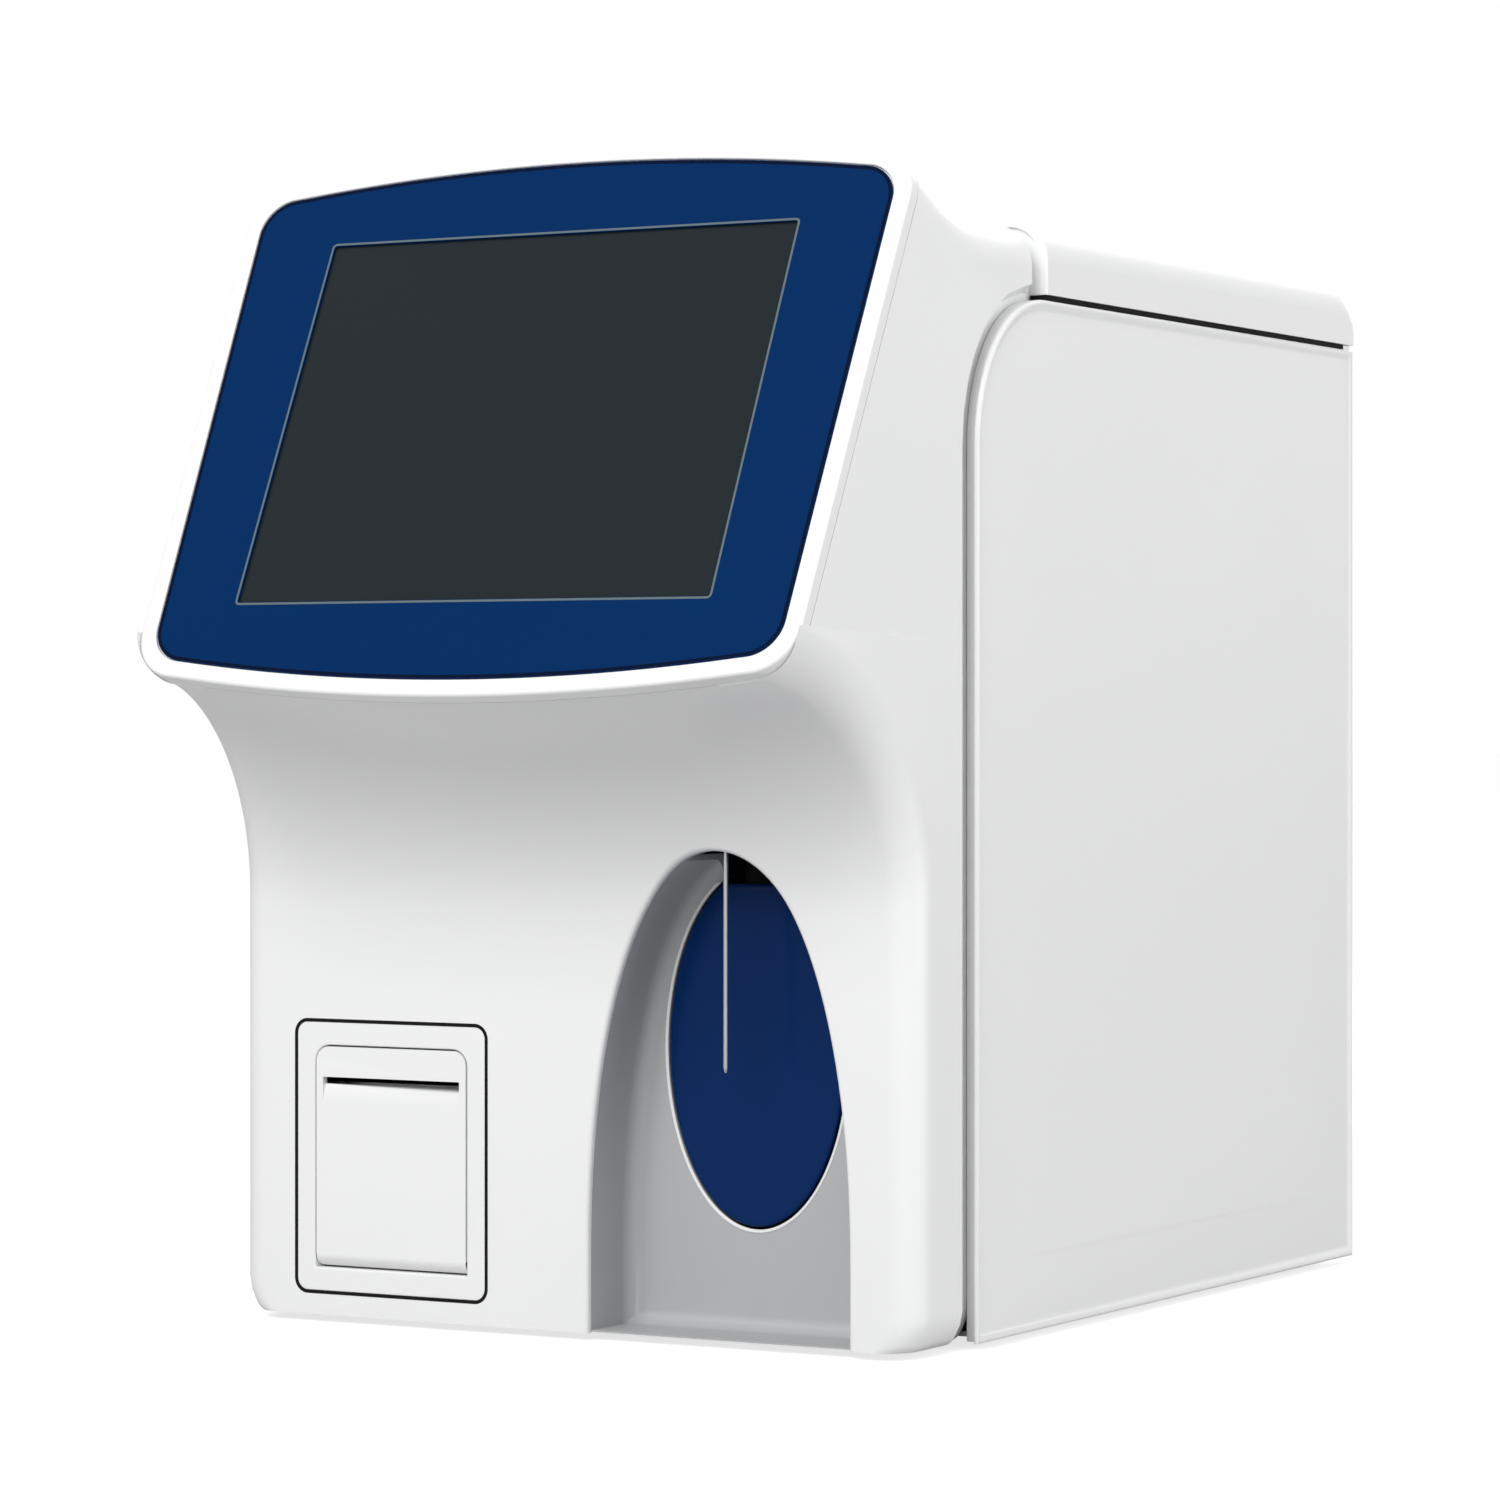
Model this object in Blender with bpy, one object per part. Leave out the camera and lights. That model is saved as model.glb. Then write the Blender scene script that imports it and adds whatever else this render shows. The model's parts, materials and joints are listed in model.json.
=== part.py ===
"""Benchtop blood analyzer for animal clinics: moulded case, tilted touch screen, open sampling bay and panel printer.

Lengths are in metres. +X is to the right of someone facing the screen, +Y goes to the back and +Z is up.
The pieces are drawn from the foot of the lower front face; one empty then stands the whole on its feet, with the
origin at the bottom centre of its box.
"""

import math

import bmesh
import bpy
from mathutils import Matrix, Vector

# Case
BODY_WIDTH = 0.317
BODY_DEPTH = 0.4112
BODY_HEIGHT = 0.4347
PANEL_TOP_Z = 0.4024
SEAM_HEIGHT = 0.0022
CASE_WALL = 0.003
FIT_GAP = 0.0003
CUT_OVERRUN = 0.02

# Front housing
HOUSING_HALF_WIDTH = 0.155
HOUSING_CORNER_RADIUS = 0.013
NECK_BASE_Z = 0.165
SHOULDER_Z = 0.432
HOOD_RUN = 0.046
REVEAL_WIDTH = 0.0065
REVEAL_DEPTH = 0.0048
REVEAL_RUN = 0.0035
FLANGE_LENGTH = 0.014

# Screen, in its own plane
SCREEN_TILT = math.radians(25.04)
SCREEN_CENTRE_Y = -0.03634
SCREEN_CENTRE_Z = 0.35547
LCD_WIDTH = 0.2112
LCD_HEIGHT = 0.1584
OVERLAY_HALF_WIDTH = 0.142
OVERLAY_SIDE_LEAN = 0.024
OVERLAY_TOP = 0.1105
OVERLAY_BOTTOM = -0.1123
OVERLAY_CORNER_RADIUS = 0.015
EDGE_BOW_RADIUS = 0.94
RING_WIDTH = 0.0075
RING_CORNER_RADIUS = 0.020
RING_THICKNESS = 0.006
RING_LEDGE_WIDTH = 0.006
RING_SOFT_EDGE = 0.0015
OVERLAY_GAP = 0.0005
OVERLAY_RECESS = 0.0005
OVERLAY_THICKNESS = 0.001
GLASS_THICKNESS = 0.002
GLASS_MARGIN = 0.0055
LCD_THICKNESS = 0.010
LCD_MARGIN_X = 0.0124
LCD_MARGIN_Z = 0.0088
PAN_WALL = 0.0015
PAN_FLANGE_WIDTH = 0.009
BOARD_THICKNESS = 0.0016
BOARD_STANDOFF = 0.005

# Side panels and top cover
PANEL_WALL = 0.0025
PANEL_RIM_DEPTH = 0.008
PANEL_FRONT_Y = 0.044
PANEL_SHOULDER_RADIUS = 0.060
PANEL_EDGE_RADIUS = 0.002
COVER_FRONT_Y = 0.1035
COVER_SIDE_RADIUS = 0.017
COVER_REAR_RADIUS = 0.018
SEAL_REACH = 0.0065
SEAL_SETBACK = 0.001
SEAM_REAR_STOP = 0.009

# Base and back
BASE_THICKNESS = 0.002
BASE_HEIGHT = 0.0015
BASE_FRONT_Y = 0.006
REAR_RECESS = 0.0122
REAR_THICKNESS = 0.0015
FOOT_HEIGHT = 0.003
FOOT_RADIUS = 0.011
FOOT_INSET = 0.034
FOOT_FRONT_Y = 0.060
FOOT_TAPER = 0.001
BASE_SIDE_INSET = 0.0145
BASE_REAR_GAP = 0.0005

# Sampling bay, the opening under the probe
BAY_X_SHARE = 0.44129
BAY_WIDTH_SHARE = 0.371613
BAY_X = HOUSING_HALF_WIDTH * BAY_X_SHARE
BAY_HALF_WIDTH = HOUSING_HALF_WIDTH * BAY_WIDTH_SHARE
BAY_SPRING_Z = 0.030
BAY_RISE = 0.158
BAY_FULLNESS = 2.15
BAY_DEPTH = 0.032
BAY_WALL = 0.002
BAY_RIM_CHAMFER = 0.002
BAY_NOTCH_GAP = 0.0006
SLOT_HALF_WIDTH = 0.015
SLOT_SILL_Z = 0.1747
SLOT_FRONT_Y = 0.003

# Aspirate key, the oval plate behind the probe
KEY_SIDE_MARGIN = 0.0188
KEY_HALF_WIDTH = BAY_HALF_WIDTH - KEY_SIDE_MARGIN
KEY_HALF_HEIGHT = 0.069
KEY_Z = 0.1105
KEY_THICKNESS = 0.0032
KEY_PROUD = 0.001
KEY_GAP = 0.0014
KEY_TRAVEL = 0.002
KEY_CROWN = 0.0008
KEY_STEM_RADIUS = 0.0025
KEY_STEM_LENGTH = 0.0165
KEY_STEM_RISE = 0.036
BRACKET_Y = 0.0440
BRACKET_THICKNESS = 0.002
BRACKET_SIDE_INSET = 0.0116
BRACKET_HALF_WIDTH = BAY_HALF_WIDTH - BRACKET_SIDE_INSET
BRACKET_HALF_HEIGHT = 0.045
BRACKET_LEG_HALF_HEIGHT = 0.020
SWITCH_WIDTH = 0.020
SWITCH_HEIGHT = 0.010
SWITCH_DEPTH = 0.0055
SWITCH_NUB_LENGTH = 0.0015

# Probe and its lift
PROBE_Y = 0.0076
PROBE_RADIUS = 0.00095
PROBE_TIP_Z = 0.1025
PROBE_POINT = 0.0015
PROBE_SHANK_SHARE = 0.94
PROBE_HUB_RADIUS = 0.003
PROBE_HUB_HEIGHT = 0.012
LIFT_TRAVEL = 0.078
LIFT_Y = 0.066
ROD_SPACING = 0.044
ROD_RADIUS = 0.003
SCREW_RADIUS = 0.004
SCREW_JOURNAL_SHARE = 0.6
SHELF_Z = 0.199
SHELF_THICKNESS = 0.004
CARRIAGE_WIDTH = 0.060
CARRIAGE_DEPTH = 0.020
CARRIAGE_HEIGHT = 0.025
CARRIAGE_CLEARANCE = 0.004
ARM_WIDTH = 0.012
ARM_HEIGHT = 0.012
ARM_NOSE = 0.006
FRAME_WIDTH = 0.070
FRAME_PLATE = 0.003
FRAME_BACK_Y = 0.084
FRAME_FOOT_LENGTH = 0.018
MOTOR_SIZE = 0.035
MOTOR_HEIGHT = 0.030
MOTOR_CORNER = 0.004
WIPE_WIDTH = 0.016
WIPE_DEPTH = 0.010
WIPE_HEIGHT = 0.008
WIPE_SPOUT_RADIUS = 0.0018
WIPE_SPOUT_LENGTH = 0.006

# Printer
PRINTER_X_SHARE = 0.521613
PRINTER_X = -HOUSING_HALF_WIDTH * PRINTER_X_SHARE
PRINTER_Z = 0.0635
PRINTER_FRAME_WIDTH = 0.0895
PRINTER_FRAME_HEIGHT = 0.108
PRINTER_FRAME_RADIUS = 0.005
PRINTER_JOINT_GAP = 0.0008
PRINTER_FRAME_DEPTH = 0.006
PRINTER_LIP_WIDTH = 0.003
DOOR_WIDTH = 0.0709
DOOR_HEIGHT = 0.0880
DOOR_RADIUS = 0.006
DOOR_LOW_RADIUS = 0.0025
DOOR_GAP = 0.0005
DOOR_THICKNESS = 0.003
DOOR_BARREL_RADIUS = 0.005
DOOR_SLOT_WIDTH = 0.0648
DOOR_SLOT_HEIGHT = 0.0022
DOOR_SLOT_Z = 0.0939
DOOR_RAMP_HEIGHT = 0.008
DOOR_RAMP_DEPTH = 0.0018
HINGE_PIN_RADIUS = 0.0015
HINGE_CLEARANCE = 0.0004
HINGE_PIN_SEAT = 0.004
CHEEK_THICKNESS = 0.0022
CHEEK_DEPTH = 0.0125
CHEEK_HALF_HEIGHT = 0.008
PLATEN_RADIUS = 0.005
PLATEN_Y = 0.0105
PLATEN_DROP = 0.0095
PLATEN_SHAFT_RADIUS = 0.0018
CASE_PRINTER_WALL = 0.002
CASE_PRINTER_DEPTH = 0.068
ROLL_RADIUS = 0.025
ROLL_WIDTH = 0.057
ROLL_CORE_RADIUS = 0.0065
ROLL_Y = 0.0425
ROLL_Z = 0.0437
ROLL_STUB_REACH = 0.003
HEAD_THICKNESS = 0.004
HEAD_HEIGHT = 0.016

# Fluid side
FLUID_PLATE_X = -0.010
FLUID_PLATE_THICKNESS = 0.0025
FLUID_PLATE_FRONT_Y = 0.100
FLUID_PLATE_REAR_GAP = 0.0262
FLUID_PLATE_BACK_Y = BODY_DEPTH - FLUID_PLATE_REAR_GAP
FLUID_PLATE_HEIGHT = 0.365
FLUID_PLATE_FOOT = 0.020
BATH_SIZE = 0.028
BATH_HEIGHT = 0.048
BATH_BORE_RADIUS = 0.0095
BATH_BORE_DEPTH = 0.036
BATH_SPOUT_RADIUS = 0.003
BATH_Z = 0.232
BATH_FRONT_Y = 0.130
BATH_PITCH = 0.045
VALVE_COUNT = 4
VALVE_PITCH = 0.036
VALVE_FRONT_Y = 0.122
VALVE_Z = 0.165
VALVE_BASE = 0.018
VALVE_BASE_HEIGHT = 0.024
VALVE_COIL_RADIUS = 0.0095
VALVE_COIL_LENGTH = 0.026
VALVE_NECK_SHARE = 0.9
VALVE_PORT_RADIUS = 0.002
SYRINGE_Y = 0.300
SYRINGE_STANDOFF = 0.024
SYRINGE_RADIUS = 0.009
SYRINGE_WALL = 0.0018
SYRINGE_Z = 0.190
SYRINGE_LENGTH = 0.070
SYRINGE_STROKE = 0.030
PLUNGER_ROD_RADIUS = 0.003
PLUNGER_ROD_ENGAGED = 0.010
PLUNGER_HEAD = 0.010
DRIVE_HEIGHT = 0.052
DRIVE_WIDTH = 0.032
PUMP_Y = 0.215
PUMP_Z = 0.060
PUMP_RADIUS = 0.019
PUMP_LENGTH = 0.045
PUMP_MOTOR_SHARE = 0.8
PUMP_HEAD_SIZE = 0.036
PUMP_HEAD_LENGTH = 0.016

# Electronics
MAIN_BOARD_FRONT_INSET = 0.040
MAIN_BOARD_BACK_INSET = 0.025
MAIN_BOARD_FRONT_Y = FLUID_PLATE_FRONT_Y + MAIN_BOARD_FRONT_INSET
MAIN_BOARD_BACK_Y = FLUID_PLATE_BACK_Y - MAIN_BOARD_BACK_INSET
MAIN_BOARD_LENGTH = MAIN_BOARD_BACK_Y - MAIN_BOARD_FRONT_Y
MAIN_BOARD_HEIGHT = 0.190
MAIN_BOARD_Y = (MAIN_BOARD_FRONT_Y + MAIN_BOARD_BACK_Y) / 2
MAIN_BOARD_Z = 0.230
BOARD_PARTS = (
    (-0.30, 0.25, 0.030, 0.030, 0.006),
    (0.05, 0.22, 0.040, 0.022, 0.008),
    (0.30, -0.05, 0.024, 0.060, 0.010),
    (-0.15, -0.25, 0.070, 0.026, 0.012),
    (-0.38, -0.10, 0.014, 0.070, 0.009),
)
SUPPLY_LENGTH = 0.130
SUPPLY_SLOTS = 8
SUPPLY_WIDTH = 0.090
SUPPLY_HEIGHT = 0.050
SUPPLY_X = -0.085
SUPPLY_REAR_GAP = 0.0462
SUPPLY_Y = BODY_DEPTH - SUPPLY_REAR_GAP - SUPPLY_LENGTH / 2
FAN_SIZE = 0.080
FAN_DEPTH = 0.025
FAN_X = -0.075
FAN_Z = 0.285
FAN_HUB_RADIUS = 0.017
FAN_BLADES = 7
FAN_TIP_GAP = 0.0012
FAN_WALL = 0.002
FAN_ROOT_PITCH = math.radians(42.0)
FAN_TIP_PITCH = math.radians(28.0)
FAN_CHORD_SHARE = 0.45
FAN_ROOT_SHARE = 0.7
FAN_SLOTS = 7
FAN_SLOT_PITCH = 0.0095

# Back panel fittings
PORT_COUNT = 4
PORT_PITCH = 0.024
PORT_X = 0.046
PORT_Z = 0.060
PORT_FLANGE_RADIUS = 0.008
PORT_BORE_RADIUS = 0.0015
PORT_STEM_RADIUS = 0.0055
PORT_BARB_RADIUS = 0.003
PORT_BARB_TIP_SHARE = 0.8
PORT_LENGTH = 0.0105
INLET_X = -0.100
INLET_Z = 0.060
INLET_WIDTH = 0.0275
INLET_HEIGHT = 0.0200
INLET_FLANGE = 0.004
INLET_DEPTH = 0.022
PIN_THICKNESS = 0.002
PIN_PLACE_SHARES = ((-0.25, -0.1), (0.0, 0.1), (0.25, -0.1))
BEZEL_WALL = 0.002
ROCKER_X = -0.060
ROCKER_WIDTH = 0.013
ROCKER_HEIGHT = 0.019
ROCKER_TRAVEL = math.radians(12.0)
ROCKER_DEPTH = 0.007
ROCKER_CLEARANCE = 0.0012
ROCKER_FOOT_SHARE = 0.6
ROCKER_CREST_SHARE = 0.75

# Facets
SMOOTH_ANGLE = math.radians(30.0)
BEVEL_ANGLE = math.radians(40.0)
CORNER_STEPS = 4
BOW_STEPS = 6
ROUND_STEPS = 24
SMALL_ROUND_STEPS = 12

ROOT_NAME = "analyzer"
HALF_BODY = BODY_WIDTH / 2
NECK_STEPS = 6
FOOT_CORNER_SHARES = ((0.0, 0.5), (0.35, 0.2), (1.0, 0.0))


def clear_scene():
    """Empty the scene without touching the file."""
    for item in list(bpy.data.objects):
        bpy.data.objects.remove(item, do_unlink=True)


def make_material(name, colour, roughness, metallic=0.0):
    """A plain Principled material of the given colour."""
    material = bpy.data.materials.new(name)
    material.use_nodes = True
    shader = material.node_tree.nodes["Principled BSDF"]
    shader.inputs["Base Color"].default_value = (*colour, 1.0)
    shader.inputs["Roughness"].default_value = roughness
    shader.inputs["Metallic"].default_value = metallic
    return material


def make_materials():
    """Every material of the object, by the name its pieces use."""
    table = {
        "white_shell": ((0.88, 0.88, 0.88), 0.35, 0.0),
        "blue_overlay": ((0.012, 0.055, 0.175), 0.3, 0.0),
        "dark_glass": ((0.022, 0.028, 0.032), 0.15, 0.0),
        "bay_grey": ((0.42, 0.42, 0.42), 0.4, 0.0),
        "black_plastic": ((0.02, 0.02, 0.022), 0.5, 0.0),
        "rubber": ((0.03, 0.03, 0.03), 0.8, 0.0),
        "steel": ((0.72, 0.72, 0.74), 0.25, 1.0),
        "plated_sheet": ((0.55, 0.56, 0.57), 0.4, 1.0),
        "painted_sheet": ((0.75, 0.75, 0.75), 0.5, 0.0),
        "board_green": ((0.02, 0.16, 0.06), 0.45, 0.0),
        "clear_acrylic": ((0.75, 0.80, 0.82), 0.1, 0.0),
        "valve_blue": ((0.05, 0.13, 0.30), 0.4, 0.0),
        "paper": ((0.92, 0.92, 0.90), 0.8, 0.0),
        "brass": ((0.72, 0.52, 0.22), 0.35, 1.0),
    }
    return {name: make_material(name, *values) for name, values in table.items()}


def place(piece, pivot=(0.0, 0.0, 0.0)):
    """Hang a piece on the root empty, with its origin at the pivot."""
    piece.data.transform(Matrix.Translation(-Vector(pivot)))
    piece.location = pivot
    piece.parent = bpy.data.objects[ROOT_NAME]


def solid(name, bm, material=None, pivot=(0.0, 0.0, 0.0), smooth=False):
    """Turn a closed bmesh into an object of the analyzer."""
    bmesh.ops.recalc_face_normals(bm, faces=bm.faces)
    mesh = bpy.data.meshes.new(name)
    bm.to_mesh(mesh)
    bm.free()
    piece = bpy.data.objects.new(name, mesh)
    bpy.context.scene.collection.objects.link(piece)
    if material:
        mesh.materials.append(material)
    if smooth:
        mesh.shade_smooth()
        mesh.set_sharp_from_angle(angle=SMOOTH_ANGLE)
    place(piece, pivot)
    return piece


def combine(target, operation, bm, label):
    """Cut a shape from the target, or add it, with a Boolean that stays on the object."""
    helper = solid(f"{target.name}_{label}", bm)
    helper.hide_render = True
    helper.display_type = "WIRE"
    modifier = target.modifiers.new(label, "BOOLEAN")
    modifier.operation = operation
    modifier.solver = "EXACT"
    modifier.use_self = True
    modifier.object = helper
    return helper


def add_box(bm, low, high):
    """A box between two corners."""
    low = Vector(low)
    high = Vector(high)
    made = bmesh.ops.create_cube(bm, size=1.0)
    shape = Matrix.Translation((low + high) / 2) @ Matrix.Diagonal((*(high - low), 1.0))
    bmesh.ops.transform(bm, matrix=shape, verts=made["verts"])


def turn_to(axis):
    """The rotation that takes +Z to the named axis."""
    turns = {
        "X": Matrix.Rotation(math.pi / 2, 4, "Y"),
        "Y": Matrix.Rotation(-math.pi / 2, 4, "X"),
        "Z": Matrix.Identity(4),
    }
    return turns[axis]


def add_rod(bm, base, axis, length, radius, top_radius=None, steps=SMALL_ROUND_STEPS):
    """A rod or cone that starts at base and runs along +axis."""
    made = bmesh.ops.create_cone(
        bm,
        cap_ends=True,
        segments=steps,
        radius1=radius,
        radius2=radius if top_radius is None else top_radius,
        depth=length,
    )
    shape = Matrix.Translation(base) @ turn_to(axis) @ Matrix.Translation((0.0, 0.0, length / 2))
    bmesh.ops.transform(bm, matrix=shape, verts=made["verts"])


def add_rows(bm, rows, closed_across=False, closed_along=False, caps=False):
    """Faces between rows of points: a skin, a tube, or a solid with end caps."""
    grid = [[bm.verts.new(point) for point in row] for row in rows]
    pairs = list(zip(grid, grid[1:]))
    if closed_along:
        pairs.append((grid[-1], grid[0]))
    for near, far in pairs:
        count = len(near)
        for index in range(count if closed_across else count - 1):
            after = (index + 1) % count
            bm.faces.new((near[index], near[after], far[after], far[index]))
    if caps:
        bm.faces.new(list(reversed(grid[0])))
        bm.faces.new(grid[-1])
    return grid


def box_solid(name, low, high, material, pivot=(0.0, 0.0, 0.0), bevel=0.0):
    """A box as an object, with rounded edges where a bevel is given."""
    bm = bmesh.new()
    add_box(bm, low, high)
    piece = solid(name, bm, material, pivot)
    if bevel:
        round_edges(piece, bevel)
    return piece


def round_edges(piece, width, steps=2):
    """A Bevel on the sharp edges of a piece."""
    modifier = piece.modifiers.new("rounded_edges", "BEVEL")
    modifier.width = width
    modifier.segments = steps
    modifier.limit_method = "ANGLE"
    modifier.angle_limit = BEVEL_ANGLE


def arc(centre, radius, start, end, steps):
    """Points along an arc, angles in radians."""
    points = []
    for index in range(steps + 1):
        angle = start + (end - start) * index / steps
        points.append((centre[0] + radius * math.cos(angle), centre[1] + radius * math.sin(angle)))
    return points


def rounded_rectangle(half_width, half_height, radius, steps=CORNER_STEPS, low_radius=None):
    """Outline of a rectangle with round corners, anticlockwise from its lower right corner."""
    outline = []
    for turn, (side_x, side_z) in enumerate(((1, -1), (1, 1), (-1, 1), (-1, -1))):
        start = (turn - 1) * math.pi / 2
        size = radius if low_radius is None or side_z > 0 else low_radius
        centre = (side_x * (half_width - size), side_z * (half_height - size))
        outline += arc(centre, size, start, start + math.pi / 2, steps)
    return outline


def moved(outline, shift_x, shift_z):
    """The outline moved in its plane."""
    return [(x + shift_x, z + shift_z) for x, z in outline]


def upright(outline, y):
    """Outline points stood in the plane at depth y."""
    return [Vector((x, y, z)) for x, z in outline]


def add_slab(bm, outline, y_front, y_back):
    """An outline in X and Z pushed from one depth to another."""
    add_rows(bm, [upright(outline, y_front), upright(outline, y_back)], closed_across=True, caps=True)


def add_ring(bm, outer, inner, y_front, y_back):
    """A flat ring between two outlines of as many points."""
    rows = [upright(outer, y_front), upright(outer, y_back), upright(inner, y_back), upright(inner, y_front)]
    add_rows(bm, rows, closed_across=True, closed_along=True)


def on_screen(s, t, n=0.0):
    """A point given across, up and out of the screen plane."""
    up = Vector((0.0, math.sin(SCREEN_TILT), math.cos(SCREEN_TILT)))
    out = Vector((0.0, -math.cos(SCREEN_TILT), math.sin(SCREEN_TILT)))
    return Vector((s, SCREEN_CENTRE_Y, SCREEN_CENTRE_Z)) + up * t + out * n


def bow_drop(s):
    """How far the bowed top or bottom edge of the screen frame falls away from its middle."""
    return EDGE_BOW_RADIUS - math.sqrt(EDGE_BOW_RADIUS**2 - s**2)


def half_width_at(t, grow):
    """Half width of the blue panel at height t, grown by a margin; its sides lean out towards the top."""
    return OVERLAY_HALF_WIDTH + OVERLAY_SIDE_LEAN * t + grow


def screen_corner(side, grow, radius):
    """Round corner of the screen frame: from the bowed edge to the leaning side, for side +1 at the top, -1 below."""
    edge = (OVERLAY_TOP if side > 0 else OVERLAY_BOTTOM) + side * grow
    t = edge
    for _ in range(CORNER_STEPS):
        s = half_width_at(t, grow)
        t = edge - side * bow_drop(s)
    along = Vector((-1.0, side * s / EDGE_BOW_RADIUS)).normalized()
    down = Vector((-side * OVERLAY_SIDE_LEAN, -side)).normalized()
    opening = along.angle(down)
    reach = radius / math.tan(opening / 2)
    middle = Vector((s, t)) + (along + down).normalized() * radius / math.sin(opening / 2)
    first = Vector((s, t)) + along * reach - middle
    last = Vector((s, t)) + down * reach - middle
    start = math.atan2(first.y, first.x)
    sweep = (math.atan2(last.y, last.x) - start + math.pi) % (2 * math.pi) - math.pi
    return arc(middle, radius, start, start + sweep, CORNER_STEPS)


def screen_edge(side, grow, radius):
    """Half of the bowed edge, from its middle out, and the corner after it."""
    corner = screen_corner(side, grow, radius)
    edge = (OVERLAY_TOP if side > 0 else OVERLAY_BOTTOM) + side * grow
    end = corner[0][0]
    points = []
    for index in range(BOW_STEPS):
        s = end * index / BOW_STEPS
        points.append((s, edge - side * bow_drop(s)))
    return points + corner


def screen_outline(grow, radius):
    """Whole outline of the blue panel, grown by a margin, anticlockwise seen from the front."""
    bottom = screen_edge(-1, grow, radius)
    top = screen_edge(1, grow, radius)
    right = bottom + list(reversed(top))
    left = [(-s, t) for s, t in reversed(right)]
    return right + left[1:-1]


def plate_on_screen(bm, outline, n_front, n_back):
    """A slab parallel to the screen."""
    rows = [[on_screen(s, t, n) for s, t in outline] for n in (n_front, n_back)]
    add_rows(bm, rows, closed_across=True, caps=True)


def ring_on_screen(bm, outer, inner, n_front, n_back):
    """A ring parallel to the screen."""
    plan = ((outer, n_front), (outer, n_back), (inner, n_back), (inner, n_front))
    rows = [[on_screen(s, t, n) for s, t in outline] for outline, n in plan]
    add_rows(bm, rows, closed_across=True, closed_along=True)


def rectangle(half_width, half_height):
    """Four corners of a rectangle."""
    return [(half_width, -half_height), (half_width, half_height), (-half_width, half_height), (-half_width, -half_height)]


RING_BACK = -(RING_THICKNESS + FIT_GAP)
RING_GROW = RING_WIDTH
NECK_END = on_screen(0.0, OVERLAY_BOTTOM - RING_GROW, RING_BACK)
NECK_RISE = NECK_END.z - NECK_BASE_Z
SHOULDER_FRONT_Y = COVER_FRONT_Y - REVEAL_WIDTH
REVEAL_FRONT_Y = PANEL_FRONT_Y - REVEAL_WIDTH
SHOULDER_CENTRE = (PANEL_FRONT_Y + PANEL_SHOULDER_RADIUS, PANEL_TOP_Z - PANEL_SHOULDER_RADIUS)
REVEAL_RADIUS = PANEL_SHOULDER_RADIUS + REVEAL_WIDTH
SHOULDER_END = math.acos((SHOULDER_FRONT_Y - SHOULDER_CENTRE[0]) / REVEAL_RADIUS)
FLANGE_HALF_WIDTH = HOUSING_HALF_WIDTH - REVEAL_DEPTH
SIDE_STEPS = 3
PLANE_STEPS = 4
HOOD_STEPS = 5


def neck_front(z):
    """Depth of the housing's outer face on its centre line: flat below, sweeping out to the screen above."""
    share = max(0.0, (z - NECK_BASE_Z) / NECK_RISE)
    return NECK_END.y * (1.0 - math.sqrt(max(0.0, 1.0 - share**2)))


def neck_wall_depth(z):
    """Depth of the housing's wall, measured straight back, at height z."""
    share = max(0.0, (z - NECK_BASE_Z) / NECK_RISE)
    slope = NECK_END.y * share / math.sqrt(1.0 - share**2) / NECK_RISE
    return CASE_WALL * math.sqrt(1.0 + slope**2)


def reveal_edge(travel):
    """A point of the housing's side edge: straight up beside the panel, then round its shoulder.

    Below the shoulder travel is a height; above it, it is the height of the shoulder plus an arc length.
    """
    straight = SHOULDER_CENTRE[1]
    if travel <= straight:
        return Vector((0.0, REVEAL_FRONT_Y, travel)), Vector((0.0, 1.0, 0.0))
    angle = math.pi - (travel - straight) / REVEAL_RADIUS
    out = Vector((0.0, math.cos(angle), math.sin(angle)))
    centre = Vector((0.0, *SHOULDER_CENTRE))
    return centre + out * REVEAL_RADIUS, -out


def front_arc(middle, inward, crown, half_width, radius):
    """Half of a section's front: bowed across, then round the corner to the side."""
    points = []
    flat = half_width - radius
    for index in range(BOW_STEPS + 1):
        x = flat * index / BOW_STEPS
        points.append(middle + inward * crown * bow_drop(x) + Vector((x, 0.0, 0.0)))
    for index in range(1, CORNER_STEPS + 1):
        angle = math.pi / 2 * index / CORNER_STEPS
        x = flat + radius * math.sin(angle)
        depth = crown * bow_drop(flat) + radius * (1.0 - math.cos(angle))
        points.append(middle + inward * depth + Vector((x, 0.0, 0.0)))
    return points


def whole_section(front, travel, side_x, flange_x, shift=0.0):
    """Add the side, the reveal and the hidden flange to half a front, and mirror it to a full row."""
    edge, back = reveal_edge(travel)
    edge = edge + Vector((side_x, shift, 0.0))
    start = front[-1]
    half = list(front)
    for index in range(1, SIDE_STEPS + 1):
        half.append(start.lerp(edge, index / SIDE_STEPS))
    flange = Vector((flange_x, edge.y, edge.z))
    half.append(flange + back * REVEAL_RUN)
    half.append(flange + back * FLANGE_LENGTH)
    left = [Vector((-point.x, point.y, point.z)) for point in reversed(half)]
    return left[:-1] + half


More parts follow.
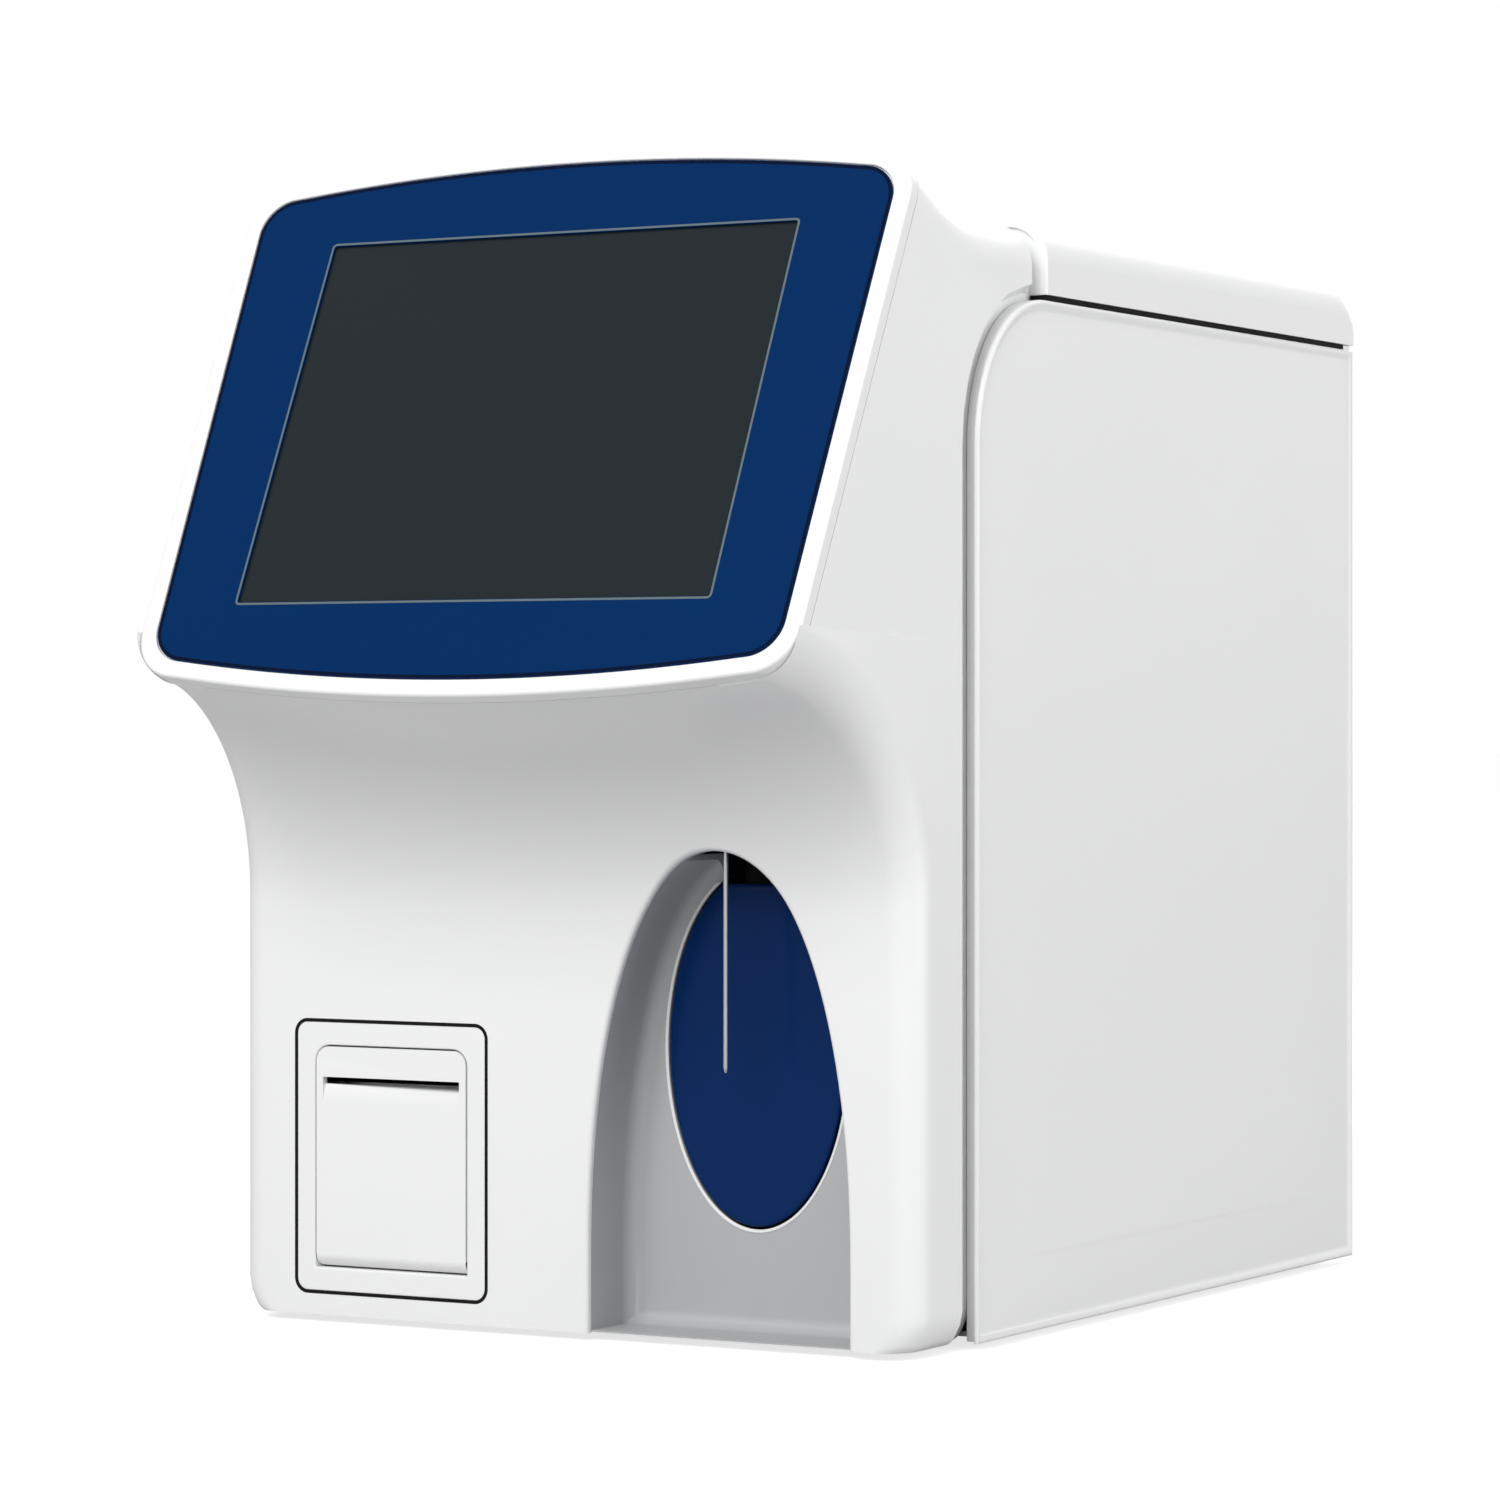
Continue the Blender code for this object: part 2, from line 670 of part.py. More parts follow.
def housing_rows():
    """Sections of the housing's outer skin, from its foot, up the face and neck, over the screen, to the cover."""
    rows = []
    up = Vector((0.0, 0.0, 1.0))
    back = Vector((0.0, 1.0, 0.0))
    for rise_share, inset_share in FOOT_CORNER_SHARES:
        z = HOUSING_CORNER_RADIUS * rise_share
        half_width = HOUSING_HALF_WIDTH - HOUSING_CORNER_RADIUS * inset_share
        front = front_arc(up * z, back, 0.0, half_width, HOUSING_CORNER_RADIUS)
        rows.append(whole_section(front, z, half_width, half_width - REVEAL_DEPTH))
    ring_bottom = [on_screen(s, t, RING_BACK) for s, t in screen_edge(-1, RING_GROW, RING_CORNER_RADIUS)]
    for index in range(NECK_STEPS):
        share = index / NECK_STEPS
        angle = math.pi / 2 * share
        middle = Vector((0.0, NECK_END.y * (1.0 - math.cos(angle)), NECK_BASE_Z + NECK_RISE * math.sin(angle)))
        inward = Vector((0.0, NECK_RISE * math.cos(angle), -NECK_END.y * math.sin(angle))).normalized()
        radius = HOUSING_CORNER_RADIUS + (RING_CORNER_RADIUS - HOUSING_CORNER_RADIUS) * share
        half_width = HOUSING_HALF_WIDTH + (ring_bottom[-1].x - HOUSING_HALF_WIDTH) * share**2
        front = front_arc(middle, inward, share**2, half_width, radius)
        travel = NECK_BASE_Z + (ring_bottom[-1].z - NECK_BASE_Z) * share
        rows.append(whole_section(front, travel, HOUSING_HALF_WIDTH, FLANGE_HALF_WIDTH))
    ring_top = [on_screen(s, t, RING_BACK) for s, t in screen_edge(1, RING_GROW, RING_CORNER_RADIUS)]
    low = ring_bottom[-1]
    high = ring_top[-1]
    last_travel = SHOULDER_CENTRE[1] + (math.pi - SHOULDER_END) * REVEAL_RADIUS
    hood_travel = SHOULDER_CENTRE[1] + (last_travel - SHOULDER_CENTRE[1]) / 2
    rows.append(whole_section(ring_bottom, low.z, HOUSING_HALF_WIDTH, FLANGE_HALF_WIDTH))
    across = len(ring_bottom) - 1
    for index in range(1, PLANE_STEPS):
        share = index / PLANE_STEPS
        side = low.lerp(high, share)
        front = [Vector((side.x * step / across, side.y, side.z)) for step in range(across + 1)]
        travel = low.z + (hood_travel - low.z) * share
        rows.append(whole_section(front, travel, HOUSING_HALF_WIDTH, FLANGE_HALF_WIDTH))
    rows.append(whole_section(ring_top, hood_travel, HOUSING_HALF_WIDTH, FLANGE_HALF_WIDTH))
    hood = ring_top[0]
    for index in range(1, HOOD_STEPS + 1):
        share = index / HOOD_STEPS
        middle = Vector((0.0, hood.y + HOOD_RUN * share, SHOULDER_Z + (hood.z - SHOULDER_Z) * (1.0 - share) ** 2))
        lean = SCREEN_TILT * (1.0 - share)
        inward = Vector((0.0, -math.sin(lean), -math.cos(lean)))
        radius = RING_CORNER_RADIUS + (COVER_SIDE_RADIUS - RING_CORNER_RADIUS) * share
        half_width = high.x + (HOUSING_HALF_WIDTH - high.x) * share
        front = front_arc(middle, inward, (1.0 - share) ** 2, half_width, radius)
        travel = hood_travel + (last_travel - hood_travel) * share * HOOD_RUN / (SHOULDER_FRONT_Y - hood.y)
        rows.append(whole_section(front, travel, HOUSING_HALF_WIDTH, FLANGE_HALF_WIDTH))
    down = -up
    for shift, inset in ((0.0, 0.0), (REVEAL_RUN, REVEAL_DEPTH), (FLANGE_LENGTH, REVEAL_DEPTH)):
        middle = Vector((0.0, SHOULDER_FRONT_Y + shift, SHOULDER_Z - inset))
        side_x = HOUSING_HALF_WIDTH - inset
        front = front_arc(middle, down, 0.0, side_x, COVER_SIDE_RADIUS - inset)
        rows.append(whole_section(front, last_travel, side_x, FLANGE_HALF_WIDTH, shift))
    return rows


def bay_outline(grow, bottom_z):
    """The bay's arch, anticlockwise from its lower right foot, grown by a margin."""
    half_width = BAY_HALF_WIDTH + grow
    rise = BAY_RISE + grow
    power = 2.0 / BAY_FULLNESS
    points = [(BAY_X + half_width, bottom_z)]
    for index in range(ROUND_STEPS + 1):
        angle = math.pi * index / ROUND_STEPS
        across = abs(math.cos(angle)) ** power * (1 if angle < math.pi / 2 else -1)
        points.append((BAY_X + half_width * across, BAY_SPRING_Z + rise * math.sin(angle) ** power))
    points.append((BAY_X - half_width, bottom_z))
    return points


def follow_face(outline, depth):
    """Outline points set back from the housing's outer face by a depth."""
    return [Vector((x, neck_front(z) + depth, z)) for x, z in outline]


def make_front_housing(materials):
    """The moulded front: lower face, neck, screen surround, hood and the flange that tucks under the covers."""
    bm = bmesh.new()
    add_rows(bm, housing_rows())
    bmesh.ops.recalc_face_normals(bm, faces=bm.faces)
    housing = solid("front_housing", bm, materials["white_shell"], smooth=True)
    wall = housing.modifiers.new("wall", "SOLIDIFY")
    wall.thickness = CASE_WALL
    wall.offset = -1.0
    wall.use_even_offset = True
    window = bmesh.new()
    half_width = LCD_WIDTH / 2 + LCD_MARGIN_X + CASE_WALL
    half_height = LCD_HEIGHT / 2 + LCD_MARGIN_Z + CASE_WALL
    plate_on_screen(window, rectangle(half_width, half_height), 0.0, -CUT_OVERRUN)
    combine(housing, "DIFFERENCE", window, "window")
    arch = bmesh.new()
    rings = (
        (2 * BAY_RIM_CHAMFER, -BAY_RIM_CHAMFER),
        (0.0, BAY_RIM_CHAMFER),
        (0.0, CUT_OVERRUN),
    )
    rows = [follow_face(bay_outline(grow, -CUT_OVERRUN), depth) for grow, depth in rings]
    add_rows(arch, rows, closed_across=True, caps=True)
    combine(housing, "DIFFERENCE", arch, "arch")
    printer_hole = bmesh.new()
    outline = rounded_rectangle(
        PRINTER_FRAME_WIDTH / 2 + PRINTER_JOINT_GAP,
        PRINTER_FRAME_HEIGHT / 2 + PRINTER_JOINT_GAP,
        PRINTER_FRAME_RADIUS + PRINTER_JOINT_GAP,
    )
    add_slab(printer_hole, moved(outline, PRINTER_X, PRINTER_Z), -CUT_OVERRUN, CUT_OVERRUN)
    combine(housing, "DIFFERENCE", printer_hole, "printer_hole")


def make_screen(materials):
    """Ring, blue overlay, touch glass, display module, the pan that holds it, and its driver board."""
    ring = bmesh.new()
    outer = screen_outline(RING_GROW, RING_CORNER_RADIUS)
    inner = screen_outline(OVERLAY_GAP, OVERLAY_CORNER_RADIUS)
    ledge = screen_outline(-RING_LEDGE_WIDTH, OVERLAY_CORNER_RADIUS - RING_LEDGE_WIDTH)
    overlay_back = -(OVERLAY_RECESS + OVERLAY_THICKNESS)
    edge = RING_SOFT_EDGE
    soft = screen_outline(RING_GROW - edge / 2, RING_CORNER_RADIUS - edge / 2)
    plan = (
        (soft, 0.0),
        (outer, -edge),
        (outer, -RING_THICKNESS),
        (ledge, -RING_THICKNESS),
        (ledge, overlay_back - FIT_GAP),
        (inner, overlay_back - FIT_GAP),
        (inner, 0.0),
    )
    rows = [[on_screen(s, t, n) for s, t in outline] for outline, n in plan]
    add_rows(ring, rows, closed_across=True, closed_along=True)
    solid("screen_ring", ring, materials["white_shell"], smooth=True)

    overlay = bmesh.new()
    plate_on_screen(overlay, screen_outline(0.0, OVERLAY_CORNER_RADIUS), -OVERLAY_RECESS, overlay_back)
    panel = solid("screen_overlay", overlay, materials["blue_overlay"])
    window = bmesh.new()
    plate_on_screen(window, rectangle(LCD_WIDTH / 2, LCD_HEIGHT / 2), CUT_OVERRUN, -CUT_OVERRUN)
    combine(panel, "DIFFERENCE", window, "window")

    glass = bmesh.new()
    glass_front = overlay_back - FIT_GAP
    glass_back = glass_front - GLASS_THICKNESS
    sheet = rectangle(LCD_WIDTH / 2 + GLASS_MARGIN, LCD_HEIGHT / 2 + GLASS_MARGIN)
    plate_on_screen(glass, sheet, glass_front, glass_back)
    solid("touch_glass", glass, materials["dark_glass"])

    module = bmesh.new()
    module_front = glass_back - FIT_GAP
    module_back = module_front - LCD_THICKNESS
    half_width = LCD_WIDTH / 2 + LCD_MARGIN_X
    half_height = LCD_HEIGHT / 2 + LCD_MARGIN_Z
    plate_on_screen(module, rectangle(half_width, half_height), module_front, module_back)
    solid("display_module", module, materials["plated_sheet"])

    flange_front = RING_BACK - CASE_WALL - FIT_GAP
    pan_floor = module_back - FIT_GAP
    inner_edge = rectangle(half_width + FIT_GAP, half_height + FIT_GAP)
    outer_edge = rectangle(half_width + FIT_GAP + PAN_WALL, half_height + FIT_GAP + PAN_WALL)
    rim = CASE_WALL + PAN_FLANGE_WIDTH
    flange_edge = rectangle(half_width + rim, half_height + rim)
    plan = (
        (outer_edge, pan_floor - PAN_WALL),
        (outer_edge, flange_front - PAN_WALL),
        (flange_edge, flange_front - PAN_WALL),
        (flange_edge, flange_front),
        (inner_edge, flange_front),
        (inner_edge, pan_floor),
    )
    pan = bmesh.new()
    rows = [[on_screen(s, t, n) for s, t in outline] for outline, n in plan]
    add_rows(pan, rows, closed_across=True, caps=True)
    solid("display_pan", pan, materials["plated_sheet"])

    board = bmesh.new()
    board_front = pan_floor - PAN_WALL - FIT_GAP - BOARD_STANDOFF
    plate_on_screen(board, rectangle(LCD_WIDTH / 3, LCD_HEIGHT / 3), board_front, board_front - BOARD_THICKNESS)
    driver = solid("display_board", board, materials["board_green"])
    posts = bmesh.new()
    for side_s in (-1, 1):
        for side_t in (-1, 1):
            s = side_s * (LCD_WIDTH / 3 - BOARD_STANDOFF)
            t = side_t * (LCD_HEIGHT / 3 - BOARD_STANDOFF)
            outline = [(s + u, t + v) for u, v in rectangle(BOARD_STANDOFF / 2, BOARD_STANDOFF / 2)]
            plate_on_screen(posts, outline, board_front + BOARD_STANDOFF, board_front - BOARD_THICKNESS / 2)
    combine(driver, "UNION", posts, "standoffs")


def panel_outline(inset):
    """Side panel in Y and Z: straight front, round shoulder, level top, upright back."""
    front = PANEL_FRONT_Y + inset
    top = PANEL_TOP_Z - inset
    rear = BODY_DEPTH - inset
    shoulder = arc(SHOULDER_CENTRE, PANEL_SHOULDER_RADIUS - inset, math.pi, math.pi / 2, 2 * CORNER_STEPS + 2)
    return [(front, inset)] + shoulder + [(rear, top), (rear, inset)]


def make_side_panel(name, side, materials):
    """A shallow tray: an outer face with softened edges and a rim turned in towards the base."""
    inner_x = HALF_BODY - PANEL_RIM_DEPTH
    edge = PANEL_EDGE_RADIUS
    plan = (
        (edge, HALF_BODY),
        (edge / 4, HALF_BODY - edge / 4),
        (0.0, HALF_BODY - edge),
        (0.0, inner_x),
        (PANEL_WALL, inner_x),
        (PANEL_WALL, HALF_BODY - PANEL_WALL),
    )
    bm = bmesh.new()
    rows = [[Vector((side * x, y, z)) for y, z in panel_outline(inset)] for inset, x in plan]
    add_rows(bm, rows, closed_across=True, caps=True)
    panel = solid(name, bm, materials["white_shell"], smooth=True)
    tab = bmesh.new()
    ends = sorted((side * (inner_x + FIT_GAP), side * (HALF_BODY - SEAL_SETBACK)))
    low = (ends[0], BODY_DEPTH - SEAM_REAR_STOP, PANEL_TOP_Z - PANEL_WALL / 2)
    high = (ends[1], BODY_DEPTH - PANEL_EDGE_RADIUS, PANEL_TOP_Z + SEAM_HEIGHT - FIT_GAP)
    add_box(tab, low, high)
    combine(panel, "UNION", tab, "seam_stop")


def cover_section(y, share, inset, foot_z):
    """The top cover across, from its right edge to its left, with its height scaled by a share."""
    seam = PANEL_TOP_Z + SEAM_HEIGHT
    centre = (HALF_BODY - COVER_SIDE_RADIUS, BODY_HEIGHT - COVER_SIDE_RADIUS)
    curve = arc(centre, COVER_SIDE_RADIUS - inset, 0.0, math.pi / 2, CORNER_STEPS + 1)
    half = [Vector((HALF_BODY - inset, y, foot_z))]
    half += [Vector((x, y, seam + (z - seam) * share)) for x, z in curve]
    return half + [Vector((-point.x, point.y, point.z)) for point in reversed(half)]


def cover_loft(front_y, inset, foot_z):
    """A closed loft of the cover, set in by an amount, that rounds down over its back edge."""
    height = BODY_HEIGHT - PANEL_TOP_Z - SEAM_HEIGHT - inset
    radius = COVER_REAR_RADIUS - inset
    rear = BODY_DEPTH - inset
    rows = [cover_section(front_y, 1.0, inset, foot_z)]
    for index in range(CORNER_STEPS + 2):
        angle = math.pi / 2 * index / (CORNER_STEPS + 1)
        drop = radius * (1.0 - math.cos(angle))
        rows.append(cover_section(rear - radius * (1.0 - math.sin(angle)), 1.0 - drop / height, inset, foot_z))
    bm = bmesh.new()
    add_rows(bm, rows, closed_across=True, caps=True)
    return bm


def make_top_cover(materials):
    """The lid over the body: round along its sides and over its back edge, open below and in front."""
    seam = PANEL_TOP_Z + SEAM_HEIGHT
    cover = solid("top_cover", cover_loft(COVER_FRONT_Y, 0.0, seam), materials["white_shell"], smooth=True)
    hollow = cover_loft(COVER_FRONT_Y - CUT_OVERRUN, CASE_WALL, seam - CUT_OVERRUN)
    combine(cover, "DIFFERENCE", hollow, "hollow")


def make_cover_seal(materials):
    """The dark strip in the seam, along both sides and across the back."""
    outer_x = HALF_BODY - SEAL_SETBACK
    inner_x = outer_x - SEAL_REACH
    front = COVER_FRONT_Y + FIT_GAP
    rear = BODY_DEPTH - SEAM_REAR_STOP - FIT_GAP
    band = rear - SEAL_REACH
    outline = [
        (outer_x, front),
        (outer_x, rear),
        (-outer_x, rear),
        (-outer_x, front),
        (-inner_x, front),
        (-inner_x, band),
        (inner_x, band),
        (inner_x, front),
    ]
    levels = (PANEL_TOP_Z + FIT_GAP, PANEL_TOP_Z + SEAM_HEIGHT - FIT_GAP)
    bm = bmesh.new()
    add_rows(bm, [[Vector((x, y, z)) for x, y in outline] for z in levels], closed_across=True, caps=True)
    solid("cover_seal", bm, materials["rubber"])


def add_cup(bm, outer, inner, y_front, y_floor, y_back):
    """A cup open at its front: outer and inner outlines of as many points, and the depths of rim, floor and back."""
    rows = [upright(outer, y_back), upright(outer, y_front), upright(inner, y_front), upright(inner, y_floor)]
    add_rows(bm, rows, closed_across=True, caps=True)


def make_base(materials):
    """Base plate between the side panels, with a notch for the sampling bay, and its four feet."""
    narrow = HOUSING_HALF_WIDTH - BASE_SIDE_INSET
    wide = FLANGE_HALF_WIDTH
    step_y = REVEAL_FRONT_Y + FLANGE_LENGTH + CASE_WALL / 2
    notch = BAY_HALF_WIDTH + BAY_WALL + BAY_NOTCH_GAP
    notch_y = BAY_DEPTH + BAY_WALL + BAY_NOTCH_GAP
    rear = BODY_DEPTH - REAR_RECESS - REAR_THICKNESS - BASE_REAR_GAP
    outline = [
        (-narrow, BASE_FRONT_Y),
        (BAY_X - notch, BASE_FRONT_Y),
        (BAY_X - notch, notch_y),
        (BAY_X + notch, notch_y),
        (BAY_X + notch, BASE_FRONT_Y),
        (narrow, BASE_FRONT_Y),
        (narrow, step_y),
        (wide, step_y),
        (wide, rear),
        (-wide, rear),
        (-wide, step_y),
        (-narrow, step_y),
    ]
    levels = (BASE_HEIGHT, BASE_HEIGHT + BASE_THICKNESS)
    bm = bmesh.new()
    add_rows(bm, [[Vector((x, y, z)) for x, y in outline] for z in levels], closed_across=True, caps=True)
    solid("base_plate", bm, materials["plated_sheet"])
    foot_height = FOOT_HEIGHT + BASE_HEIGHT - FIT_GAP
    for depth_name, y in (("front", FOOT_FRONT_Y), ("back", BODY_DEPTH - FOOT_INSET)):
        for side_name, side in (("left", -1), ("right", 1)):
            foot = bmesh.new()
            base = (side * (HALF_BODY - FOOT_INSET), y, -FOOT_HEIGHT)
            add_rod(foot, base, "Z", foot_height, FOOT_RADIUS - FOOT_TAPER, FOOT_RADIUS)
            solid(f"foot_{depth_name}_{side_name}", foot, materials["rubber"])


def make_sample_bay(materials):
    """The arched tub behind the opening, with the probe's slot in its ceiling and the key's hole in its back."""
    outer = bay_outline(BAY_WALL, FIT_GAP)
    inner = bay_outline(0.0, FIT_GAP + BAY_WALL)
    back = BAY_DEPTH + BAY_WALL
    rows = [
        upright(outer, back),
        [Vector((x, neck_front(z) + neck_wall_depth(z) + FIT_GAP, z)) for x, z in outer],
        [Vector((x, neck_front(z) + neck_wall_depth(z) + FIT_GAP, z)) for x, z in inner],
        upright(inner, BAY_DEPTH),
    ]
    bm = bmesh.new()
    add_rows(bm, rows, closed_across=True, caps=True)
    bay = solid("sample_bay", bm, materials["bay_grey"])
    slot = bmesh.new()
    low = (BAY_X - SLOT_HALF_WIDTH, SLOT_FRONT_Y, SLOT_SILL_Z)
    high = (BAY_X + SLOT_HALF_WIDTH, BAY_DEPTH + CUT_OVERRUN, SLOT_SILL_Z + CUT_OVERRUN)
    add_box(slot, low, high)
    combine(bay, "DIFFERENCE", slot, "probe_slot")
    hole = bmesh.new()
    outline = key_outline(KEY_GAP, SLOT_SILL_Z + CUT_OVERRUN)
    add_slab(hole, outline, BAY_DEPTH - CASE_WALL, BAY_DEPTH + CUT_OVERRUN)
    combine(bay, "DIFFERENCE", hole, "key_hole")


def key_outline(grow, top_z):
    """The oval of the key, grown by a margin and cut level at a height."""
    outline = []
    for index in range(2 * ROUND_STEPS):
        angle = math.pi * index / ROUND_STEPS
        x = BAY_X + (KEY_HALF_WIDTH + grow) * math.cos(angle)
        z = KEY_Z + (KEY_HALF_HEIGHT + grow) * math.sin(angle)
        outline.append((x, min(z, top_z)))
    return outline


def make_aspirate_key(materials):
    """The oval key with two guide stems, the bracket they slide in, and the switch the key presses."""
    front = BAY_DEPTH - KEY_PROUD
    crown_edge = KEY_CROWN * 2
    top = SLOT_SILL_Z - FIT_GAP
    rows = [
        upright(key_outline(-crown_edge, top - crown_edge), front),
        upright(key_outline(0.0, top), front + KEY_CROWN),
        upright(key_outline(0.0, top), front + KEY_THICKNESS),
    ]
    bm = bmesh.new()
    add_rows(bm, rows, closed_across=True, caps=True)
    key = solid("aspirate_key", bm, materials["blue_overlay"], pivot=(BAY_X, front, KEY_Z))
    stems = bmesh.new()
    for side in (-1, 1):
        base = (BAY_X, front + KEY_THICKNESS / 2, KEY_Z + side * KEY_STEM_RISE)
        add_rod(stems, base, "Y", KEY_THICKNESS / 2 + KEY_STEM_LENGTH, KEY_STEM_RADIUS)
    combine(key, "UNION", stems, "stems")

    bm = bmesh.new()
    low = (BAY_X - BRACKET_HALF_WIDTH, BRACKET_Y, KEY_Z - BRACKET_HALF_HEIGHT)
    high = (BAY_X + BRACKET_HALF_WIDTH, BRACKET_Y + BRACKET_THICKNESS, KEY_Z + BRACKET_HALF_HEIGHT)
    add_box(bm, low, high)
    bracket = solid("key_bracket", bm, materials["plated_sheet"])
    legs = bmesh.new()
    for side in (-1, 1):
        near = BAY_X + side * BRACKET_HALF_WIDTH
        far = near - side * BRACKET_THICKNESS * 5 / 4
        low = (min(near, far), BAY_DEPTH + BAY_WALL + FIT_GAP, KEY_Z - BRACKET_LEG_HALF_HEIGHT)
        high = (max(near, far), BRACKET_Y + BRACKET_THICKNESS, KEY_Z + BRACKET_LEG_HALF_HEIGHT)
        add_box(legs, low, high)
    combine(bracket, "UNION", legs, "legs")
    holes = bmesh.new()
    for side in (-1, 1):
        base = (BAY_X, BRACKET_Y - BRACKET_THICKNESS, KEY_Z + side * KEY_STEM_RISE)
        add_rod(holes, base, "Y", BRACKET_THICKNESS * 3, KEY_STEM_RADIUS + HINGE_CLEARANCE)
    combine(bracket, "DIFFERENCE", holes, "stem_holes")

    back = BRACKET_Y - FIT_GAP
    low = (BAY_X - SWITCH_WIDTH / 2, back - SWITCH_DEPTH, KEY_Z - SWITCH_HEIGHT / 2)
    high = (BAY_X + SWITCH_WIDTH / 2, back, KEY_Z + SWITCH_HEIGHT / 2)
    switch = box_solid("key_switch", low, high, materials["black_plastic"])
    nub = bmesh.new()
    base = (BAY_X, back - SWITCH_DEPTH - SWITCH_NUB_LENGTH, KEY_Z)
    add_rod(nub, base, "Y", SWITCH_NUB_LENGTH + SWITCH_DEPTH / 2, SWITCH_HEIGHT / 5)
    combine(switch, "UNION", nub, "nub")


def make_lift_frame(materials):
    """The sheet frame of the probe lift: foot, back, lower shelf with the probe guide, and upper shelf."""
    half = FRAME_WIDTH / 2
    foot_z = BASE_HEIGHT + BASE_THICKNESS + FIT_GAP
    top = upper_shelf_z() + SHELF_THICKNESS + MOTOR_HEIGHT / 3
    bm = bmesh.new()
    add_box(bm, (BAY_X - half, FRAME_BACK_Y, foot_z), (BAY_X + half, FRAME_BACK_Y + FRAME_PLATE, top))
    frame = solid("lift_frame", bm, materials["plated_sheet"])
    shelves = bmesh.new()
    overlap = FRAME_PLATE / 2
    shelf_half = half - FRAME_PLATE
    shelf_front = LIFT_Y - CARRIAGE_DEPTH / 2 - CARRIAGE_CLEARANCE
    foot_back = FRAME_BACK_Y + FRAME_PLATE + FRAME_FOOT_LENGTH
    add_box(shelves, (BAY_X - half, FRAME_BACK_Y + overlap, foot_z), (BAY_X + half, foot_back, foot_z + FRAME_PLATE))
    for z, front in ((SHELF_Z, shelf_front), (upper_shelf_z(), LIFT_Y - MOTOR_SIZE / 2)):
        low = (BAY_X - shelf_half, front, z)
        high = (BAY_X + shelf_half, FRAME_BACK_Y + overlap, z + SHELF_THICKNESS)
        add_box(shelves, low, high)
    combine(frame, "UNION", shelves, "shelves")
    guide = bmesh.new()
    guide_half = WIPE_WIDTH / 2 + SHELF_THICKNESS / 4
    low = (BAY_X - guide_half, PROBE_Y - WIPE_WIDTH / 2, SHELF_Z)
    high = (BAY_X + guide_half, shelf_front + SHELF_THICKNESS, SHELF_Z + SHELF_THICKNESS)
    add_box(guide, low, high)
    combine(frame, "UNION", guide, "guide_arm")
    holes = bmesh.new()
    base = (BAY_X, PROBE_Y, SHELF_Z - CUT_OVERRUN / 2)
    add_rod(holes, base, "Z", CUT_OVERRUN * 2, PROBE_RADIUS + HINGE_CLEARANCE)
    base = (BAY_X, LIFT_Y, SHELF_Z - CUT_OVERRUN)
    length = upper_shelf_z() - SHELF_Z + 2 * CUT_OVERRUN
    add_rod(holes, base, "Z", length, SCREW_RADIUS * SCREW_JOURNAL_SHARE + HINGE_CLEARANCE)
    combine(frame, "DIFFERENCE", holes, "shaft_holes")


def upper_shelf_z():
    """Height of the shelf that carries the lift motor."""
    return SHELF_Z + SHELF_THICKNESS + CARRIAGE_CLEARANCE + CARRIAGE_HEIGHT + LIFT_TRAVEL + CARRIAGE_CLEARANCE * 3 / 2


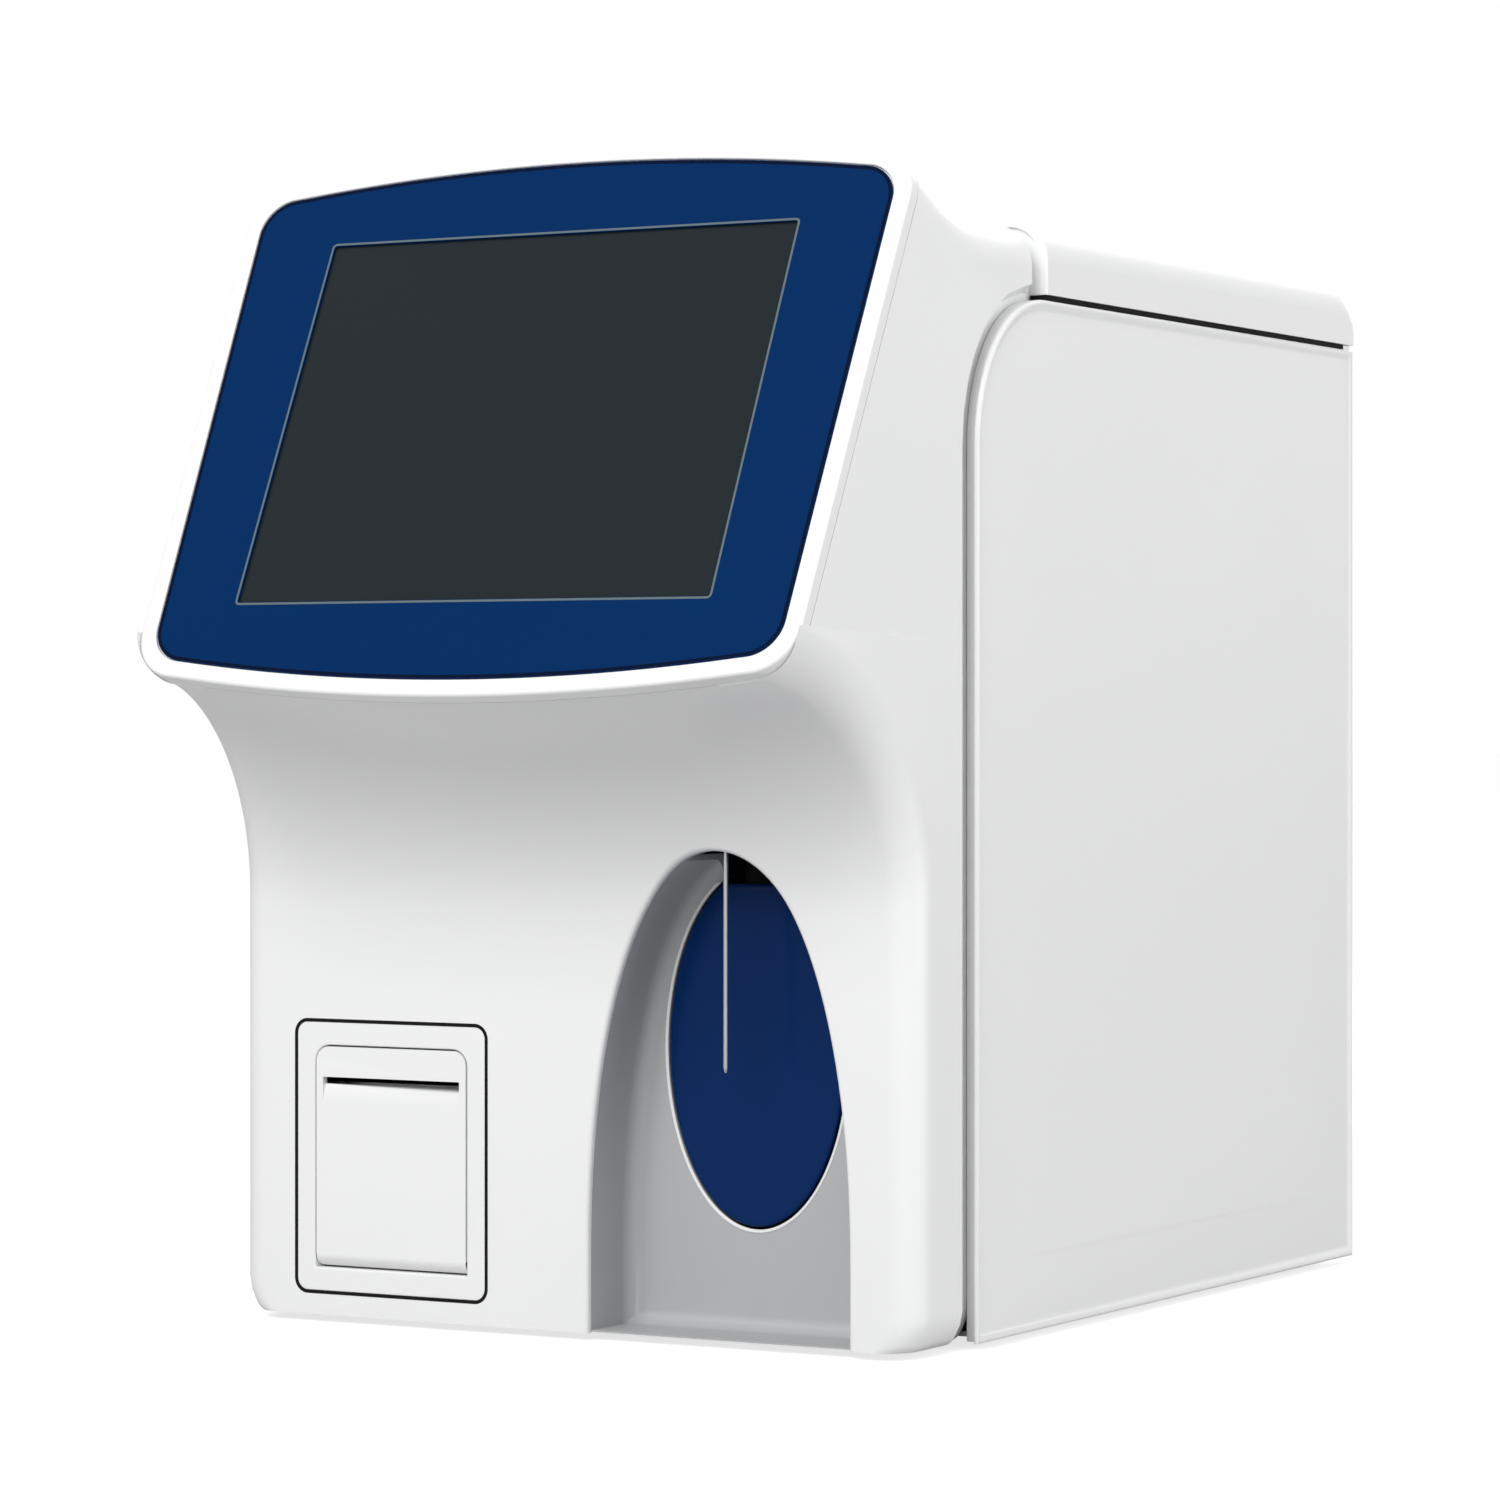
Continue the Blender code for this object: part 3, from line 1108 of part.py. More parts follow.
def make_lift(materials):
    """Everything that raises the probe: frame, rods, screw, motor, carriage, probe and the wipe it runs through."""
    make_lift_frame(materials)
    floor = SHELF_Z + SHELF_THICKNESS + FIT_GAP
    span = upper_shelf_z() - FIT_GAP - floor
    for side_name, side in (("left", -1), ("right", 1)):
        rod = bmesh.new()
        add_rod(rod, (BAY_X + side * ROD_SPACING / 2, LIFT_Y, floor), "Z", span, ROD_RADIUS)
        solid(f"guide_rod_{side_name}", rod, materials["steel"], smooth=True)
    screw = bmesh.new()
    add_rod(screw, (BAY_X, LIFT_Y, floor + FIT_GAP), "Z", span - 2 * FIT_GAP, SCREW_RADIUS, steps=ROUND_STEPS)
    shaft = solid("lift_screw", screw, materials["steel"], pivot=(BAY_X, LIFT_Y, floor), smooth=True)
    journals = bmesh.new()
    low = SHELF_Z + FIT_GAP
    high = upper_shelf_z() + SHELF_THICKNESS - FIT_GAP
    add_rod(journals, (BAY_X, LIFT_Y, low), "Z", high - low, SCREW_RADIUS * SCREW_JOURNAL_SHARE)
    combine(shaft, "UNION", journals, "journals")

    motor_z = upper_shelf_z() + SHELF_THICKNESS + FIT_GAP
    outline = rounded_rectangle(MOTOR_SIZE / 2, MOTOR_SIZE / 2, MOTOR_CORNER, 1)
    bm = bmesh.new()
    rows = [[Vector((BAY_X + x, LIFT_Y + y, z)) for x, y in outline] for z in (motor_z, motor_z + MOTOR_HEIGHT)]
    add_rows(bm, rows, closed_across=True, caps=True)
    solid("lift_motor", bm, materials["black_plastic"])

    carriage_z = SHELF_Z + SHELF_THICKNESS + CARRIAGE_CLEARANCE
    arm_z = carriage_z + (CARRIAGE_HEIGHT - ARM_HEIGHT) / 2
    bm = bmesh.new()
    low = (BAY_X - CARRIAGE_WIDTH / 2, LIFT_Y - CARRIAGE_DEPTH / 2, carriage_z)
    high = (BAY_X + CARRIAGE_WIDTH / 2, LIFT_Y + CARRIAGE_DEPTH / 2, carriage_z + CARRIAGE_HEIGHT)
    add_box(bm, low, high)
    carriage = solid("probe_carriage", bm, materials["black_plastic"], pivot=(BAY_X, LIFT_Y, carriage_z))
    arm = bmesh.new()
    low = (BAY_X - ARM_WIDTH / 2, PROBE_Y - ARM_NOSE, arm_z)
    high = (BAY_X + ARM_WIDTH / 2, LIFT_Y, arm_z + ARM_HEIGHT)
    add_box(arm, low, high)
    combine(carriage, "UNION", arm, "arm")
    bores = bmesh.new()
    base_z = carriage_z - CUT_OVERRUN / 2
    length = CARRIAGE_HEIGHT + CUT_OVERRUN
    for x, y, radius in (
        (BAY_X - ROD_SPACING / 2, LIFT_Y, ROD_RADIUS + HINGE_CLEARANCE),
        (BAY_X + ROD_SPACING / 2, LIFT_Y, ROD_RADIUS + HINGE_CLEARANCE),
        (BAY_X, LIFT_Y, SCREW_RADIUS + HINGE_CLEARANCE),
        (BAY_X, PROBE_Y, PROBE_RADIUS + FIT_GAP),
    ):
        add_rod(bores, (x, y, base_z), "Z", length, radius)
    combine(carriage, "DIFFERENCE", bores, "bores")

    hub_z = arm_z + ARM_HEIGHT + FIT_GAP
    bm = bmesh.new()
    add_rod(bm, (BAY_X, PROBE_Y, hub_z), "Z", PROBE_HUB_HEIGHT, PROBE_HUB_RADIUS)
    probe = solid("sample_probe", bm, materials["steel"], pivot=(BAY_X, PROBE_Y, PROBE_TIP_Z))
    needle = bmesh.new()
    shank = PROBE_TIP_Z + PROBE_POINT
    add_rod(needle, (BAY_X, PROBE_Y, shank), "Z", hub_z + PROBE_HUB_HEIGHT / 2 - shank, PROBE_RADIUS)
    combine(probe, "UNION", needle, "needle")
    point = bmesh.new()
    add_rod(point, (BAY_X, PROBE_Y, PROBE_TIP_Z), "Z", PROBE_POINT * 3 / 2, PROBE_RADIUS / 2, PROBE_RADIUS * PROBE_SHANK_SHARE)
    combine(probe, "UNION", point, "point")

    wipe_top = SHELF_Z - FIT_GAP
    low = (BAY_X - WIPE_WIDTH / 2, PROBE_Y - WIPE_DEPTH / 2, wipe_top - WIPE_HEIGHT)
    high = (BAY_X + WIPE_WIDTH / 2, PROBE_Y + WIPE_DEPTH / 2, wipe_top)
    wipe = box_solid("probe_wipe", low, high, materials["clear_acrylic"])
    spouts = bmesh.new()
    base = (BAY_X - WIPE_WIDTH / 2 - WIPE_SPOUT_LENGTH, PROBE_Y + WIPE_DEPTH / 5, wipe_top - WIPE_HEIGHT / 2)
    add_rod(spouts, base, "X", WIPE_WIDTH + 2 * WIPE_SPOUT_LENGTH, WIPE_SPOUT_RADIUS)
    combine(wipe, "UNION", spouts, "spouts")
    bore = bmesh.new()
    base = (BAY_X, PROBE_Y, wipe_top - WIPE_HEIGHT - CUT_OVERRUN / 2)
    add_rod(bore, base, "Z", WIPE_HEIGHT + CUT_OVERRUN, PROBE_RADIUS + HINGE_CLEARANCE)
    combine(wipe, "DIFFERENCE", bore, "probe_bore")


def make_printer(materials):
    """The panel printer: frame, case, hinged door with its platen roller, paper roll and print head."""
    frame_outline = rounded_rectangle(PRINTER_FRAME_WIDTH / 2, PRINTER_FRAME_HEIGHT / 2, PRINTER_FRAME_RADIUS)
    door_outline = rounded_rectangle(DOOR_WIDTH / 2, DOOR_HEIGHT / 2, DOOR_RADIUS, low_radius=DOOR_LOW_RADIUS)
    opening = rounded_rectangle(
        DOOR_WIDTH / 2 + DOOR_GAP, DOOR_HEIGHT / 2 + DOOR_GAP, DOOR_RADIUS + DOOR_GAP, low_radius=DOOR_GAP / 2
    )
    lip = PRINTER_LIP_WIDTH
    lip_outline = rounded_rectangle(
        PRINTER_FRAME_WIDTH / 2 + lip, PRINTER_FRAME_HEIGHT / 2 + lip, PRINTER_FRAME_RADIUS + lip
    )
    lip_y = CASE_WALL + FIT_GAP
    plan = (
        (frame_outline, 0.0),
        (frame_outline, lip_y),
        (lip_outline, lip_y),
        (lip_outline, PRINTER_FRAME_DEPTH),
        (opening, PRINTER_FRAME_DEPTH),
        (opening, 0.0),
    )
    bm = bmesh.new()
    rows = [upright(moved(outline, PRINTER_X, PRINTER_Z), y) for outline, y in plan]
    add_rows(bm, rows, closed_across=True, closed_along=True)
    frame = solid("printer_frame", bm, materials["white_shell"])
    hinge_z = PRINTER_Z - DOOR_HEIGHT / 2 + DOOR_BARREL_RADIUS
    hinge_y = DOOR_BARREL_RADIUS
    pin_half = DOOR_WIDTH / 2 + HINGE_PIN_SEAT
    groove = bmesh.new()
    groove_half = pin_half + FIT_GAP
    add_rod(groove, (PRINTER_X - groove_half, hinge_y, hinge_z), "X", 2 * groove_half, HINGE_PIN_RADIUS + FIT_GAP)
    combine(frame, "DIFFERENCE", groove, "pin_seats")

    wall = CASE_PRINTER_WALL
    outer = moved(rectangle(PRINTER_FRAME_WIDTH / 2, PRINTER_FRAME_HEIGHT / 2), PRINTER_X, PRINTER_Z)
    inner = moved(rectangle(PRINTER_FRAME_WIDTH / 2 - wall, PRINTER_FRAME_HEIGHT / 2 - wall), PRINTER_X, PRINTER_Z)
    case_front = PRINTER_FRAME_DEPTH + FIT_GAP
    case_back = case_front + CASE_PRINTER_DEPTH
    bm = bmesh.new()
    add_cup(bm, outer, inner, case_front, case_back - wall, case_back)
    case = solid("printer_case", bm, materials["black_plastic"])
    stubs = bmesh.new()
    stub_length = (PRINTER_FRAME_WIDTH - ROLL_WIDTH) / 2 - wall / 2 + ROLL_STUB_REACH
    stub_radius = ROLL_CORE_RADIUS - HINGE_CLEARANCE * 2
    add_rod(stubs, (PRINTER_X - PRINTER_FRAME_WIDTH / 2 + wall / 2, ROLL_Y, ROLL_Z), "X", stub_length, stub_radius)
    base = (PRINTER_X + PRINTER_FRAME_WIDTH / 2 - wall / 2 - stub_length, ROLL_Y, ROLL_Z)
    add_rod(stubs, base, "X", stub_length, stub_radius)
    combine(case, "UNION", stubs, "roll_stubs")

    make_printer_door(materials, door_outline, hinge_y, hinge_z)
    pin = bmesh.new()
    add_rod(pin, (PRINTER_X - pin_half, hinge_y, hinge_z), "X", 2 * pin_half, HINGE_PIN_RADIUS)
    solid("door_hinge_pin", pin, materials["steel"])

    platen_z = DOOR_SLOT_Z - PLATEN_DROP
    pivot = (PRINTER_X, PLATEN_Y, platen_z)
    platen = bmesh.new()
    half = DOOR_SLOT_WIDTH / 2 - CHEEK_THICKNESS - FIT_GAP
    add_rod(platen, (PRINTER_X - half, PLATEN_Y, platen_z), "X", 2 * half, PLATEN_RADIUS, steps=ROUND_STEPS)
    roller = solid("platen_roller", platen, materials["rubber"], pivot=pivot)
    shaft = bmesh.new()
    half += CHEEK_THICKNESS
    add_rod(shaft, (PRINTER_X - half, PLATEN_Y, platen_z), "X", 2 * half, PLATEN_SHAFT_RADIUS)
    combine(roller, "UNION", shaft, "shaft")

    roll = bmesh.new()
    outer = arc((0.0, 0.0), ROLL_RADIUS, 0.0, 2 * math.pi, 2 * ROUND_STEPS)[:-1]
    inner = arc((0.0, 0.0), ROLL_CORE_RADIUS, 0.0, 2 * math.pi, 2 * ROUND_STEPS)[:-1]
    ends = (PRINTER_X - ROLL_WIDTH / 2, PRINTER_X + ROLL_WIDTH / 2)
    plan = ((outer, ends[0]), (outer, ends[1]), (inner, ends[1]), (inner, ends[0]))
    rows = [[Vector((x, ROLL_Y + y, ROLL_Z + z)) for y, z in outline] for outline, x in plan]
    add_rows(roll, rows, closed_across=True, closed_along=True)
    solid("paper_roll", roll, materials["paper"], pivot=(PRINTER_X, ROLL_Y, ROLL_Z))

    head_y = PLATEN_Y + PLATEN_RADIUS + FIT_GAP
    head_half = PRINTER_FRAME_WIDTH / 2 - wall - FIT_GAP
    low = (PRINTER_X - head_half, head_y, platen_z - HEAD_HEIGHT / 2)
    high = (PRINTER_X + head_half, head_y + HEAD_THICKNESS, platen_z + HEAD_HEIGHT / 2)
    box_solid("print_head", low, high, materials["plated_sheet"])


def make_printer_door(materials, door_outline, hinge_y, hinge_z):
    """The door: a flat plate with a hinge barrel below, a paper slot with a ramp, and two cheeks for the platen."""
    half = DOOR_WIDTH / 2
    top = PRINTER_Z + DOOR_HEIGHT / 2
    bm = bmesh.new()
    add_box(bm, (PRINTER_X - half, 0.0, hinge_z), (PRINTER_X + half, DOOR_THICKNESS, top))
    door = solid("printer_door", bm, materials["white_shell"], pivot=(PRINTER_X, hinge_y, hinge_z))
    barrel = bmesh.new()
    add_rod(barrel, (PRINTER_X - half, hinge_y, hinge_z), "X", DOOR_WIDTH, DOOR_BARREL_RADIUS, steps=2 * ROUND_STEPS)
    combine(door, "UNION", barrel, "barrel")
    prism = bmesh.new()
    add_slab(prism, moved(door_outline, PRINTER_X, PRINTER_Z), -CUT_OVERRUN, CUT_OVERRUN)
    combine(door, "INTERSECT", prism, "round_corners")
    platen_z = DOOR_SLOT_Z - PLATEN_DROP
    cheeks = bmesh.new()
    for side in (-1, 1):
        near = PRINTER_X + side * DOOR_SLOT_WIDTH / 2
        far = near - side * CHEEK_THICKNESS
        low = (min(near, far), DOOR_THICKNESS / 2, platen_z - CHEEK_HALF_HEIGHT)
        high = (max(near, far), CHEEK_DEPTH + DOOR_THICKNESS / 2, platen_z + CHEEK_HALF_HEIGHT)
        add_box(cheeks, low, high)
    combine(door, "UNION", cheeks, "cheeks")
    cuts = bmesh.new()
    slot_half = DOOR_SLOT_WIDTH / 2
    low = (PRINTER_X - slot_half, -CUT_OVERRUN, DOOR_SLOT_Z - DOOR_SLOT_HEIGHT / 2)
    high = (PRINTER_X + slot_half, CUT_OVERRUN, DOOR_SLOT_Z + DOOR_SLOT_HEIGHT / 2)
    add_box(cuts, low, high)
    combine(door, "DIFFERENCE", cuts, "paper_slot")
    ramp = bmesh.new()
    profile = (
        (-DOOR_RAMP_DEPTH, DOOR_SLOT_Z - DOOR_RAMP_HEIGHT * 2),
        (DOOR_RAMP_DEPTH, DOOR_SLOT_Z),
        (-DOOR_RAMP_DEPTH, DOOR_SLOT_Z),
    )
    rows = [[Vector((x, y, z)) for y, z in profile] for x in (PRINTER_X - slot_half, PRINTER_X + slot_half)]
    add_rows(ramp, rows, closed_across=True, caps=True)
    combine(door, "DIFFERENCE", ramp, "paper_ramp")
    bores = bmesh.new()
    radius = HINGE_PIN_RADIUS + HINGE_CLEARANCE
    start = PRINTER_X - half - CUT_OVERRUN / 4
    length = DOOR_WIDTH + CUT_OVERRUN / 2
    add_rod(bores, (start, hinge_y, hinge_z), "X", length, radius)
    radius = PLATEN_SHAFT_RADIUS + HINGE_CLEARANCE
    add_rod(bores, (start, PLATEN_Y, platen_z), "X", length, radius)
    combine(door, "DIFFERENCE", bores, "bores")


def make_fluid_side(materials):
    """The upright plate with the counting baths, the valve row, the syringe and its drive, and the waste pump."""
    foot_z = BASE_HEIGHT + BASE_THICKNESS + FIT_GAP
    face = FLUID_PLATE_X + FLUID_PLATE_THICKNESS
    bm = bmesh.new()
    low = (FLUID_PLATE_X, FLUID_PLATE_FRONT_Y, foot_z)
    high = (face, FLUID_PLATE_BACK_Y, foot_z + FLUID_PLATE_HEIGHT)
    add_box(bm, low, high)
    plate = solid("fluid_plate", bm, materials["plated_sheet"])
    foot = bmesh.new()
    low = (FLUID_PLATE_X + FLUID_PLATE_THICKNESS / 2, FLUID_PLATE_FRONT_Y, foot_z)
    high = (FLUID_PLATE_X + FLUID_PLATE_FOOT, FLUID_PLATE_BACK_Y, foot_z + FLUID_PLATE_THICKNESS)
    add_box(foot, low, high)
    combine(plate, "UNION", foot, "foot")

    near = face + FIT_GAP
    for index in range(2):
        y = BATH_FRONT_Y + index * BATH_PITCH
        name = ("count_bath_front", "count_bath_back")[index]
        low = (near, y, BATH_Z)
        bath = box_solid(name, low, (near + BATH_SIZE, y + BATH_SIZE, BATH_Z + BATH_HEIGHT), materials["clear_acrylic"])
        centre = (near + BATH_SIZE / 2, y + BATH_SIZE / 2)
        spout = bmesh.new()
        add_rod(spout, (*centre, BATH_Z - BATH_SPOUT_RADIUS * 3), "Z", BATH_SPOUT_RADIUS * 4, BATH_SPOUT_RADIUS)
        combine(bath, "UNION", spout, "spout")
        bore = bmesh.new()
        top = BATH_Z + BATH_HEIGHT
        add_rod(bore, (*centre, top - BATH_BORE_DEPTH), "Z", BATH_BORE_DEPTH + CUT_OVERRUN, BATH_BORE_RADIUS, steps=ROUND_STEPS)
        combine(bath, "DIFFERENCE", bore, "bore")

    for index in range(VALVE_COUNT):
        y = VALVE_FRONT_Y + index * VALVE_PITCH
        low = (near, y, VALVE_Z)
        high = (near + VALVE_BASE, y + VALVE_BASE, VALVE_Z + VALVE_BASE_HEIGHT)
        valve = box_solid(f"valve_{index + 1}", low, high, materials["valve_blue"])
        more = bmesh.new()
        middle = (y + VALVE_BASE / 2, VALVE_Z + VALVE_BASE_HEIGHT / 2)
        base = (near + VALVE_BASE * 3 / 4, *middle)
        add_rod(more, base, "X", VALVE_BASE / 4 + VALVE_COIL_LENGTH, VALVE_COIL_RADIUS * VALVE_NECK_SHARE)
        combine(valve, "UNION", more, "coil")
        ports = bmesh.new()
        for port_y in (y + VALVE_BASE / 4, y + VALVE_BASE * 3 / 4):
            base = (near + VALVE_BASE / 3, port_y, VALVE_Z - VALVE_PORT_RADIUS * 3)
            add_rod(ports, base, "Z", VALVE_PORT_RADIUS * 5, VALVE_PORT_RADIUS)
        combine(valve, "UNION", ports, "ports")
    make_syringe(materials, face)

    low = (near, PUMP_Y - PUMP_HEAD_SIZE / 2, PUMP_Z - PUMP_HEAD_SIZE / 2)
    high = (near + PUMP_HEAD_LENGTH, PUMP_Y + PUMP_HEAD_SIZE / 2, PUMP_Z + PUMP_HEAD_SIZE / 2)
    pump = box_solid("waste_pump", low, high, materials["black_plastic"])
    motor = bmesh.new()
    base = (near + PUMP_HEAD_LENGTH / 2, PUMP_Y, PUMP_Z)
    add_rod(motor, base, "X", PUMP_HEAD_LENGTH / 2 + PUMP_LENGTH, PUMP_RADIUS * PUMP_MOTOR_SHARE, steps=ROUND_STEPS)
    combine(pump, "UNION", motor, "motor")
    ports = bmesh.new()
    for side in (-1, 1):
        top = PUMP_Z + PUMP_HEAD_SIZE / 2 - BATH_SPOUT_RADIUS
        add_rod(ports, (near + PUMP_HEAD_LENGTH / 2, PUMP_Y + side * PUMP_HEAD_SIZE / 4, top), "Z", BATH_SPOUT_RADIUS * 4, BATH_SPOUT_RADIUS)
    combine(pump, "UNION", ports, "ports")


def make_syringe(materials, face):
    """The dosing syringe: barrel on a bracket, sliding plunger and the linear drive below it."""
    near = face + FIT_GAP
    x = FLUID_PLATE_X + FLUID_PLATE_THICKNESS + SYRINGE_STANDOFF
    low = (near, SYRINGE_Y - SYRINGE_RADIUS / 2, SYRINGE_Z + SYRINGE_LENGTH / 5)
    high = (x, SYRINGE_Y + SYRINGE_RADIUS / 2, SYRINGE_Z + SYRINGE_LENGTH * 4 / 5)
    barrel = box_solid("syringe_barrel", low, high, materials["clear_acrylic"])
    tube = bmesh.new()
    add_rod(tube, (x, SYRINGE_Y, SYRINGE_Z), "Z", SYRINGE_LENGTH, SYRINGE_RADIUS, steps=ROUND_STEPS)
    combine(barrel, "UNION", tube, "tube")
    bore = bmesh.new()
    bore_radius = SYRINGE_RADIUS - SYRINGE_WALL
    length = SYRINGE_LENGTH - SYRINGE_WALL * 2 + CUT_OVERRUN
    add_rod(bore, (x, SYRINGE_Y, SYRINGE_Z - CUT_OVERRUN), "Z", length, bore_radius, steps=ROUND_STEPS)
    combine(barrel, "DIFFERENCE", bore, "bore")
    nozzle = bmesh.new()
    base = (x, SYRINGE_Y, SYRINGE_Z + SYRINGE_LENGTH - CUT_OVERRUN / 2)
    add_rod(nozzle, base, "Z", CUT_OVERRUN, HINGE_PIN_RADIUS)
    combine(barrel, "DIFFERENCE", nozzle, "nozzle")

    head_top = SYRINGE_Z + SYRINGE_LENGTH - SYRINGE_WALL * 3 - SYRINGE_STROKE
    bm = bmesh.new()
    add_rod(bm, (x, SYRINGE_Y, head_top - PLUNGER_HEAD), "Z", PLUNGER_HEAD, bore_radius - FIT_GAP, steps=ROUND_STEPS)
    plunger = solid("syringe_plunger", bm, materials["steel"], pivot=(x, SYRINGE_Y, head_top))
    rod = bmesh.new()
    rod_foot = SYRINGE_Z - SYRINGE_STROKE * 3 - PLUNGER_ROD_ENGAGED
    add_rod(rod, (x, SYRINGE_Y, rod_foot), "Z", head_top - PLUNGER_HEAD / 2 - rod_foot, PLUNGER_ROD_RADIUS)
    combine(plunger, "UNION", rod, "rod")

    drive_top = SYRINGE_Z - SYRINGE_STROKE * 2
    low = (near, SYRINGE_Y - DRIVE_WIDTH / 2, drive_top - DRIVE_HEIGHT)
    drive = box_solid("syringe_drive", low, (x + DRIVE_WIDTH / 2, SYRINGE_Y + DRIVE_WIDTH / 2, drive_top), materials["black_plastic"])
    well = bmesh.new()
    depth = PLUNGER_ROD_ENGAGED + SYRINGE_STROKE + SYRINGE_WALL
    add_rod(well, (x, SYRINGE_Y, drive_top - depth), "Z", depth + CUT_OVERRUN, PLUNGER_ROD_RADIUS + HINGE_CLEARANCE)
    combine(drive, "DIFFERENCE", well, "well")


def make_electronics(materials):
    """Main board with its parts and standoffs, power supply, and the cooling fan."""
    board_x = FLUID_PLATE_X - FIT_GAP - BOARD_STANDOFF
    low = (board_x - BOARD_THICKNESS, MAIN_BOARD_Y - MAIN_BOARD_LENGTH / 2, MAIN_BOARD_Z - MAIN_BOARD_HEIGHT / 2)
    high = (board_x, MAIN_BOARD_Y + MAIN_BOARD_LENGTH / 2, MAIN_BOARD_Z + MAIN_BOARD_HEIGHT / 2)
    board = box_solid("main_board", low, high, materials["board_green"])
    parts = bmesh.new()
    for side_y in (-1, 1):
        for side_z in (-1, 1):
            y = MAIN_BOARD_Y + side_y * (MAIN_BOARD_LENGTH / 2 - BOARD_STANDOFF)
            z = MAIN_BOARD_Z + side_z * (MAIN_BOARD_HEIGHT / 2 - BOARD_STANDOFF)
            base = (board_x - BOARD_THICKNESS / 2, y, z)
            add_rod(parts, base, "X", BOARD_STANDOFF + BOARD_THICKNESS / 2, BOARD_STANDOFF / 2)
    face = board_x - BOARD_THICKNESS / 2
    for share_y, share_z, length, height, rise in BOARD_PARTS:
        y = MAIN_BOARD_Y + MAIN_BOARD_LENGTH * share_y
        z = MAIN_BOARD_Z + MAIN_BOARD_HEIGHT * share_z
        add_box(parts, (face - rise, y - length / 2, z - height / 2), (face, y + length / 2, z + height / 2))
    combine(board, "UNION", parts, "parts")

    foot_z = BASE_HEIGHT + BASE_THICKNESS + FIT_GAP
    low = (SUPPLY_X - SUPPLY_WIDTH / 2, SUPPLY_Y - SUPPLY_LENGTH / 2, foot_z)
    high = (SUPPLY_X + SUPPLY_WIDTH / 2, SUPPLY_Y + SUPPLY_LENGTH / 2, foot_z + SUPPLY_HEIGHT)
    supply = box_solid("power_supply", low, high, materials["plated_sheet"])
    slots = bmesh.new()
    pitch = SUPPLY_LENGTH / (SUPPLY_SLOTS + 1)
    for index in range(SUPPLY_SLOTS):
        y = low[1] + pitch * (index + 1)
        slot_low = (low[0] + pitch, y - pitch / 5, high[2] - CASE_WALL)
        add_box(slots, slot_low, (high[0] - pitch, y + pitch / 5, high[2] + CUT_OVERRUN))
    combine(supply, "DIFFERENCE", slots, "vents")
    make_fan(materials)


def fan_rear_y():
    """Depth of the fan's outer face, just inside the rear panel."""
    return BODY_DEPTH - REAR_RECESS - REAR_THICKNESS - FIT_GAP


def make_fan(materials):
    """The square fan frame with its motor seat on four struts, and the bladed rotor."""
    rear = fan_rear_y()
    front = rear - FAN_DEPTH
    bore_radius = FAN_SIZE / 2 - FAN_WALL
    outer = moved(rounded_rectangle(FAN_SIZE / 2, FAN_SIZE / 2, MOTOR_CORNER, CORNER_STEPS), FAN_X, FAN_Z)
    bm = bmesh.new()
    add_slab(bm, outer, front, rear)
    frame = solid("fan_frame", bm, materials["black_plastic"])
    bore = bmesh.new()
    centre = (FAN_X, front - CUT_OVERRUN, FAN_Z)
    add_rod(bore, centre, "Y", FAN_DEPTH + 2 * CUT_OVERRUN, bore_radius, steps=2 * ROUND_STEPS)
    combine(frame, "DIFFERENCE", bore, "bore")
    seat = bmesh.new()
    add_rod(seat, (FAN_X, front, FAN_Z), "Y", CASE_WALL, FAN_HUB_RADIUS, steps=ROUND_STEPS)
    combine(frame, "UNION", seat, "seat")
    struts = bmesh.new()
    reach = bore_radius + FAN_WALL / 2
    add_box(struts, (FAN_X - reach, front, FAN_Z - FAN_WALL), (FAN_X + reach, front + CASE_WALL / 2, FAN_Z + FAN_WALL))
    combine(frame, "UNION", struts, "strut_across")
    struts = bmesh.new()
    add_box(struts, (FAN_X - FAN_WALL, front, FAN_Z - reach), (FAN_X + FAN_WALL, front + CASE_WALL / 2, FAN_Z + reach))
    combine(frame, "UNION", struts, "strut_up")

    hub_front = front + CASE_WALL + FIT_GAP
    depth = FAN_DEPTH - CASE_WALL * 2
    bm = bmesh.new()
    add_rod(bm, (FAN_X, hub_front, FAN_Z), "Y", depth, FAN_HUB_RADIUS, steps=ROUND_STEPS)
    rotor = solid("fan_rotor", bm, materials["black_plastic"], pivot=(FAN_X, hub_front + depth / 2, FAN_Z))
    blades = bmesh.new()
    tip = bore_radius - FAN_TIP_GAP
    for index in range(FAN_BLADES):
        turn = Matrix.Rotation(2 * math.pi * index / FAN_BLADES, 4, "Y")
        rows = []
        for radius, pitch in ((FAN_HUB_RADIUS * FAN_ROOT_SHARE, FAN_ROOT_PITCH), (tip, FAN_TIP_PITCH)):
            along = Vector((math.cos(pitch), math.sin(pitch), 0.0)) * depth * FAN_CHORD_SHARE
            across = Vector((-math.sin(pitch), math.cos(pitch), 0.0)) * FAN_WALL / 2
            middle = Vector((0.0, depth / 2, radius))
            square = (middle - along - across, middle + along - across, middle + along + across, middle - along + across)
            rows.append([Vector((FAN_X, hub_front, FAN_Z)) + (turn @ corner) for corner in square])
        add_rows(blades, rows, closed_across=True, caps=True)
    combine(rotor, "UNION", blades, "blades")


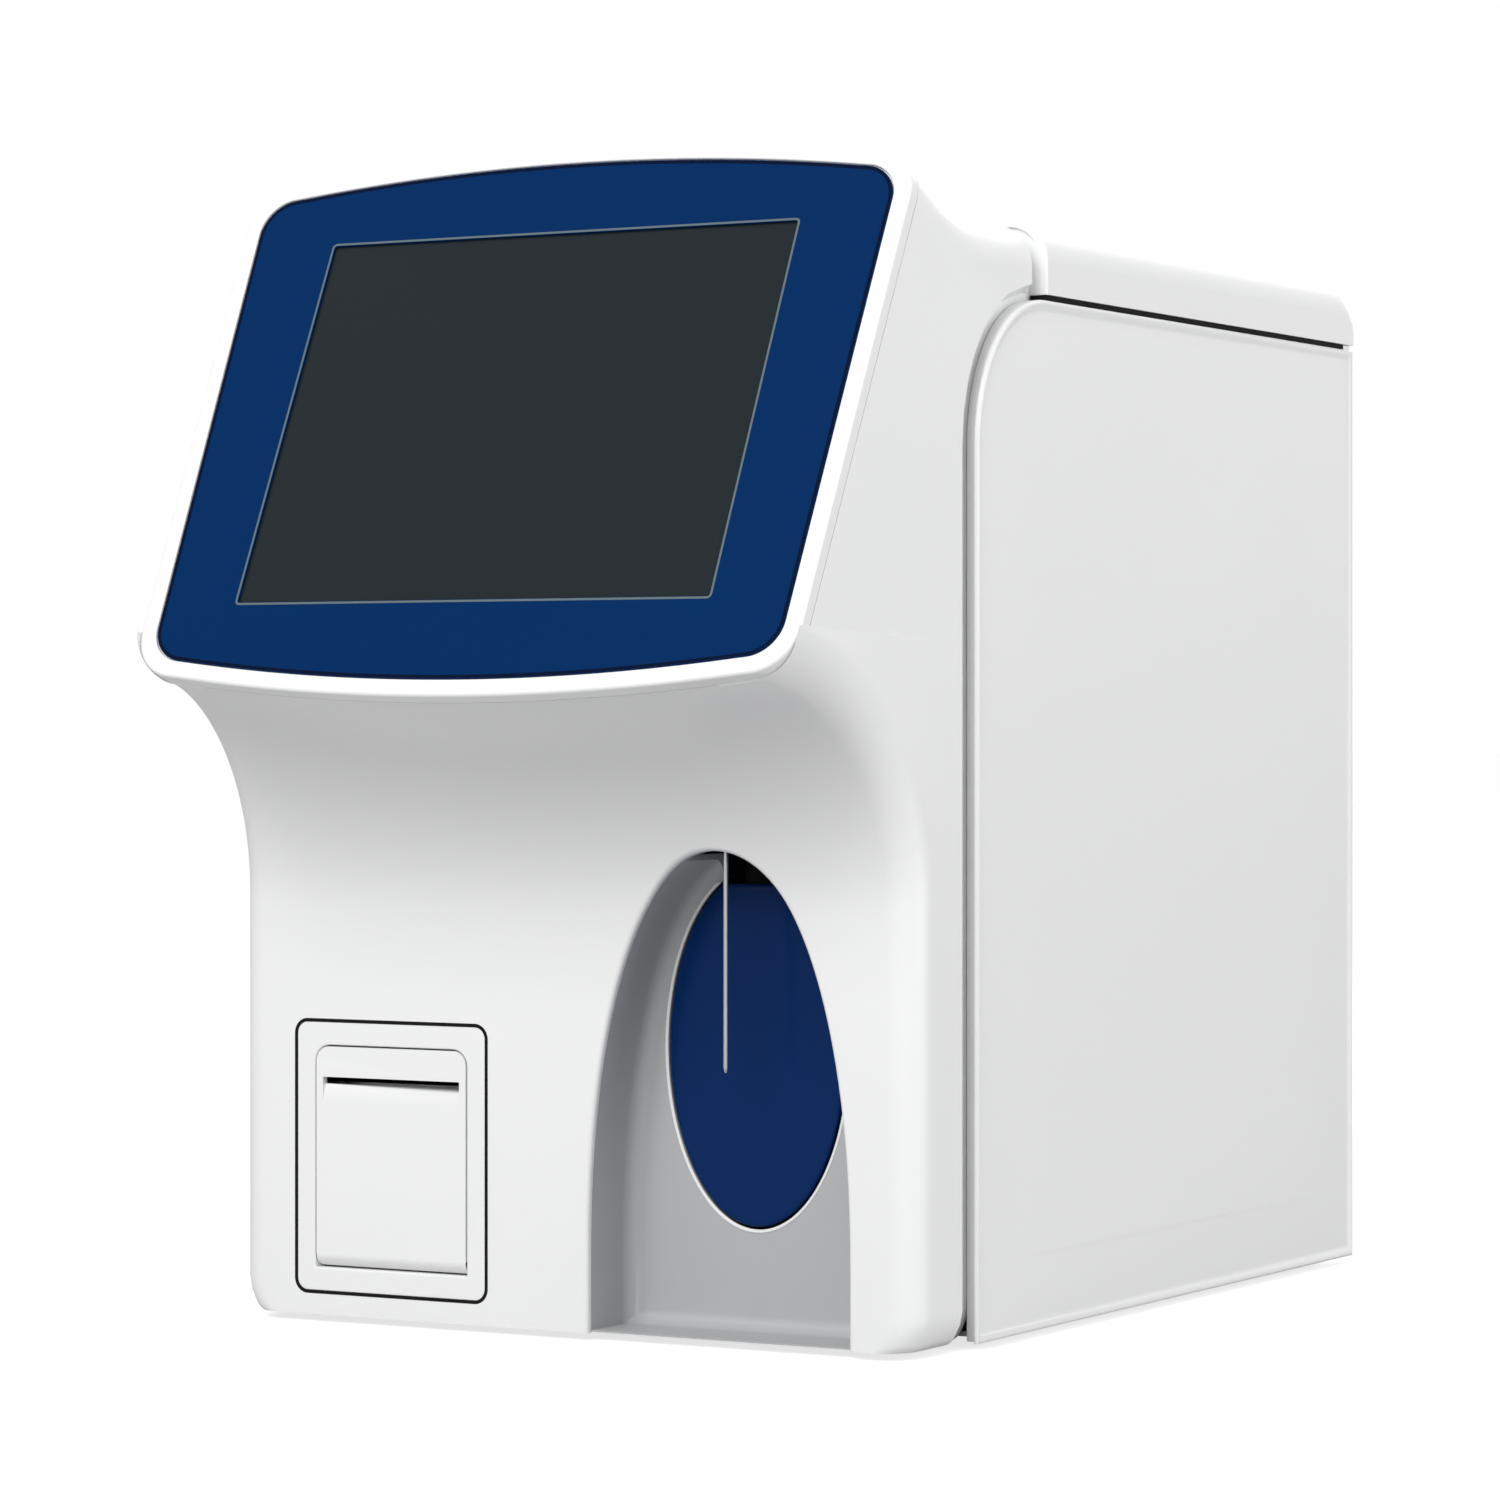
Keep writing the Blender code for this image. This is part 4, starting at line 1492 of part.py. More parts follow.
def make_back(materials):
    """Rear panel with its openings, and what is fitted into them: inlet, rocker switch and fluid ports."""
    inside = BODY_DEPTH - REAR_RECESS - REAR_THICKNESS
    outside = BODY_DEPTH - REAR_RECESS
    foot_z = BASE_HEIGHT + BASE_THICKNESS + FIT_GAP
    low = (-FLANGE_HALF_WIDTH, inside, foot_z)
    panel = box_solid("rear_panel", low, (FLANGE_HALF_WIDTH, outside, PANEL_TOP_Z - FIT_GAP), materials["painted_sheet"])
    holes = bmesh.new()
    start = inside - CUT_OVERRUN / 4
    length = REAR_THICKNESS + CUT_OVERRUN / 2
    for index in range(PORT_COUNT):
        add_rod(holes, (PORT_X + index * PORT_PITCH, start, PORT_Z), "Y", length, PORT_STEM_RADIUS + FIT_GAP, steps=ROUND_STEPS)
    bezel_width = ROCKER_WIDTH + 2 * BEZEL_WALL + 2 * FIT_GAP
    bezel_height = ROCKER_HEIGHT + 2 * ROCKER_CLEARANCE + 2 * BEZEL_WALL
    for x, width, height in ((INLET_X, INLET_WIDTH, INLET_HEIGHT), (ROCKER_X, bezel_width, bezel_height)):
        half_x = width / 2 + FIT_GAP
        half_z = height / 2 + FIT_GAP
        add_box(holes, (x - half_x, start, INLET_Z - half_z), (x + half_x, start + length, INLET_Z + half_z))
    for index in range(FAN_SLOTS):
        rise = (index - (FAN_SLOTS - 1) / 2) * FAN_SLOT_PITCH
        half = math.sqrt((FAN_SIZE / 2 - FAN_WALL * 2) ** 2 - rise**2)
        z = FAN_Z + rise
        for low_x, high_x in ((FAN_X - half, FAN_X - FAN_WALL), (FAN_X + FAN_WALL, FAN_X + half)):
            add_box(holes, (low_x, start, z - FAN_SLOT_PITCH / 4), (high_x, start + length, z + FAN_SLOT_PITCH / 4))
    combine(panel, "DIFFERENCE", holes, "openings")

    for index in range(PORT_COUNT):
        x = PORT_X + index * PORT_PITCH
        bm = bmesh.new()
        add_rod(bm, (x, outside + FIT_GAP, PORT_Z), "Y", REAR_THICKNESS, PORT_FLANGE_RADIUS, steps=ROUND_STEPS)
        port = solid(f"fluid_port_{index + 1}", bm, materials["black_plastic"])
        stem = bmesh.new()
        add_rod(stem, (x, inside - PORT_LENGTH, PORT_Z), "Y", PORT_LENGTH + REAR_THICKNESS * 2, PORT_STEM_RADIUS, steps=ROUND_STEPS)
        combine(port, "UNION", stem, "stem")
        barb = bmesh.new()
        foot = outside + REAR_THICKNESS / 2
        add_rod(barb, (x, foot, PORT_Z), "Y", PORT_LENGTH, PORT_BARB_RADIUS, PORT_BARB_RADIUS * PORT_BARB_TIP_SHARE)
        combine(port, "UNION", barb, "barb")
        bore = bmesh.new()
        add_rod(bore, (x, inside - PORT_LENGTH - CUT_OVERRUN, PORT_Z), "Y", CUT_OVERRUN * 4, PORT_BORE_RADIUS)
        combine(port, "DIFFERENCE", bore, "bore")

    flange_front = outside + FIT_GAP
    width = INLET_WIDTH / 2
    height = INLET_HEIGHT / 2
    outline = moved(rounded_rectangle(width + INLET_FLANGE, height + INLET_FLANGE, INLET_FLANGE / 2), INLET_X, INLET_Z)
    bm = bmesh.new()
    add_slab(bm, outline, flange_front, flange_front + REAR_THICKNESS)
    inlet = solid("power_inlet", bm, materials["black_plastic"])
    body = bmesh.new()
    low = (INLET_X - width, inside - INLET_DEPTH, INLET_Z - height)
    add_box(body, low, (INLET_X + width, flange_front + REAR_THICKNESS / 2, INLET_Z + height))
    combine(inlet, "UNION", body, "body")
    cavity = bmesh.new()
    inner = moved(rectangle(width - BEZEL_WALL, height - BEZEL_WALL), INLET_X, INLET_Z)
    add_slab(cavity, inner, inside - INLET_DEPTH + CASE_WALL * 2, flange_front + CUT_OVERRUN)
    combine(inlet, "DIFFERENCE", cavity, "cavity")
    pins = bmesh.new()
    for share_x, share_z in PIN_PLACE_SHARES:
        x = INLET_X + INLET_WIDTH * share_x
        z = INLET_Z + INLET_HEIGHT * share_z
        low = (x - PIN_THICKNESS / 2, inside - INLET_DEPTH + CASE_WALL, z - PIN_THICKNESS)
        add_box(pins, low, (x + PIN_THICKNESS / 2, inside - REAR_THICKNESS, z + PIN_THICKNESS))
    combine(inlet, "UNION", pins, "pins")

    half_x = ROCKER_WIDTH / 2 + FIT_GAP
    half_z = ROCKER_HEIGHT / 2 + ROCKER_CLEARANCE
    opening = rectangle(half_x, half_z)
    sleeve = rectangle(half_x + BEZEL_WALL, half_z + BEZEL_WALL)
    rim = rectangle(half_x + BEZEL_WALL * 2, half_z + BEZEL_WALL * 2)
    plan = (
        (rim, flange_front + REAR_THICKNESS),
        (rim, flange_front),
        (sleeve, flange_front),
        (sleeve, inside - ROCKER_DEPTH),
        (opening, inside - ROCKER_DEPTH),
        (opening, flange_front + REAR_THICKNESS),
    )
    bm = bmesh.new()
    rows = [upright(moved(outline, ROCKER_X, INLET_Z), y) for outline, y in plan]
    add_rows(bm, rows, closed_across=True, closed_along=True)
    solid("switch_bezel", bm, materials["black_plastic"])
    pivot_y = outside - ROCKER_DEPTH / 2
    half_height = ROCKER_HEIGHT / 2
    profile = (
        (-ROCKER_DEPTH / 4, -half_height * ROCKER_FOOT_SHARE),
        (ROCKER_DEPTH * ROCKER_CREST_SHARE, -half_height),
        (ROCKER_DEPTH / 2, 0.0),
        (ROCKER_DEPTH * ROCKER_CREST_SHARE, half_height),
        (-ROCKER_DEPTH / 4, half_height * ROCKER_FOOT_SHARE),
    )
    bm = bmesh.new()
    ends = (ROCKER_X - ROCKER_WIDTH / 2, ROCKER_X + ROCKER_WIDTH / 2)
    rows = [[Vector((x, pivot_y + y, INLET_Z + z)) for y, z in profile] for x in ends]
    add_rows(bm, rows, closed_across=True, caps=True)
    solid("power_switch", bm, materials["black_plastic"], pivot=(ROCKER_X, pivot_y, INLET_Z))


def main():
    """Build every piece and stand the analyzer on its feet."""
    clear_scene()
    root = bpy.data.objects.new(ROOT_NAME, None)
    bpy.context.scene.collection.objects.link(root)
    materials = make_materials()
    make_front_housing(materials)
    make_screen(materials)
    make_side_panel("side_panel_left", -1, materials)
    make_side_panel("side_panel_right", 1, materials)
    make_top_cover(materials)
    make_cover_seal(materials)
    make_base(materials)
    make_sample_bay(materials)
    make_aspirate_key(materials)
    make_lift(materials)
    make_printer(materials)
    make_fluid_side(materials)
    make_electronics(materials)
    make_back(materials)
    front_edge = on_screen(0.0, OVERLAY_BOTTOM - RING_GROW + RING_SOFT_EDGE / 2, 0.0).y
    root.location = (0.0, -(front_edge + BODY_DEPTH) / 2, FOOT_HEIGHT)


main()
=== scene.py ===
"""Studio scene of a bench blood analyzer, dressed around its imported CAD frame."""

import json
import logging
import math
from dataclasses import dataclass, replace
from enum import Enum
from typing import Callable, Iterable, Sequence

import bmesh
import bpy
from mathutils import Matrix, Vector


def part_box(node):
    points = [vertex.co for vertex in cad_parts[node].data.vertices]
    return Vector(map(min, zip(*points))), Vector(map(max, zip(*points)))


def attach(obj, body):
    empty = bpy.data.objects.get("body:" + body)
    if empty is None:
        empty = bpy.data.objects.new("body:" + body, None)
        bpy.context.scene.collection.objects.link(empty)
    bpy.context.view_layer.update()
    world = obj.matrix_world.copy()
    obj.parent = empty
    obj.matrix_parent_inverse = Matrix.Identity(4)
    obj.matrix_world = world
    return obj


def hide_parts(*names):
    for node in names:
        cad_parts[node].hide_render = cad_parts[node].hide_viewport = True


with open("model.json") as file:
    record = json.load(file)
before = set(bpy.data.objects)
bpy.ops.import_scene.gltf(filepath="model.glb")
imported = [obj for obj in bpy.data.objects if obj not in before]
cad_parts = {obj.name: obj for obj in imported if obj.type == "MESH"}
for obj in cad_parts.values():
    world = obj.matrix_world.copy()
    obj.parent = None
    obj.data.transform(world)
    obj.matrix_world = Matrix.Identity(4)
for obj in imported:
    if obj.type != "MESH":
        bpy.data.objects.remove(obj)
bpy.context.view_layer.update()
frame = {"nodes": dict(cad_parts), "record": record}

log = logging.getLogger("analyzer")

Point = tuple[float, float]
Triple = tuple[float, float, float]

# Case, as in the part's source, in metres
BODY_WIDTH = 0.317
BODY_DEPTH = 0.4112
BODY_HEIGHT = 0.4347
HALF_BODY = BODY_WIDTH / 2
PANEL_TOP_Z = 0.4024
SEAM_HEIGHT = 0.0022
CASE_WALL = 0.003
FIT_GAP = 0.0003
CUT_OVERRUN = 0.02
UP = Vector((0.0, 0.0, 1.0))
BACK = Vector((0.0, 1.0, 0.0))

COVER_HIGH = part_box("top_cover")[1]
SHIFT = Vector((0.0, COVER_HIGH[1] - BODY_DEPTH, COVER_HIGH[2] - BODY_HEIGHT))


MERGE_DISTANCE = 1e-6
EDGE_SEGMENTS = 3
ROD_SOFT_SHARE = 0.08
ROD_STEPS = 48
COAT_ROUGHNESS = 0.08
SMOOTHEST = 0.02


class Relief(Enum):
    """How the small relief of a finish is laid."""

    GRAIN = "fine moulded grain"
    PEEL = "soft waviness of sprayed paint"
    BRUSHED = "lines of grinding along one axis"
    SPANGLE = "crystals of a plated sheet"
    LAYERS = "edges of wound paper"
    SMOOTH = "polished"


class NodeGroups:
    """Shader node groups that the finishes share, each built once."""

    DRIFT_DETAIL = 4.0
    DRIFT_ROUGHNESS = 0.55
    DRIFT_RANGE = (0.3, 0.7)
    GRAIN_DETAIL = 5.0
    PEEL_DETAIL = 2.0
    LAYER_DISTORTION = 0.6

    _made: dict[str, bpy.types.NodeTree] = {}

    @classmethod
    def _start(
        cls, name: str, inputs: Iterable[tuple[str, str, float]], outputs: Iterable[tuple[str, str]]
    ) -> tuple[bpy.types.NodeTree, bpy.types.Node, bpy.types.Node]:
        """Make an empty group with its sockets.

        Args:
            name: the group's name.
            inputs: name, kind and default of each input.
            outputs: name and kind of each output.

        Returns:
            The tree with its input and output nodes.
        """
        tree = bpy.data.node_groups.new(name, "ShaderNodeTree")
        for label, kind, default in inputs:
            socket = tree.interface.new_socket(label, in_out="INPUT", socket_type=f"NodeSocket{kind}")
            if kind == "Float":
                socket.default_value = default
        for label, kind in outputs:
            tree.interface.new_socket(label, in_out="OUTPUT", socket_type=f"NodeSocket{kind}")
        return tree, tree.nodes.new("NodeGroupInput"), tree.nodes.new("NodeGroupOutput")

    @classmethod
    def drift(cls) -> bpy.types.NodeTree:
        """Slow change of a value and a mask over the surface, as handling and moulding leave it.

        Returns:
            A group with Vector, Scale, Low and High in, and Value and Mask out.
        """
        if "drift" in cls._made:
            return cls._made["drift"]
        inputs = (
            ("Vector", "Vector", 0.0), ("Scale", "Float", 8.0), ("Low", "Float", 0.3), ("High", "Float", 0.4),
        )
        tree, source, sink = cls._start("surface_drift", inputs, (("Value", "Float"), ("Mask", "Float")))
        noise = tree.nodes.new("ShaderNodeTexNoise")
        noise.inputs["Detail"].default_value = cls.DRIFT_DETAIL
        noise.inputs["Roughness"].default_value = cls.DRIFT_ROUGHNESS
        spread = tree.nodes.new("ShaderNodeMapRange")
        spread.inputs["From Min"].default_value = cls.DRIFT_RANGE[0]
        spread.inputs["From Max"].default_value = cls.DRIFT_RANGE[1]
        tree.links.new(source.outputs["Vector"], noise.inputs["Vector"])
        tree.links.new(source.outputs["Scale"], noise.inputs["Scale"])
        tree.links.new(noise.outputs["Fac"], spread.inputs["Value"])
        tree.links.new(source.outputs["Low"], spread.inputs["To Min"])
        tree.links.new(source.outputs["High"], spread.inputs["To Max"])
        tree.links.new(spread.outputs["Result"], sink.inputs["Value"])
        tree.links.new(noise.outputs["Fac"], sink.inputs["Mask"])
        cls._made["drift"] = tree
        return tree

    @classmethod
    def relief(cls, kind: Relief) -> bpy.types.NodeTree:
        """Height of a kind of relief.

        Args:
            kind: the relief to make.

        Returns:
            A group with Vector and Scale in and Height out.
        """
        key = f"relief_{kind.name.lower()}"
        if key in cls._made:
            return cls._made[key]
        inputs = (("Vector", "Vector", 0.0), ("Scale", "Float", 900.0))
        tree, source, sink = cls._start(key, inputs, (("Height", "Float"),))
        if kind is Relief.SPANGLE:
            texture = tree.nodes.new("ShaderNodeTexVoronoi")
            height = texture.outputs["Distance"]
        elif kind is Relief.LAYERS:
            texture = tree.nodes.new("ShaderNodeTexWave")
            texture.wave_type = "RINGS"
            texture.rings_direction = "X"
            texture.inputs["Distortion"].default_value = cls.LAYER_DISTORTION
            height = texture.outputs["Fac"]
        else:
            texture = tree.nodes.new("ShaderNodeTexNoise")
            detail = cls.PEEL_DETAIL if kind is Relief.PEEL else cls.GRAIN_DETAIL
            texture.inputs["Detail"].default_value = detail
            height = texture.outputs["Fac"]
        tree.links.new(source.outputs["Vector"], texture.inputs["Vector"])
        tree.links.new(source.outputs["Scale"], texture.inputs["Scale"])
        tree.links.new(height, sink.inputs["Height"])
        cls._made[key] = tree
        return tree


@dataclass(frozen=True)
class Finish:
    """One finish of the analyzer: its colours, gloss and fine relief.

    The second colour is the one that the surface drifts to, and depth is the relief's height in metres.
    """

    slot: str
    colour: Triple
    second: Triple
    roughness: float
    spread: float = 0.04
    metallic: float = 0.0
    relief: Relief = Relief.GRAIN
    relief_scale: float = 1100.0
    depth: float = 0.00002
    stretch: Triple = (1.0, 1.0, 1.0)
    drift_scale: float = 7.0
    coat: float = 0.0
    transmission: float = 0.0
    specular: float = 0.5
    ior: float = 1.5
    centre: Triple = (0.0, 0.0, 0.0)

    def material(self, name: str = "") -> bpy.types.Material:
        """The finish as a material, made once for each name.

        Args:
            name: the material's name, or nothing for one after the slot.

        Returns:
            The material.
        """
        name = name or f"{self.slot}_finish"
        if name in bpy.data.materials:
            return bpy.data.materials[name]
        material = bpy.data.materials.new(name)
        material.use_nodes = True
        nodes, links = material.node_tree.nodes, material.node_tree.links
        shader = nodes["Principled BSDF"]
        shader.inputs["Metallic"].default_value = self.metallic
        shader.inputs["IOR"].default_value = self.ior
        shader.inputs["Coat Weight"].default_value = self.coat
        shader.inputs["Coat Roughness"].default_value = COAT_ROUGHNESS
        shader.inputs["Specular IOR Level"].default_value = self.specular
        shader.inputs["Transmission Weight"].default_value = self.transmission
        place = nodes.new("ShaderNodeTexCoord")
        turn = nodes.new("ShaderNodeMapping")
        turn.inputs["Location"].default_value = [-a * s for a, s in zip(self.centre, self.stretch)]
        turn.inputs["Scale"].default_value = self.stretch
        links.new(place.outputs["Object"], turn.inputs["Vector"])
        drift = nodes.new("ShaderNodeGroup")
        drift.node_tree = NodeGroups.drift()
        drift.inputs["Scale"].default_value = self.drift_scale
        drift.inputs["Low"].default_value = max(SMOOTHEST, self.roughness - self.spread)
        drift.inputs["High"].default_value = min(1.0, self.roughness + self.spread)
        links.new(turn.outputs["Vector"], drift.inputs["Vector"])
        links.new(drift.outputs["Value"], shader.inputs["Roughness"])
        blend = nodes.new("ShaderNodeMix")
        blend.data_type = "RGBA"
        blend.inputs["A"].default_value = (*self.colour, 1.0)
        blend.inputs["B"].default_value = (*self.second, 1.0)
        links.new(drift.outputs["Mask"], blend.inputs["Factor"])
        links.new(blend.outputs["Result"], shader.inputs["Base Color"])
        if self.relief is not Relief.SMOOTH:
            relief = nodes.new("ShaderNodeGroup")
            relief.node_tree = NodeGroups.relief(self.relief)
            relief.inputs["Scale"].default_value = self.relief_scale
            links.new(turn.outputs["Vector"], relief.inputs["Vector"])
            bump = nodes.new("ShaderNodeBump")
            bump.inputs["Strength"].default_value = 1.0
            bump.inputs["Distance"].default_value = self.depth
            links.new(relief.outputs["Height"], bump.inputs["Height"])
            links.new(bump.outputs["Normal"], shader.inputs["Normal"])
        return material


class Finishes:
    """All finishes of the analyzer, by the slot that they take their class from."""

    SHELL = Finish("white_plastic", (0.86, 0.862, 0.865), (0.83, 0.834, 0.838), 0.36, depth=0.000012)
    PANEL = Finish(
        "white_panel", (0.86, 0.862, 0.865), (0.835, 0.838, 0.842), 0.34, relief=Relief.PEEL,
        relief_scale=420.0, depth=0.000018,
    )
    OVERLAY = Finish(
        "blue_overlay", (0.0004, 0.0245, 0.108), (0.0003, 0.021, 0.096), 0.32, specular=0.03, depth=0.000006,
    )
    # Near-black band along the film's edge: painted shade in the gap where the film lies below the ring.
    SHADE_BORDER = Finish("blue_overlay", (0.0012, 0.006, 0.026), (0.001, 0.005, 0.022), 0.35, specular=0.03)
    # Light grey-green line round the display window: a painted highlight on the window's edge.
    HIGHLIGHT_LINE = Finish("blue_overlay", (0.11, 0.15, 0.165), (0.1, 0.135, 0.15), 0.4, specular=0.2)
    GLASS = Finish(
        "dark_glass", (0.018, 0.024, 0.028), (0.015, 0.021, 0.025), 0.1, spread=0.02, relief=Relief.SMOOTH,
        specular=0.05,
    )
    BAY = Finish("bay_grey", (0.46, 0.465, 0.47), (0.43, 0.435, 0.44), 0.42)
    KEY = Finish(
        "key_navy", (0.0016, 0.023, 0.115), (0.0014, 0.02, 0.1), 0.16, spread=0.03, depth=0.000003, specular=0.1,
    )
    BLACK = Finish("black_plastic", (0.02, 0.02, 0.022), (0.026, 0.026, 0.028), 0.5, depth=0.00004)
    RUBBER = Finish("rubber", (0.022, 0.022, 0.022), (0.032, 0.031, 0.03), 0.78, depth=0.00006, relief_scale=700.0)
    # Near-black, for the pieces in the seams that stand in for the shade in those gaps: painted shade.
    GAP_SHADE = Finish("rubber", (0.006, 0.006, 0.0065), (0.008, 0.008, 0.008), 0.7, specular=0.1, depth=0.00002)
    STEEL = Finish(
        "steel", (0.70, 0.71, 0.72), (0.62, 0.63, 0.64), 0.22, metallic=1.0, relief=Relief.BRUSHED,
        relief_scale=900.0, stretch=(1.0, 1.0, 0.06), depth=0.000008,
    )
    SHEET = Finish(
        "plated_sheet", (0.58, 0.59, 0.60), (0.46, 0.47, 0.485), 0.4, spread=0.1, metallic=1.0,
        relief=Relief.SPANGLE, relief_scale=160.0, depth=0.00003, drift_scale=60.0,
    )
    CASTING = Finish(
        "aluminium_case", (0.6, 0.61, 0.62), (0.52, 0.53, 0.54), 0.45, metallic=1.0, depth=0.00004,
    )
    PAINTED = Finish(
        "painted_sheet", (0.74, 0.745, 0.75), (0.70, 0.705, 0.71), 0.46, relief=Relief.PEEL,
        relief_scale=1500.0, depth=0.00005,
    )
    BOARD = Finish(
        "board_green", (0.015, 0.13, 0.05), (0.02, 0.17, 0.065), 0.4, drift_scale=240.0, relief_scale=500.0,
        depth=0.00004, coat=0.2,
    )
    ACRYLIC = Finish(
        "clear_acrylic", (0.82, 0.86, 0.88), (0.78, 0.83, 0.86), 0.08, relief=Relief.SMOOTH, transmission=0.85,
        ior=1.49,
    )
    VALVE = Finish("valve_blue", (0.045, 0.12, 0.29), (0.035, 0.1, 0.25), 0.42)
    PAPER = Finish(
        "paper", (0.86, 0.86, 0.84), (0.78, 0.78, 0.75), 0.85, relief=Relief.LAYERS, relief_scale=900.0,
        depth=0.00012,
    )
    WINDING = Finish(
        "paper", (0.86, 0.86, 0.84), (0.8, 0.8, 0.77), 0.85, relief=Relief.LAYERS, relief_scale=700.0,
        depth=0.00008,
    )
    CARD = Finish("paper", (0.42, 0.31, 0.2), (0.36, 0.26, 0.17), 0.8, depth=0.00005)
    ALL = (
        SHELL, PANEL, OVERLAY, GLASS, BAY, KEY, BLACK, RUBBER, STEEL, SHEET, CASTING, PAINTED, BOARD, ACRYLIC,
        VALVE, PAPER,
    )

    @classmethod
    def by_slot(cls, slot: str) -> Finish:
        """The finish that a slot of the record takes.

        Args:
            slot: the slot's name.

        Returns:
            The finish.
        """
        return next(finish for finish in cls.ALL if finish.slot == slot)


def arc(centre: Point, radius: float, start: float, end: float, steps: int) -> list[Point]:
    """Points on a circle from one angle to another.

    Args:
        centre: the circle's centre in its plane.
        radius: the circle's radius.
        start: first angle.
        end: last angle.
        steps: how many steps lie between them.

    Returns:
        The points, with both ends.
    """
    turns = [start + (end - start) * index / steps for index in range(steps + 1)]
    return [(centre[0] + radius * math.cos(turn), centre[1] + radius * math.sin(turn)) for turn in turns]


def quarter(steps: int) -> list[float]:
    """Angles of a quarter turn, with both ends."""
    return [math.pi / 2 * index / steps for index in range(steps + 1)]


def rounded(
    half_width: float, half_height: float, radius: float, low_radius: float = -1.0, steps: int = 10
) -> list[Point]:
    """Outline of a rectangle with round corners, anticlockwise from its lower right corner.

    Args:
        half_width: half its width.
        half_height: half its height.
        radius: the corners' radius.
        low_radius: the lower corners' radius, or less than nothing for the same.
        steps: how many steps a corner has.

    Returns:
        The outline's points.
    """
    outline: list[Point] = []
    for turn, (side_x, side_z) in enumerate(((1, -1), (1, 1), (-1, 1), (-1, -1))):
        start = (turn - 1) * math.pi / 2
        size = radius if low_radius < 0.0 or side_z > 0 else low_radius
        centre = (side_x * (half_width - size), side_z * (half_height - size))
        outline += arc(centre, size, start, start + math.pi / 2, steps)
    return outline


def moved(outline: Sequence[Point], shift_x: float, shift_z: float) -> list[Point]:
    """The outline moved in its plane."""
    return [(x + shift_x, z + shift_z) for x, z in outline]


def upright(outline: Sequence[Point], y: float) -> list[Vector]:
    """Outline points stood in the plane at depth y."""
    return [Vector((x, y, z)) for x, z in outline]


def bake(thing: bpy.types.Object) -> None:
    """Put what a piece's modifiers make into its mesh.

    Args:
        thing: the piece's object.
    """
    depsgraph = bpy.context.evaluated_depsgraph_get()
    mesh = bpy.data.meshes.new_from_object(thing.evaluated_get(depsgraph), depsgraph=depsgraph)
    old = thing.data
    thing.modifiers.clear()
    thing.data = mesh
    bpy.data.meshes.remove(old)


